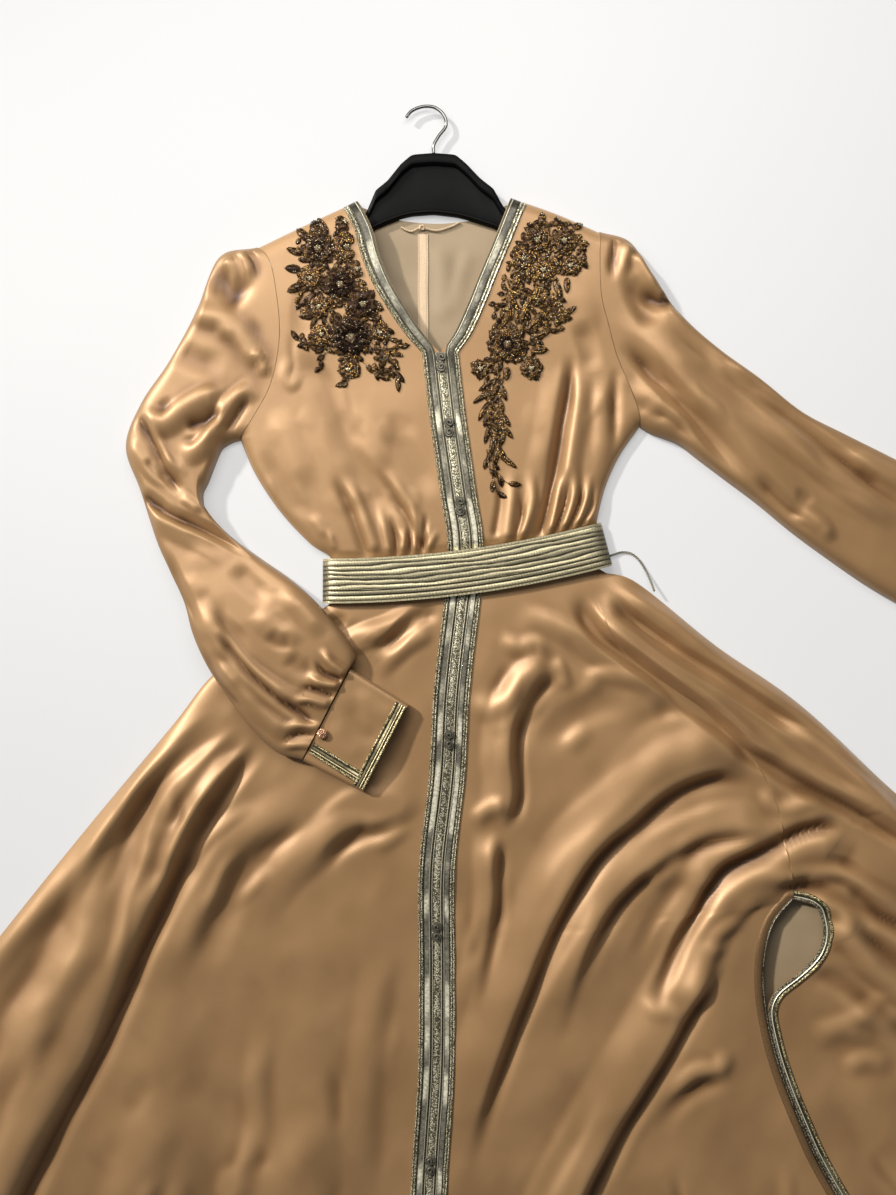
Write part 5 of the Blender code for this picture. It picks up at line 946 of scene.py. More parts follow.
SLEEVE_FOLDS_LEFT = with_lesser([
    # eased head and upper arm
    ([(-26.6, 37.6), (-25.6, 35.4), (-25.4, 33)], .8, .9, .38, (.1, .5)),
    ([(-25.6, 37.4), (-24.6, 35.2), (-24.2, 33)], .6, .6, -.33, (.1, .5), 1.4),
    ([(-28.2, 36.4), (-27.4, 34.4), (-27.4, 32)], .9, 1, .3, (.1, .5)),
    ([(-31, 33.5), (-28.6, 33.4), (-25.6, 31)], 3, 2.5, -.55),
    ([(-33, 30.2), (-30.6, 29.6), (-28.6, 29), (-26, 26.6), (-24.4, 23.6)], 2.1, 1.7, .45, (.2, .2)),
    ([(-25, 25.6), (-24, 24.2), (-23.6, 22.4)], .8, .9, .38, (.2, .3)),
    ([(-34.6, 26), (-31.4, 24.2), (-28, 23.6)], 2.1, 2.1, -.3, (.3, .4)),
    ([(-38.6, 18.4), (-35.5, 17.2), (-33, 19), (-30.5, 20.3), (-28, 20.2)], 1.5, 2.3, .55, (.2, .2)),
    ([(-34, 13.6), (-31.6, 14), (-29.6, 16.4), (-27.6, 19.6), (-24.6, 22)], 1.3, 2.1, .5, (.2, .2)),
    ([(-33, 16.4), (-30.6, 17.2), (-28.4, 18.6)], 1.3, 1.4, -.4, (.2, .3), 1.4),
    ([(-28.6, 15.6), (-26.8, 18.4), (-25.4, 20.6)], 1, 1, -.33, (.2, .3), 1.4),
    # elbow
    ([(-38.6, 18), (-36.8, 14.4), (-34.8, 10.4), (-33.2, 8.6)], 1.1, 1.1, -.55, (.15, .2), 1.4, 1.6),
    ([(-37.4, 17), (-35.6, 13.4), (-33.8, 10.6)], 1, 1.6, .33),
    ([(-39.4, 15), (-38, 12.4), (-36.6, 10.8), (-34.8, 9.6)], 1, 1.2, .24, (.2, .3)),
    ([(-37.6, 12.6), (-36.4, 11), (-35, 10)], .8, .8, -.25, (.2, .3), 1.4),
    ([(-38.4, 8.6), (-35.2, 6.2), (-31.6, 4.6), (-28, 2.8), (-25.2, 1.3)], 1.4, .9, -.53, (.1, .3), 1.4,
      1.6),
    ([(-37.8, 7), (-34.4, 5), (-30.6, 3.2), (-27, 1.2)], 1, 2.2, .4, (.2, .4)),
    ([(-33.6, 8.4), (-32.2, 7.4), (-31.2, 6.2)], .9, .9, .2),
    # forearm
    ([(-35.4, 2), (-33.6, -2.6), (-30.6, -8.2)], 1.4, 1.3, -.38, (.3, .4), 1.4),
    ([(-31, -3.4), (-28.6, -8), (-25.6, -11.6), (-22, -14.2), (-18.6, -16)], 1.3, 2.8, .5, (.2, .2)),
    ([(-28.8, -7.6), (-26.6, -10.8), (-24, -13.6), (-21.6, -15.6), (-19, -17.4), (-17.4, -18.8)], .9, 1,
      -.58, (.15, .1), 1.4, 1.6),
    ([(-29.6, -10.4), (-26.4, -14.4), (-22.6, -18), (-19.6, -20.2)], 1.1, 1.7, .38, (.2, .2)),
    ([(-31.4, -9.2), (-28.6, -13.6), (-25.4, -17.4)], 1.1, 1.1, -.3, (.3, .3), 1.4),
    ([(-27.4, .2), (-25.2, -2.2), (-22.6, -4.4)], 1.7, 1.7, -.28, (.3, .4)),
    ([(-24.6, -5), (-22.4, -7.2), (-20.8, -7.8), (-19.4, -6.8)], 1.6, 2, .24),
    ([(-23, -7.6), (-21.8, -8.8), (-20, -8.8)], 1.3, 1.3, -.2),
    ([(-20.8, -10.4), (-19.2, -11.8), (-17.6, -11.6)], 1.5, 1.6, -.2),
    ([(-21.8, -2.4), (-18.6, -5.4), (-16.4, -8.2)], 1.4, 1.8, .25),
    # puckers where the sleeve is gathered into the cuff
    ([(-14.4, -12.4), (-15.8, -11.2), (-17, -9.4)], .7, .8, .45, (0, .5)),
    ([(-14.8, -13.2), (-16.6, -12.4), (-17.6, -10.8)], .6, .6, -.43, (0, .5), 1.4),
    ([(-15.2, -14), (-17, -13.6), (-18.6, -12.4)], .7, .7, .45, (0, .5)),
    ([(-15.8, -15.2), (-17.8, -14.4), (-19.6, -14.2)], .6, .6, -.43, (0, .5), 1.4),
    ([(-16.4, -16.2), (-18.4, -15.6), (-20.4, -15.8)], .7, .7, .43, (0, .5)),
    ([(-17.4, -18.8), (-19.6, -18.6), (-21.6, -19)], .7, .7, .45, (0, .5)),
    ([(-17.8, -19.8), (-19.8, -19.8), (-21.4, -20.6)], .6, .6, -.43, (0, .5), 1.4),
    ([(-18.4, -21), (-20.2, -21), (-22, -21.4)], .7, .7, .43, (0, .5)),
], 43, 9.0, 0.16)
SLEEVE_FOLDS_RIGHT = with_lesser([
    ([(20.6, 33.2), (22.8, 31.4), (24.8, 31.6), (26.4, 30.2)], 1, 1.6, -.6, (.3, .2), 1.6, 1.6),
    ([(19.4, 38.2), (18.6, 35.6), (18.2, 33)], 1, .9, .34, (.1, .5)),
    ([(17.9, 38.8), (17.4, 36), (17.2, 33.4)], .8, .8, -.31, (.1, .5), 1.4),
    ([(20.3, 37.4), (21.8, 34.6), (23, 32)], 1.8, 1.6, .44, (.2, .4)),
    ([(19.6, 34.4), (20.8, 31), (22.6, 28)], 2.2, 2, -.39),
    ([(17.6, 30.4), (22, 26.5), (27, 21), (32, 16), (36, 11), (41, 6), (46, 1.6)], 3.4, 2, .6, (.2, .4)),
    ([(24.4, 29), (28, 26), (33, 22), (39, 17.4)], 2, 1.8, -.34, (.3, .4)),
    ([(18.4, 27), (22.6, 22.4), (28, 16.4), (33, 9.8)], 1.8, 1.5, -.55, (.2, .3), 1.4, 1.6),
    ([(19.6, 22.4), (23.2, 19.4), (27.4, 15.4)], 1.8, 2.1, .39, (.3, .4)),
    ([(21.6, 18.6), (24.4, 17.2), (27, 14.6)], 1.2, 1.2, -.31, (.3, .4), 1.4),
    ([(29, 27), (36, 21.6), (44, 16.8)], 1.8, 1.3, .26),
    ([(31, 20.4), (37, 15.6), (43, 11), (47, 8), (53, 4.2)], 2.9, 1.8, .52),
    ([(34, 20.8), (40, 16.6), (45, 12.4), (50, 8.4), (55, 5.6)], 1.4, 1.6, -.49, (.2, .3), 1.4, 1.6),
    ([(34, 11), (38, 7), (41.6, 4.8)], 1.5, 1.6, -.44, (.3, .3), 1.4),
    ([(38.4, 6.4), (41.6, 5.2), (43.6, 2.8)], 1.3, 1.3, .34),
    ([(44, 14), (50, 10.8), (56, 7.4)], 1.6, 1.3, .31),
    ([(60.6, 4.4), (57.6, 5.4), (55, 6.8)], .8, .8, .47, (0, .5)),
    ([(60, 2.4), (57, 3.6), (54.4, 4.4)], .8, .8, .47, (0, .5)),
    ([(59, .4), (56.2, 1.6), (53.4, 2.4)], .8, .8, .47, (0, .5)),
    ([(58.2, -1.8), (55.4, -.8), (52.8, .2)], .8, .8, .47, (0, .5)),
    ([(57.6, -4), (54.8, -3), (52, -2.2)], .8, .8, .47, (0, .5)),
], 44, 9.0, 0.16)


def width_of(left, right):
    return np.linalg.norm(right - left, axis=1)


def sleeve_loops(sections, armhole, folds, side, seed):
    """Outer loops of a sleeve: its rounded top and, after it, its flat underside."""
    shares = np.linspace(0, 1, SLEEVE_ROWS)
    outer = along(smooth([s.outer for s in sections]), shares)
    inner = along(smooth([s.inner for s in sections]), shares)
    knots = np.linspace(0, 1, len(sections))
    lift = np.interp(shares, knots, [s.lift for s in sections])[:, None]
    height = np.interp(shares, knots, [s.height for s in sections])[:, None]
    hole = armhole + [side * SLEEVE_GAP, 0]
    outer[0] = hole[0]
    inner[0] = hole[-1]
    width = width_of(outer, inner)[:, None]
    spread = (1 - np.cos(np.linspace(0, math.pi, SLEEVE_TOP_COLS))) / 2
    u = np.repeat((0.5 * spread + 0.5 * np.linspace(0, 1, SLEEVE_TOP_COLS))[None], SLEEVE_ROWS, 0)
    xy = patch(outer, inner, u, hole, None, 9)
    joined_in = ease(1 - shares * 5)[:, None]
    base = height * (1 - joined_in) + shoulder_height(xy) * joined_in
    free = np.minimum(1, (1 - shares) * 14)[:, None]
    depth = SLEEVE_FOLD_DEPTH[0] + SLEEVE_FOLD_DEPTH[1] * free
    base = base + relief(xy, folds) * depth + ripples(xy, seed, 8, 6.0, 16.0, 0.03) * free
    low_side = SIDE_HEIGHT * (1 - joined_in) + REST * 1.5 * joined_in
    z = lift + low_side + np.maximum(base - low_side, 0.2) * rolled(np.minimum(u, 1 - u) * width)
    under_u = even(SLEEVE_ROWS, SLEEVE_UNDER_COLS)
    flat = patch(outer, inner, under_u, hole, None, 9)
    under = with_height(flat, lift * np.ones_like(under_u))
    return np.hstack([with_height(xy, z), under[:, ::-1]])


def loop_normals(grid):
    """Normals of loops that close on themselves, turned out."""
    n = unit(np.cross(np.gradient(grid, axis=0), np.roll(grid, -1, 1) - np.roll(grid, 1, 1)))
    return n if ((grid - grid.mean(1, keepdims=True)) * n).sum() > 0 else -n


RIM_SHADE = 0.7  # painted shade at a sleeve's long edges, where the cloth turns under
# depth of the painted crease shade on sleeves and cuffs
SLEEVE_CREASE_DARK = 4.2


def tube_of_cloth(grid, top_cols):
    """A hollow flattened tube of satin with both ends open."""
    inner = grid - loop_normals(grid) * SHELL
    inner[..., 2] = np.maximum(inner[..., 2], 0.02)
    # painted crease shade and crest highlight, and painted shade along the rims of the top
    shade = painted_crease_shade(grid[..., 2], SLEEVE_CREASE_DARK)
    in_from_rim = np.minimum(np.arange(top_cols), np.arange(top_cols)[::-1]) / top_cols
    shade[:, :top_cols] *= (RIM_SHADE + (1 - RIM_SHADE) * ease(in_from_rim * 7))[:, None]
    shade[:, top_cols:] = 1.0
    return *shell(grid, inner, wrap=True), both_sides(shade)


sleeves = [("sleeve_left", SLEEVE_LEFT, ARMHOLE_LEFT, SLEEVE_FOLDS_LEFT, -1, 21),
           ("sleeve_right", SLEEVE_RIGHT, ARMHOLE_RIGHT, SLEEVE_FOLDS_RIGHT, 1, 22)]
for name, sections, armhole, folds, side, seed in sleeves:
    loops = sleeve_loops(sections, armhole, folds, side, seed)
    points, faces, tint = tube_of_cloth(loops, SLEEVE_TOP_COLS)
    arm = make(name + "_cloth", points, faces, satin, sharp=70, tint=tint)
    dress(arm, name)

# ---- cuffs ----
# Deep straight cuffs of doubled satin, edged with flat gilt braid round the end and along
# the slit, and closed with a button of small rose-gold beads.
CUFF_SIDE, CUFF_HEIGHT = 0.5, 1.0  # height at a cuff's long edges and between them
CUFF_ROUND = 0.6  # how wide those edges are rounded
CUFF_BAND = 1.5  # width of the braid round the end
CUFF_ROWS, CUFF_TOP_COLS, CUFF_UNDER_COLS = 41, 56, 12
CUFFS = {
    "left": [Section((-19.1, -22.9), (-13.5, -12.1), 1.55, CUFF_HEIGHT),
             Section((-12.0, -26.6), (-6.7, -16.3), 1.55, CUFF_HEIGHT)],
    "right": [Section((62.5, 3.75), (57.2, -6.05), 0, CUFF_HEIGHT),
              Section((69.4, 0.0), (64.1, -9.8), 0, CUFF_HEIGHT)],
}
# the cuff's soft buckles, as shares along it and across it
CUFF_DENTS = [((0.15, 0.75), (0.55, 0.55), (0.95, 0.6), -0.16), ((0.1, 0.5), (0.4, 0.34), (0.8, 0.3), 0.12),
              ((0.2, 0.9), (0.6, 0.8), (1.0, 0.84), 0.14)]
BRAID_LIFT = 0.05  # braids lie this far off the satin, on their stitches
BRAID_STEP = 0.20  # length of a braid's faces
GILT = np.array([0.50, 0.42, 0.24])
PEWTER = np.array([0.10, 0.095, 0.06])


def at_cuff(ends, along_it, across):
    """A place on a cuff from shares along it and across it."""
    start, end = ends
    along_it, across = np.asarray(along_it)[..., None], np.asarray(across)[..., None]
    outer = np.array(start.outer) * (1 - along_it) + np.array(end.outer) * along_it
    inner = np.array(start.inner) * (1 - along_it) + np.array(end.inner) * along_it
    return outer * (1 - across) + inner * across


def cuff_height(ends):
    """The height function of one cuff's upper face."""
    outer = np.array([ends[0].outer, ends[1].outer])
    inner = np.array([ends[0].inner, ends[1].inner])
    dents = [Fold([tuple(at_cuff(ends, *place)) for place in dent[:3]], 1.6, 1.6, dent[3], (.3, .3))
             for dent in CUFF_DENTS]

    def height(xy):
        edge = np.minimum(from_curve(xy, outer)[0], from_curve(xy, inner)[0])
        curve = np.sqrt(1 - (1 - np.clip(edge / CUFF_ROUND, 0, 1)) ** 2)
        soft = relief(xy, dents) * ease(edge / 2)
        return ends[0].lift + CUFF_SIDE + (CUFF_HEIGHT - CUFF_SIDE) * curve + soft
    return height


# A braid's pattern is a table of its bands from one edge to the other.
Band = namedtuple("Band", "kind low high height tone")
# kind: plait, cord or foil. low, high: centimetres from the braid's first edge.
KINDS = ["plait", "cord", "foil"]
PAINTED_GLINTS = [(11.3, 0.4), (5.3, 2.2), (29.0, 1.0)]  # wavelengths and phases of the painted glints along a foil


def painted_shine(v, shift):
    """Painted reflection along a foil ribbon's length, from dull to a white painted glint."""
    waves = sum(np.sin(2 * math.pi * v / length + phase + shift) for length, phase in PAINTED_GLINTS)
    return ease(0.5 + waves * 0.42)


def read_bands(bands, a, v):
    """Relief, tint and kind of face for points a across a braid and v along it."""
    raised = np.full(a.shape, 0.03)
    tint = np.ones(a.shape + (3,)) * SILVER * 0.3
    kind = np.zeros(a.shape, int)
    for number, band in enumerate(bands):
        inside = (a >= band.low) & (a < band.high)
        q = np.clip((a - band.low) / (band.high - band.low), 0, 1)
        tone = np.array(band.tone)
        if band.kind == "plait":
            rows = max(round((band.high - band.low) / 0.36), 1)
            rise = np.abs(np.sin(math.pi * q * rows)) ** 0.6
            # painted highlight on each plaited row's top, painted shade between the rows
            colour = tone * (0.45 + 0.75 * rise)[..., None]
        elif band.kind == "cord":
            rise = np.sqrt(np.clip(1 - (2 * q - 1) ** 2, 0, 1))
            # painted highlight along the cord's top
            colour = tone * (0.75 + 0.35 * rise)[..., None]
        else:
            rise = 0.75 + 0.25 * np.sin(math.pi * q) + 0.10 * np.sin(v * 1.7 + number)
            # painted glints along the foil, and a painted highlight down its middle
            painted_glint = painted_shine(v + 0.5 * (q - 0.5), number * 1.9)[..., None]
            colour = tone * (0.30 + 1.0 * painted_glint ** 1.4) * (0.8 + 0.2 * np.sin(math.pi * q))[..., None]
        raised = np.where(inside, band.height * rise + 0.03, raised)
        tint = np.where(inside[..., None], colour, tint)
        kind = np.where(inside, KINDS.index(band.kind), kind)
    return raised, tint, kind


def across_of(bands):
    """Places across a braid at which its surface is worked out."""
    places = [0.0]
    for band in bands:
        step = {"plait": 4, "cord": 4, "foil": 3}[band.kind]
        places += list(np.linspace(band.low, band.high - 0.001, step + 1))
    places.append(bands[-1].high)
    return np.unique(np.round(places, 4))


def lay_braid(first, second, lay, bands):
    """A braid over the cloth from one line to another, open underneath."""
    length = max(run_of(first)[-1], run_of(second)[-1])
    rows = int(length / BRAID_STEP) + 2
    shares = np.linspace(0, 1, rows)
    if len(first) == len(second):
        a_line, b_line = np.split(along(np.hstack([first, second]), shares), 2, 1)
    else:
        a_line, b_line = along(first, shares), along(second, shares)
    a = np.repeat(across_of(bands)[None], rows, 0)
    s = a / bands[-1].high
    columns = s.shape[1]
    xy = a_line[:, None] * (1 - s[..., None]) + b_line[:, None] * s[..., None]
    v = np.repeat((shares * length)[:, None], columns, 1)
    raised, tint, kind = read_bands(bands, a, v)
    ground = lay(xy)
    z = ground + BRAID_LIFT + raised
    z[:, 0] = ground[:, 0] - 0.02
    z[:, -1] = ground[:, -1] - 0.02
    return (with_height(xy, z).reshape(-1, 3), grid_faces(rows, columns), tint.reshape(-1, 3),
            kind[:-1, :-1].ravel())


def braided(name, parts):
    """One braid from its lengths, each kind of face with its own finish."""
    points, faces = joined([part[:2] for part in parts])
    trim = make(name, points, faces, plait_thread, tint=np.vstack([part[2] for part in parts]))
    trim.data.materials.append(cord_thread)
    trim.data.materials.append(foil_ribbon)
    kinds = np.concatenate([part[3] for part in parts]).astype(np.int32)
    trim.data.polygons.foreach_set("material_index", kinds)
    return trim


def stitched(name, roughness, metallic, stitch):
    """Plaited metal thread: small round stitches, with painted highlight on top and painted shade between.
    """
    mat, tree, shader = blank_finish(name, roughness, metallic)
    cells = texture(tree, "ShaderNodeTexVoronoi", 1 / (stitch * CM))
    cells.inputs["Randomness"].default_value = 0.6
    from_top = cells.outputs["Distance"]
    own_tint(tree, shader, shades(tree, from_top, [(0.12, (2.1, 2.1, 2.0)), (0.55, (.16, .15, .12))]))
    relief_bump(tree, shader, from_top, 0.0005, 0.6, invert=True)
    return mat


plait_thread = stitched("plaited_thread", 0.40, 0.55, 0.17)
foil_ribbon = thread_finish("foil_ribbon", 0.30, 0.6, 300)
rose_thread = thread_finish("rose_beads", 0.22, 0.6, 900)
ROSE = np.array([0.62, 0.36, 0.22])
BUTTON_AT = (0.075, 0.33)  # shares along and across the cuff
BUTTON_BEADS, BEAD_SIZE = 46, 0.13
GOLDEN_TURN = math.pi * (3 - math.sqrt(5))  # from bead to bead, which spaces them evenly
CUFF_BANDS = [Band("plait", 0.0, 0.34, 0.12, GILT * 1.25), Band("cord", 0.34, 0.48, 0.02, PEWTER * 0.4),
              Band("foil", 0.48, 0.72, 0.05, GILT * 2.8), Band("cord", 0.72, 0.85, 0.02, PEWTER * 0.4),
              Band("cord", 0.85, 1.02, 0.13, GILT * 1.9), Band("cord", 1.02, 1.14, 0.02, PEWTER * 0.4),
              Band("plait", 1.14, 1.50, 0.13, GILT * 1.3)]


def facets(p):
    """Triangles between those points of a bead that are nearest each other."""
    apart = np.linalg.norm(p[:, None] - p, axis=-1)
    near = apart < 1.1 * apart[apart > 0].min()
    return np.array([(a, b, c) for a, b, c in combinations(range(len(p)), 3)
                     if near[a, b] and near[b, c] and near[a, c]])


def ball(radius=1.0):
    """A twenty-sided bead."""
    g = (1 + math.sqrt(5)) / 2
    p = unit(np.array([(-1, g, 0), (1, g, 0), (-1, -g, 0), (1, -g, 0), (0, -1, g), (0, 1, g),
                       (0, -1, -g), (0, 1, -g), (g, 0, -1), (g, 0, 1), (-g, 0, -1), (-g, 0, 1)]))
    return p * radius, facets(p)


def cut_bead():
    """An eight-sided bead, for the smallest."""
    p = np.vstack([np.eye(3), -np.eye(3)])[[0, 1, 3, 4, 2, 5]]
    return p, facets(p)


def bead_cloud(centres, radii, tints, shape=ball):
    """Many beads as one mesh, each with its own size and tint."""
    p, f = shape()
    centres, radii = np.asarray(centres, float), np.asarray(radii, float)
    points = (centres[:, None] + p[None] * radii[:, None, None]).reshape(-1, 3)
    faces = (f[None] + (np.arange(len(centres)) * len(p))[:, None, None]).reshape(-1, 3)
    return points, faces.tolist(), np.repeat(np.asarray(tints, float), len(p), 0)


rng = np.random.default_rng(5)
for side, ends in CUFFS.items():
    height = cuff_height(ends)
    rows = np.linspace(0.003, 1, CUFF_ROWS)[:, None]
    top_u = (1 - np.cos(np.linspace(0, math.pi, CUFF_TOP_COLS))) / 2
    xy = at_cuff(ends, rows + 0 * top_u, 0 * rows + top_u)
    under_u = np.linspace(0, 1, CUFF_UNDER_COLS)[::-1]
    flat = at_cuff(ends, rows + 0 * under_u, 0 * rows + under_u)
    loops = np.hstack([with_height(xy, height(xy)),
                       with_height(flat, np.full(flat.shape[:2], float(ends[0].lift)))])
    points, faces, tint = tube_of_cloth(loops, CUFF_TOP_COLS)
    cuff = make("cuff_%s_cloth" % side, points, faces, satin, sharp=70, tint=tint)
    dress(cuff, "cuff_" + side)

    length = float(np.linalg.norm(np.subtract(ends[1].outer, ends[0].outer)))
    band_share = CUFF_BAND / length
    t = np.linspace(0.03, 0.97, 40)
    end_band = lay_braid(at_cuff(ends, 1 - band_share + 0 * t, t), at_cuff(ends, 0.995 + 0 * t, t),
                         height, CUFF_BANDS)
    t = np.linspace(0.03, 0.86, 30)
    slit_band = lay_braid(at_cuff(ends, t, 0.215 - 0.03 * t), at_cuff(ends, t, 0.10 - 0.05 * t),
                          height, CUFF_BANDS)
    trim = braided("cuff_trim_" + side, [slit_band, end_band])
    dress(trim, "cuff_braid_" + side)

    middle = at_cuff(ends, *BUTTON_AT)
    level = float(height(middle[None])[0])
    k = np.arange(BUTTON_BEADS) + 0.5
    polar, turn = np.arccos(1 - 1.25 * k / BUTTON_BEADS), k * GOLDEN_TURN
    spots = np.stack([middle[0] + 0.52 * np.sin(polar) * np.cos(turn),
                      middle[1] + 0.52 * np.sin(polar) * np.sin(turn),
                      level + 0.22 + 0.42 * np.cos(polar)], -1)
    points, faces, tint = bead_cloud(spots, rng.uniform(0.9, 1.25, len(spots)) * BEAD_SIZE,
                                     ROSE * rng.uniform(0.7, 1.5, (len(spots), 1)))
    button = make("cuff_button_" + side, points, faces, rose_thread, tint=tint)
    dress(button, "cuff_knot_" + side)

# ---- front braids, button band and knots ----
# A wide woven trim runs from each shoulder down the neck and the whole front. From its
# outer edge in: a plait, a thin cord, a foil ribbon and another cord. Between the two lies
# the band of small worked chains that carries the knotted buttons and their loops.
BAND_HALF, BRAID_WIDTH = 0.60, 1.60
BAND_HEIGHT = 0.12
HEM_Y = -106.7


def front_height(xy):
    """Outer height of whichever front lies at each point, a touch under the belt."""
    above = xy[..., 1] > waist_y(xy[..., 0])
    return np.where(above, bodice_height(xy), skirt_height(xy))


BRIGHT = SILVER * 1.5
FRONT_BANDS = [Band("plait", 0.0, 0.62, 0.14, SILVER * 1.5), Band("cord", 0.62, 0.74, 0.02, PEWTER * 0.5),
               Band("foil", 0.74, 1.28, 0.07, SILVER * 2.1), Band("cord", 1.28, 1.42, 0.14, BRIGHT * 0.8),
               Band("cord", 1.42, 1.60, 0.02, PEWTER * 0.7)]
BAND_BANDS = [Band("cord", 0.0, 0.13, 0.12, BRIGHT), Band("plait", 0.13, 1.05, 0.11, SILVER * 1.3),
              Band("cord", 1.05, 1.18, 0.12, BRIGHT)]
NECK_INNER_FOOT, NECK_OUTER_FOOT = 26.2, 26.8  # heights where the neck's lines meet the centre's
NECK_FOIL_SHADE = (20.0, 0.75)  # height from which painted shade dulls the foil's painted glints, and by how much
centre_line = np.vstack([CENTRE_FRONT, CENTRE_SKIRT[1:]])
centre_line = centre_line[centre_line[:, 1] > HEM_Y]
for side, neck, way in (("left", NECK_LEFT, -1), ("right", NECK_RIGHT, 1)):
    shoulder = SHOULDER_LEFT if way < 0 else SHOULDER_RIGHT
    inner = np.vstack([neck[neck[:, 1] > NECK_INNER_FOOT] + [way * 0.06, 0],
                       centre_line + [way * BAND_HALF, 0]])
    outer = np.vstack([neck[neck[:, 1] > NECK_OUTER_FOOT] + [way * (BAND_HALF + BRAID_WIDTH), 0],
                       centre_line + [way * (BAND_HALF + BRAID_WIDTH), 0]])
    inner, outer = (line[line[:, 1] < np.interp(line[:, 0], *shoulder.T) - 0.25]
                    for line in (inner, outer))
    points, faces, tint, kinds = lay_braid(outer, inner, front_height, FRONT_BANDS)
    across = across_of(FRONT_BANDS)
    foil = (across >= FRONT_BANDS[2].low) & (across < FRONT_BANDS[2].high)
    # painted shade over the foil along the neck
    on_neck = ease((points[:, 1] - NECK_FOIL_SHADE[0]) / 4) * np.resize(foil, len(points))
    tint = tint * (1 - NECK_FOIL_SHADE[1] * on_neck)[:, None]
    trim = braided("front_trim_" + side, [(points, faces, tint, kinds)])
    dress(trim, "braid_" + side)

band = braided("button_band_chains", [lay_braid(centre_line - [BAND_HALF - 0.01, 0],
                                                centre_line + [BAND_HALF - 0.01, 0],
                                                front_height, BAND_BANDS)])
dress(band, "button_band")

KNOT_LEVELS = [24.2, 16.5, 7.2, -20.5, -43.3, -71.0, -96.0]
KNOT_COIL, KNOT_TURNS, KNOT_THREAD = 0.58, 1.9, 0.15


def coil(x, y, level, hand):
    """A flat coil of cord, domed at its middle, with its outer end towards its twin."""
    t = np.linspace(0, 1, 46)
    out = KNOT_COIL * (1 - 0.82 * t)
    turn = hand * math.pi / 2 + hand * t * KNOT_TURNS * 2 * math.pi
    spiral = np.stack([x + out * np.cos(turn), y + out * np.sin(turn), level + 0.22 * t], -1)
    return sweep(spiral, KNOT_THREAD, 6)


for number, y in enumerate(KNOT_LEVELS, 1):
    order = np.argsort(centre_line[:, 1])
    x = float(np.interp(y, centre_line[order, 1], centre_line[order, 0]))
    level = float(front_height(np.array([[x, y]]))[0]) + BAND_HEIGHT
    parts = [coil(x, y - KNOT_COIL, level + KNOT_THREAD, 1),
             coil(x, y + KNOT_COIL, level + KNOT_THREAD, -1)]
    core, core_faces = ball(KNOT_COIL * 0.9)
    parts += [(core * [1, 1, 0.3] + [x, y + way * KNOT_COIL, level + 0.03], core_faces)
              for way in (-1, 1)]
    points, faces = joined(parts)
    knot = make("knot_%d_cord" % number, points, faces, cord_thread, tint=SILVER * 0.34)
    dress(knot, "knot_%d" % number)

# ---- slit braid ----
# Narrower trim over both edges of the slit. The front edge has a bronze facing and a dull
# plait; the side edge has a plait, a bright cord, a foil and a gold plait. Each is one
# piece that fans round the slit's rounded top.
BRONZED = np.array([0.22, 0.13, 0.06])
SLIT_BANDS = {
    "front": [Band("cord", 0.0, 0.86, 0.05, BRONZED * 1.2), Band("cord", 0.86, 0.96, 0.08, BRONZED * 0.4),
              Band("plait", 0.96, 1.20, 0.09, SILVER * 0.55)],
    "side": [Band("plait", 0.0, 0.36, 0.10, SILVER * 0.8), Band("cord", 0.36, 0.50, 0.15, BRIGHT * 1.5),
             Band("foil", 0.50, 0.74, 0.05, PEWTER * 1.8), Band("plait", 0.74, 1.10, 0.12, GILT * 1.1)],
}
SLIT_POINTS = 180
SLIT_TURN = 8  # rows in which the braid fans round the slit's top


def outward_of(line, way):
    """Unit normals of a line that runs down, to the left (-1) or right (+1) of it."""
    run = np.gradient(line, axis=0)
    return unit(np.stack([-run[:, 1], run[:, 0]], -1)) * way


first_row = int(SKIRT_CELL_ROWS * SEAM_SHARE) - 1
for name, side in (("front", -1), ("side", 1)):
    edge = along(slit_rows(side)[first_row:], np.linspace(0, 1, SLIT_POINTS))
    for _ in range(3):
        edge[1:-1] = (edge[:-2] + edge[1:-1] * 2 + edge[2:]) / 4
    normals = outward_of(edge, side)
    blend = np.linspace(0, 1, SLIT_TURN, endpoint=False)[:, None]
    fan = unit(np.array([0.12, 1.0]) * (1 - blend) + normals[0] * blend)
    normals = np.vstack([fan, normals])
    edge = np.vstack([np.repeat(edge[:1], SLIT_TURN, 0), edge])
    bands = SLIT_BANDS[name]
    offset = edge + normals * bands[-1].high  # the braid's other edge
    lines = (offset, edge) if side < 0 else (edge, offset)
    trim = braided("slit_trim_" + name, [lay_braid(*lines, skirt_height, bands)])
    dress(trim, "slit_braid_" + name)

# ---- belt ----
# The matching belt, worked solid in metal thread: eight long ribs side by side with a
# corded edge above and below. It goes round the waist, under and over the garment.
BELT_HALF_LENGTH = 16.95
BELT_TOP, BELT_FALL = 1.50, 2.6  # inside height over the front, and reach of its ends
BELT_RIBS, RIB_HEIGHT = 8, 0.16
RIB_TONES = np.array([1.15, 0.75, 1.2, 0.9, 0.7, 1.2, 0.85, 1.15])
RIB_STITCH, EDGE_STITCH = 0.34, 0.3  # length of a stitch
BELT_TINT = np.array([0.74, 0.66, 0.42])
BELT_SHADE = 1.3  # painted shade darkens its folded ends over this length
BELT_EDGE = 0.05  # share of the width in each corded edge
BELT_ROWS, BELT_FRONT_COLS, BELT_BACK_COLS = 81, 220, 24


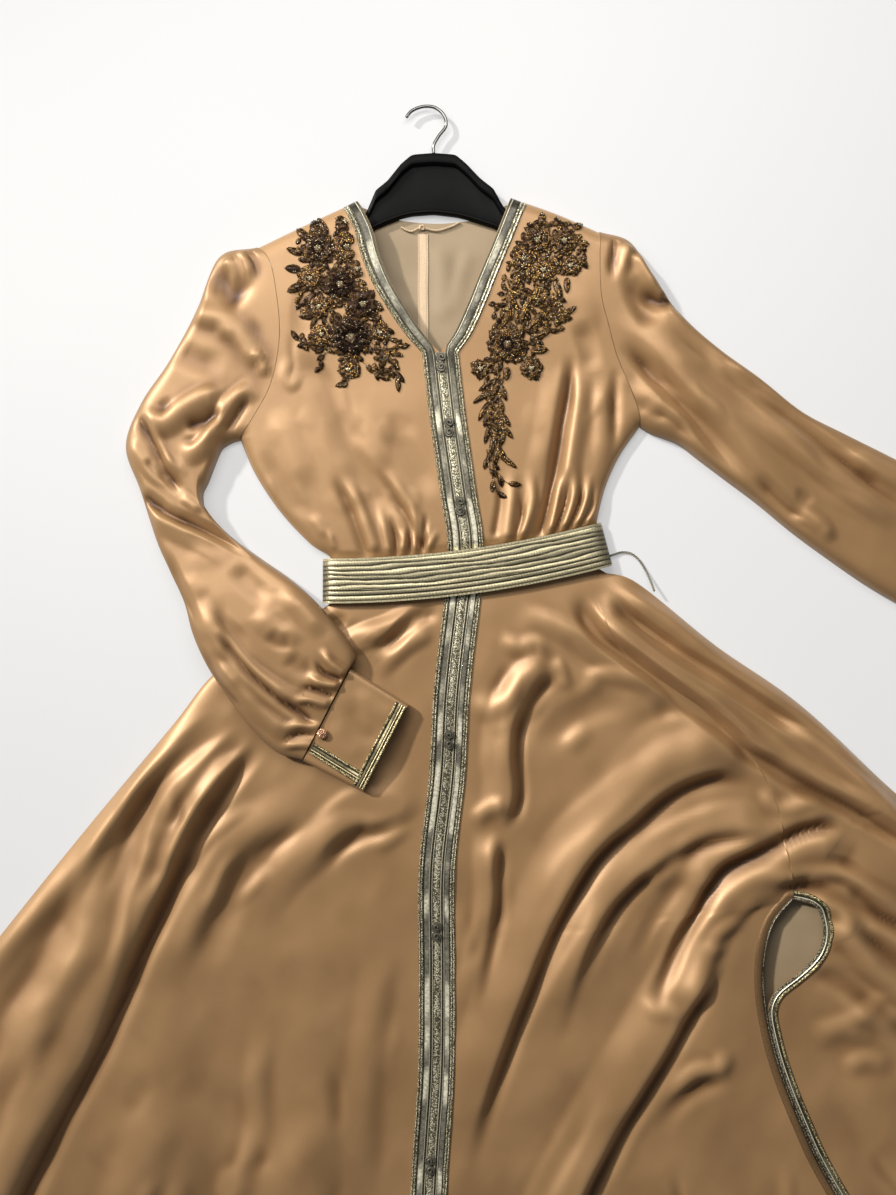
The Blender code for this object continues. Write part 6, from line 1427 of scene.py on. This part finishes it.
def belt_loop(t, out, relief_at=0.0):
    """One loop of the belt at t across its width, moved out from its inside."""
    s = np.cos(np.linspace(0.0, math.pi, BELT_FRONT_COLS)) * 0.35
    s = s + np.linspace(1, -1, BELT_FRONT_COLS) * 0.65
    x = s * (BELT_HALF_LENGTH - BELT_WALL + out)
    fall = np.clip((1 - np.abs(s)) * BELT_HALF_LENGTH / BELT_FALL, 0, 1)
    low = BELT_UNDER + 0.35
    z = low + (BELT_TOP - low) * np.sqrt(1 - (1 - fall) ** 2) + out * np.minimum(1, fall * 3)
    z = z + relief_at * np.clip((1 - np.abs(s)) * 12, 0, 1)
    back = np.linspace(-0.97, 0.97, BELT_BACK_COLS)
    x = np.concatenate([x, back * BELT_HALF_LENGTH])
    z = np.concatenate([z, np.full(BELT_BACK_COLS, BELT_WALL - out)])
    slope = np.arctan(WAIST_SLOPE + 2 * WAIST_CURVE * x)
    return np.stack([x - t * np.sin(slope), waist_y(x) + t * np.cos(slope), z], -1)


loops, tints = [], []
front_x = belt_loop(0, BELT_WALL)[:BELT_FRONT_COLS, 0]
for share in np.linspace(0, 1, BELT_ROWS):
    wander = 0.016 * np.sin(front_x * 0.42 + share * 9) + 0.007 * np.sin(front_x * 1.13 + share * 17)
    inner_share = np.clip((share - BELT_EDGE + wander * (0.3 < share < 0.9)) / (1 - 2 * BELT_EDGE), 0, 1)
    place = inner_share * BELT_RIBS
    q = np.abs(place - np.floor(place) - 0.5) * 2
    stitch = 0.5 + 0.5 * np.cos(2 * math.pi * (front_x / RIB_STITCH + q * 0.4 + np.floor(place) * 0.37))
    rib = np.sqrt(np.clip(1 - q ** 2.2, 0, 1))
    raised = RIB_HEIGHT * rib * (0.86 + 0.14 * stitch)
    which = np.clip(np.floor(place).astype(int), 0, BELT_RIBS - 1)
    # painted shade in the grooves between ribs, painted highlight on rib tops and stitches; each rib keeps
    # its own tone
    tone = (0.05 + 0.95 * rib ** 2.2) * (0.7 + 0.45 * stitch) * RIB_TONES[which]
    tone = tone * (0.86 + 0.2 * np.sin(front_x * 0.37 + which * 2.1))
    # painted shade towards the folded ends
    tone = tone * (0.4 + 0.6 * ease((BELT_HALF_LENGTH - np.abs(front_x)) / BELT_SHADE))
    if share < BELT_EDGE or share > 1 - BELT_EDGE:
        turn = 0.5 + 0.5 * np.sin(2 * math.pi * front_x / EDGE_STITCH)
        # painted highlight on each raised turn of the corded edges
        raised, tone = RIB_HEIGHT * (0.6 + 0.4 * turn), 0.6 + 0.5 * turn
    level = np.zeros(BELT_FRONT_COLS) + raised
    loops.append(belt_loop((share - 0.5) * BELT_WIDTH, BELT_WALL, level))
    tone = np.concatenate([tone, np.full(BELT_BACK_COLS, 0.6)])
    tints.append(tone[:, None] * BELT_TINT)
inside = np.array([belt_loop((share - 0.5) * BELT_WIDTH * 0.98, 0.0)
                   for share in np.linspace(0, 1, BELT_ROWS)])
points, faces = shell(np.array(loops), inside, wrap=True)
belt = make("belt_ribbed", points, faces, thread_finish("belt_braid", 0.36, 0.7, 1100),
            tint=both_sides(np.array(tints)))
dress(belt, "belt")

# ---- beaded appliques ----
# Sprays of flowers and leaves on both fronts: padded petals outlined with a rope of bronze
# beads, filled with gold and dark sequins and beads, with stems of single beads between.
NIGHT = np.array([0.028, 0.014, 0.010])
BRONZE = np.array([0.27, 0.135, 0.036])
OLD_GOLD = np.array([0.78, 0.49, 0.15])
# pale beads, partly standing in for painted sparkle highlights
PALE_GLINT = np.array([0.95, 0.85, 0.58])
ROPE_STEP, ROPE_BEAD = 0.15, 0.10
FILL_STEP, FILL_BEAD = 0.21, 0.10
STEM_STEP, STEM_LEAF_WIDTH = 0.17, 0.56
PETAL_RINGS = ((1.0, 0.4), (0.72, 0.75))  # reach and rise of the outer petals and the inner
MAT_BEADS = 62  # beads in a mat of one centimetre's radius
SPRIG_TRIES = 2600
PETAL_ROWS, PETAL_COLS = 7, 5
PETAL_RISE = 0.16

Flower = namedtuple("Flower", "x y reach petals mat tone height")
# x, y: its middle. mat: share of its reach covered by close beads. tone: 0 dark, 1 gold
Leaf = namedtuple("Leaf", "x y turn length width tone")
# x, y: its root. turn: degrees from +X
Stem = namedtuple("Stem", "points leaves length tone")

TRIM_CLEAR = 2.5  # beadwork starts this far from the front's own line
SPRIG_ROOM = 0.62  # small leaves are sown no closer than this
APPLIQUES = {"left": {
    "neck": NECK_LEFT,
    "ground": [
        (-13.5, 27, 3.2), (-14.8, 33.2, 2.6), (-11.2, 31, 2.6), (-17.3, 37.5, 2.7), (-17.8, 33.8, 2),
        (-14.2, 37.8, 2.4), (-13.9, 40.6, 1.4), (-18.6, 30.8, 1.6), (-17.6, 26.8, 1.9),
        (-9.9, 26.6, 2), (-13.6, 23.6, 1.5), (-9.4, 24, 1.6), (-16.4, 30.2, 1.8)],
    "flowers": [
        (-13.5, 27.1, 2.9, 11, .66, .15, .5), (-14.7, 33.2, 2.1, 9, .66, .1, .45),
        (-12, 30.9, 2.1, 8, .45, .1, .4), (-17.3, 37.4, 2.2, 8, .55, .25, .4),
        (-13.9, 37.6, 2, 8, .25, .6, .35), (-14, 40.6, 1.5, 7, .3, .3, .3),
        (-18.2, 33.9, 1.6, 7, .2, .7, .3), (-17.2, 30.6, 1.5, 7, .2, .7, .3),
        (-16.9, 27.4, 1.4, 6, .2, .8, .3), (-13.8, 23.3, 1.3, 6, .2, .8, .28),
        (-12.6, 35, 1.3, 6, .3, .5, .3), (-10, 27.6, 1.2, 6, .2, .6, .25)],
    "leaves": [
        (-18.6, 38.6, 132, 1.9, .9, .3), (-17.6, 39.2, 100, 1.9, 1, .3),
        (-16.2, 39, 118, 2.6, .8, .2), (-14.6, 41.6, 110, 1.4, .8, .3),
        (-13.4, 41.6, 70, 1.2, .8, .4), (-19.2, 36.8, 160, 1.9, .7, .4),
        (-19.4, 35, 175, 1.8, .9, .1), (-19.2, 33.2, 205, 1.9, .9, .3), (-18, 32.2, 250, 1.8, .8, .3),
        (-18.2, 29.8, 190, 1.4, .8, .5), (-9.8, 32.4, 48, 1.3, .8, .2),
        (-9.4, 30.2, -10, 1.3, .9, .2), (-12, 36.4, 30, 2, .8, .6), (-12.2, 38.4, 60, 2.2, .8, .4),
        (-16.4, 35.4, 210, 1.6, .8, .7), (-15.8, 31.4, 230, 1.8, .8, .6)],
    "stems": [
        ([(-17.2, 26), (-18.6, 26), (-20, 27)], 3, 1.3, .15),
        ([(-16.4, 25.4), (-17, 24.4), (-17.3, 23.4)], 3, 1.1, .2),
        ([(-10.9, 26.4), (-9.2, 25.2), (-7.9, 22.2)], 7, 1.4, .6),
        ([(-10.4, 25.4), (-8.8, 25.4), (-7, 26.4)], 6, 1.2, .5),
        ([(-12, 24.2), (-10.6, 23.2), (-9.9, 22.4)], 4, 1, .7),
        ([(-13.6, 22.4), (-14.4, 21.6)], 3, .9, .6)],
}, "right": {
    "neck": NECK_RIGHT,
    "ground": [
        (5.6, 37, 2.2), (8.6, 38.6, 2.5), (11.8, 38.6, 2.2), (12.8, 36.2, 1.8), (9.4, 35.2, 2.4),
        (6.4, 33.8, 2.2), (5, 30.6, 2.4), (5.2, 27, 2.8), (8.6, 31.4, 2), (10.9, 29.4, 1.8),
        (7.9, 23.6, 1.4), (3, 23.4, 1.6), (8, 27.4, 1.8), (3.4, 20.6, 1.5), (3.4, 17.6, 1.3),
        (3.8, 15.2, 1.1)],
    "flowers": [
        (6.9, 36.2, 1.6, 7, .35, .7, .4), (8.5, 38.4, 2, 8, .35, .6, .42),
        (11.7, 38.3, 1.8, 8, .35, .5, .38), (5, 26.3, 2.5, 12, .38, .55, .5),
        (7.9, 23.4, 1.5, 7, .3, .6, .35), (1.9, 23.4, 1.3, 7, .3, .6, .3),
        (9.2, 34.9, 1.7, 7, .25, .9, .35), (12.4, 35.4, 1.3, 6, .25, .8, .3)],
    "leaves": [
        (7, 40, 120, 1.8, .8, .8), (9, 40.2, 85, 1.6, .8, .7), (11, 40, 100, 1.3, .8, .8),
        (12.8, 39.8, 40, 1.5, .8, .7), (13.3, 38, 0, 1.3, .8, .8), (13.4, 36.4, -50, 1.6, .8, .6),
        (10.4, 36.6, -60, 1.8, .8, .8), (7.4, 35.6, -80, 2, .8, .9), (6.2, 34.6, -100, 2, .8, .8),
        (10.6, 33.6, -70, 2.2, .8, .8), (8.6, 33.2, -100, 2, .8, .9), (12, 34, -90, 1.8, .7, .7),
        (5.4, 29, 92, 3.6, .9, .8), (4.3, 28.8, 112, 3.4, .9, .7), (6.6, 28.6, 72, 3.6, .9, .9),
        (7.5, 27.9, 50, 3.2, .9, .8), (7.9, 26.9, 26, 2.6, .8, .7), (8, 25.6, 2, 1.8, .8, .8),
        (3.3, 24.4, -120, 1.4, .8, .6), (5, 23.6, -95, 1.5, .8, .7), (3.2, 31.8, 40, 2.4, .9, .8),
        (5.4, 32.4, 60, 2.2, .9, .7)],
    "stems": [
        ([(8.8, 28.4), (10.4, 29.4), (12, 29.8)], 6, 1.4, .8),
        ([(10.2, 32.4), (11.2, 31), (11.6, 29.6)], 5, 1.3, .8),
        ([(4.4, 33.2), (7.4, 31.6), (10.4, 31.8)], 7, 1.4, .9),
        ([(3.8, 22.6), (2.9, 20.4), (2.7, 18), (3.2, 15.6), (4.2, 13)], 14, 2, .7),
        ([(4.6, 22.8), (4.1, 20), (4.4, 17.4), (4.6, 15.6)], 9, 1.7, .8),
        ([(3, 14.6), (3.2, 12.4), (4.4, 10.4), (5.6, 9.6)], 4, 1.2, .4),
        ([(2.6, 13.8), (3, 11.4), (4, 8.4)], 4, 1.4, .4)],
}}


def beside_front(points, design):
    """Whether points keep off the front trim, which lies along the neck and the buttons."""
    line = np.vstack([design["neck"], CENTRE_FRONT[1:]])[::-1]
    across = points[..., 0] - np.interp(points[..., 1], line[:, 1], line[:, 0])
    way = np.sign(design["ground"][0][0])
    return across * way > TRIM_CLEAR


def heading(degrees):
    return np.array([math.cos(math.radians(degrees)), math.sin(math.radians(degrees))])


def sprigs(ground, flowers, rng):
    """Small leaves sown over the whole ground of an applique, wherever there is room."""
    discs = np.array(ground)
    kept = []
    for _ in range(SPRIG_TRIES):
        x, y, r = discs[rng.integers(len(discs))]
        turn, out = rng.uniform(0, 2 * math.pi), r * math.sqrt(rng.random())
        root = np.array([x + out * math.cos(turn), y + out * math.sin(turn)])
        length, way = rng.uniform(0.75, 1.3), rng.uniform(0, 360)
        middle, tip = root + heading(way) * length / 2, root + heading(way) * length
        covered = (np.linalg.norm(discs[:, :2] - tip, axis=1) < discs[:, 2] - 0.1).any()
        inside_flower = any(math.hypot(middle[0] - f.x, middle[1] - f.y) < f.reach * 0.72
                            for f in flowers)
        crowded = any(np.linalg.norm(middle - other[0]) < SPRIG_ROOM for other in kept)
        if covered and not inside_flower and not crowded:
            kept.append((middle, root, way, length))
    return [(root, way, length, 0.5, rng.choice([.1, .5, .9]), 0.12, 0.0)
            for _, root, way, length in kept]


def petal_half(t):
    """A petal's half width along it, as a share of its widest: fuller towards its root."""
    return np.sin(math.pi * t ** 0.8) ** 0.58


def petal(root, turn, length, width, rise, rng):
    """A padded petal: its dome, its rope of beads, and what fills it, over z = 0."""
    ahead = heading(turn)
    aside = np.array([-ahead[1], ahead[0]])
    t = np.linspace(0, 1, PETAL_ROWS)[:, None]
    w = np.linspace(-1, 1, PETAL_COLS)[None]
    half = width / 2 * petal_half(t)
    base = np.array(root) + (t * length)[..., None] * ahead + (half * w)[..., None] * aside
    dome = rise * (1 - w * w) * np.sin(math.pi * np.clip(t, .02, .98)) ** 0.6
    rim_t = np.linspace(0.02, 1, max(int(length * 1.15 / ROPE_STEP), 5))
    rim_half = width / 2 * petal_half(rim_t)
    edges = [np.array(root) + rim_t[:, None] * length * ahead + hand * rim_half[:, None] * aside
             for hand in (1, -1)]
    rim = np.vstack([edges[0], edges[1][:-1]])
    spots, levels = [], []
    for share in np.arange(0.18, 0.9, FILL_STEP / length):
        reach = width / 2 * petal_half(share) - ROPE_BEAD * 1.2
        count = max(int(2 * reach / FILL_STEP), 0) + 1
        for k in range(count):
            across = 0 if count == 1 else reach * (2 * k / (count - 1) - 1)
            spots.append(np.array(root) + share * length * ahead + across * aside)
            q = across / (width / 2)
            levels.append(rise * (1 - q * q) * math.sin(math.pi * share) ** 0.6)
    spots = np.array(spots) + rng.normal(0, 0.02, (len(spots), 2))
    return base, dome, rim, spots, np.array(levels)


def tone_of(tone, rng, count):
    """Bead tints: mostly one tone, with some dark, gold and pale ones among them; the pale ones are partly
    painted sparkle highlights.
    """
    pick = rng.random(count)[:, None]
    main = (BRONZE * (1 - tone) * 0.45 + OLD_GOLD * tone * 1.25) * rng.uniform(0.25, 1.5, (count, 1))
    out = np.where(pick < 0.42 - 0.16 * tone, NIGHT, main)
    return np.where(pick > 0.92 - 0.06 * tone, PALE_GLINT * rng.uniform(0.5, 1.1, (count, 1)), out)


bead_finish = thread_finish("bronze_beads", 0.25, 0.8, 700)
rng = np.random.default_rng(17)
for side, design in APPLIQUES.items():
    petals, clouds = [], []
    flowers = list(map(Flower._make, design["flowers"]))
    for f in flowers:
        width = 2 * math.pi * f.reach * 0.74 / f.petals
        for ring, (share, rise) in enumerate(PETAL_RINGS):
            for k in range(f.petals):
                turn = 360 * (k + 0.5 * ring) / f.petals + rng.uniform(-8, 8)
                petals.append((np.array([f.x, f.y]) + heading(turn) * 0.2 * f.reach, turn,
                               f.reach * 0.8 * share * rng.uniform(0.85, 1.1), width, f.tone,
                               f.height * rise * 0.5, 0.12 * ring))
        radius = f.mat * f.reach
        k = np.arange(int(radius ** 2 * MAT_BEADS) + 5) + 0.5
        r = radius * np.sqrt(k / k[-1])
        a = k * GOLDEN_TURN
        mat_xy = np.stack([f.x + r * np.cos(a), f.y + r * np.sin(a)], -1)
        lift = f.height * (0.75 + 0.35 * (1 - (r / r.max()) ** 2))
        dark = NIGHT * rng.uniform(0.6, 1.8, (len(k), 1))
        # a few pale beads in each dark mat and seven at its middle, partly painted sparkle highlights
        clouds.append((mat_xy, lift, 0.11, np.where(rng.random((len(k), 1)) > 0.9, PALE_GLINT * 0.6, dark)))
        clouds.append((mat_xy[:7], lift[:7] + 0.1, 0.13, PALE_GLINT[None] * 0.8))
    for leaf in map(Leaf._make, design["leaves"]):
        petals.append(((leaf.x, leaf.y), leaf.turn, leaf.length, leaf.width, leaf.tone,
                       PETAL_RISE, 0.05))
    for stem in map(Stem._make, design["stems"]):
        curve = smooth(stem.points)
        line = along(curve, np.linspace(0, 1, int(run_of(curve)[-1] / STEM_STEP)))
        clouds.append((line, np.full(len(line), 0.12), 0.10, tone_of(stem.tone, rng, len(line))))
        for k in range(stem.leaves):
            share = (k + 0.7) / stem.leaves
            behind, at, ahead = along(curve, [share - .05, share, min(share + .05, 1)])
            turn = math.degrees(math.atan2(*(ahead - behind)[::-1]))
            spread = rng.uniform(14, 40) * (1 if k % 2 else -1)
            petals.append((at, turn + spread, stem.length * rng.uniform(0.65, 1.25), STEM_LEAF_WIDTH,
                           stem.tone * rng.uniform(0.3, 1.2), PETAL_RISE, 0.0))
    petals += sprigs(design["ground"], flowers, rng)
    parts, tint = [], []
    for root, turn, length, width, tone, rise, lift in petals:
        base, dome, rim, spots, levels = petal(root, turn, length, width, rise, rng)
        if not beside_front(base, design).all():
            continue
        ground = bodice_height(base) + 0.05 + lift
        points = with_height(base, ground + 0.03 + dome).reshape(-1, 3)
        parts.append((points, grid_faces(PETAL_ROWS, PETAL_COLS)))
        tint.append(np.tile(NIGHT + BRONZE * 0.15 * tone, (len(points), 1)))
        clouds.append((rim, np.full(len(rim), 0.09 + lift), ROPE_BEAD,
                       (BRONZE * 0.28 + OLD_GOLD * 0.08 * tone) * rng.uniform(0.4, 1.4, (len(rim), 1))))
        clouds.append((spots, levels + lift + 0.08, FILL_BEAD, tone_of(tone, rng, len(spots))))
    centres = np.vstack([c[0] for c in clouds])
    lifts = np.concatenate([c[1] for c in clouds])
    sizes = np.concatenate([np.full(len(c[0]), c[2]) for c in clouds])
    sizes = sizes * rng.uniform(0.85, 1.15, len(centres))
    colours = np.vstack([np.broadcast_to(c[3], (len(c[0]), 3)) for c in clouds])
    clear = beside_front(centres, design)
    centres, lifts, sizes, colours = centres[clear], lifts[clear], sizes[clear], colours[clear]
    ground = bodice_height(centres)
    bead_points, bead_faces, bead_tints = bead_cloud(
        np.column_stack([centres, ground + lifts]), sizes, colours, cut_bead)
    points, faces = joined(parts + [(bead_points, bead_faces)])
    spray = make("applique_%s_beads" % side, points, faces, bead_finish, sharp=180,
                 tint=np.vstack(tint + [bead_tints]))
    dress(spray, "applique_" + side)

# ---- hanger ----
# A black moulded hanger with a raised rim round a hollowed face, and a dark chrome hook
# screwed into its top.
HANGER_MIDDLE = -3.7
HANGER_LOW = REST + 0.02
# cuts through the hanger: x, its upper and lower edges, the heights of its rim and hollow
HANGER = [
    (-22, 37.4, 35.7, .6, .5), (-21.2, 38, 35.2, .95, .8), (-18, 39.6, 36.3, 1.15, .9),
    (-14.5, 41.2, 37.7, 1.2, .9), (-12.9, 41.4, 38.7, 1.1, .85), (-11.7, 42.3, 39.6, 1.1, .85),
    (-10.6, 44.8, 40.4, 1.4, .9), (-9.2, 45.9, 41, 1.5, .9), (-7.6, 47.9, 41.6, 1.5, .9),
    (-6.3, 49, 41.9, 1.5, .9), (HANGER_MIDDLE, 49.2, 42.1, 1.5, .9), (-1.1, 49, 41.8, 1.5, .9),
    (.2, 47.9, 41.5, 1.5, .9), (1.8, 46.2, 41, 1.5, .9), (3.4, 45, 40.5, 1.4, .9),
    (4.6, 42.9, 39.9, 1.2, .9), (5.8, 41.7, 39.2, 1.1, .9), (8, 41.6, 38.4, 1.2, .9),
    (11.5, 40.2, 37.2, 1.15, .9), (13.8, 38.9, 36.1, .95, .8), (14.6, 38.3, 36.6, .6, .5),
]
HANGER_ROWS = 150
RIM_WIDTH = 1.15
HOOK_LEVEL, HOOK_WIRE = 0.85, 0.40
HOOK_ROUTE = [(HANGER_MIDDLE, 49.25), (-3.7, 50.2), (-3.1, 51.3), (-2.25, 52.5), (-2.5, 53.8),
              (-3.6, 54.7), (-5.0, 54.8), (-6.3, 54.3), (-7.0, 53.5)]

table = np.array(HANGER)
x = np.interp(np.linspace(0, 1, HANGER_ROWS), run_of(table[:, :2]) / run_of(table[:, :2])[-1], table[:, 0])
blur = np.array([1, 4, 6, 4, 1]) / 16
cuts = []
for column in range(1, 5):
    values = np.interp(x, table[:, 0], table[:, column])
    cuts.append(np.convolve(np.pad(values, 2, mode="edge"), blur, "valid"))
upper, lower, rim, recess = cuts
deep = upper - lower
rim_in = np.minimum(RIM_WIDTH, deep * 0.3)
slope_in = np.minimum(1.5, deep * 0.42)
profile = [(upper, HANGER_LOW + 0 * x), (upper, rim * 0.5), (upper - 0.05, rim * 0.8),
           (upper - 0.18, rim * 0.95), (upper - 0.4, rim), (upper - rim_in, rim),
           (upper - rim_in - 0.1, rim - 0.06), (upper - slope_in, recess + 0.03),
           (upper - slope_in - 0.1, recess), (lower + 0.55, recess), (lower + 0.45, recess + 0.05),
           (lower + 0.38, recess + 0.12), (lower + 0.2, recess + 0.12),
           (lower + 0.05, recess * 0.9), (lower, recess * 0.6), (lower, HANGER_LOW + 0 * x)]
grid = np.stack([np.stack([x, y, z], -1) for y, z in profile], 1)
black_plastic, tree, shader = blank_finish("black_plastic", 0.5)
shader.inputs["Specular IOR Level"].default_value = 0.08
mottled(tree, shader, noise(tree, 40, 3.0), (.0015, .0015, .0016), (.003, .003, .0032))
relief_bump(tree, shader, noise(tree, 900, 3.0), 0.00012, 0.35)
hanger = make("hanger_moulding", grid.reshape(-1, 3), capped(HANGER_ROWS, len(profile)),
              black_plastic, sharp=40)
dress(hanger, "hanger_body")

line = smooth([(*p, HOOK_LEVEL) for p in HOOK_ROUTE], 14)
radius = np.full(len(line), HOOK_WIRE / 2)
radius[-1] *= 0.6
dark_chrome, tree, shader = blank_finish("dark_chrome", 0.18, 1.0)
mottled(tree, shader, noise(tree, 60, 3.0), (.16, .155, .15), (.24, .235, .23))
hook = make("hanger_hook_wire", *sweep(line, radius, 18), dark_chrome)
dress(hook, "hanger_hook")

# ---- tape and hanging loop ----
# A cream cotton tape is stitched flat over the back's seam, inside the neck. A soft cream
# cord is sewn across its top as a hanging loop, with a knot at the tape.
TAPE_EDGES = (-5.6, -4.4)
TAPE_ROWS, TAPE_COLS = 201, 9
TAPE_TOP, TAPE_FOOT = 39.8, 12.0
LOOP_ROUTE = [(-7.6, 40.6, 0.42), (-6.4, 40.1, 0.44), (-5.2, 40.55, 0.5), (-3.4, 40.2, 0.44),
              (-1.6, 40.7, 0.42), (-0.6, 41.2, 0.42)]
LOOP_CORD, LOOP_PITCH = 0.25, 0.7
KNOT_CORD = 0.1  # radius of the cord in its knot
CREAM = np.array([0.66, 0.50, 0.33])

s = even(TAPE_ROWS, TAPE_COLS)
y = np.repeat(np.linspace(TAPE_TOP, TAPE_FOOT, TAPE_ROWS)[:, None], TAPE_COLS, 1)
x = TAPE_EDGES[0] + (TAPE_EDGES[1] - TAPE_EDGES[0]) * s + 0.03 * np.sin(y * 0.9)
xy = np.dstack([x, y])
edge = np.abs(np.minimum(s, 1 - s) - 0.13) < 0.04
z = back_height(xy) + SEAM + 0.09 - 0.02 * edge
under = back_height(xy) + SEAM
points, faces = shell(with_height(xy, z), with_height(xy, under))
tape_thread = thread_finish("cream_tape", 0.85, 0.0, 1600)
tint = CREAM * (1.0 - 0.28 * edge)[..., None]
tape = make("seam_tape_cloth", points, faces, tape_thread, tint=both_sides(tint))
dress(tape, "back_seam_tape")

line = smooth(LOOP_ROUTE, 16)
turn = np.linspace(0, 2 * math.pi, 40, endpoint=False)
knot_line = np.stack([-5.2 + 0.26 * np.cos(turn) + 0.10 * np.cos(2 * turn),
                      40.5 + 0.22 * np.sin(turn) + 0.08 * np.sin(3 * turn),
                      0.60 + 0.10 * np.sin(2 * turn)], -1)
points, faces = joined([twisted(line, LOOP_CORD, LOOP_PITCH),
                        sweep(knot_line, KNOT_CORD, 8, closed=True)])
hanging_loop = make("hanging_loop_cord", points, faces, tape_thread, tint=CREAM * 0.95)
dress(hanging_loop, "hanging_loop")
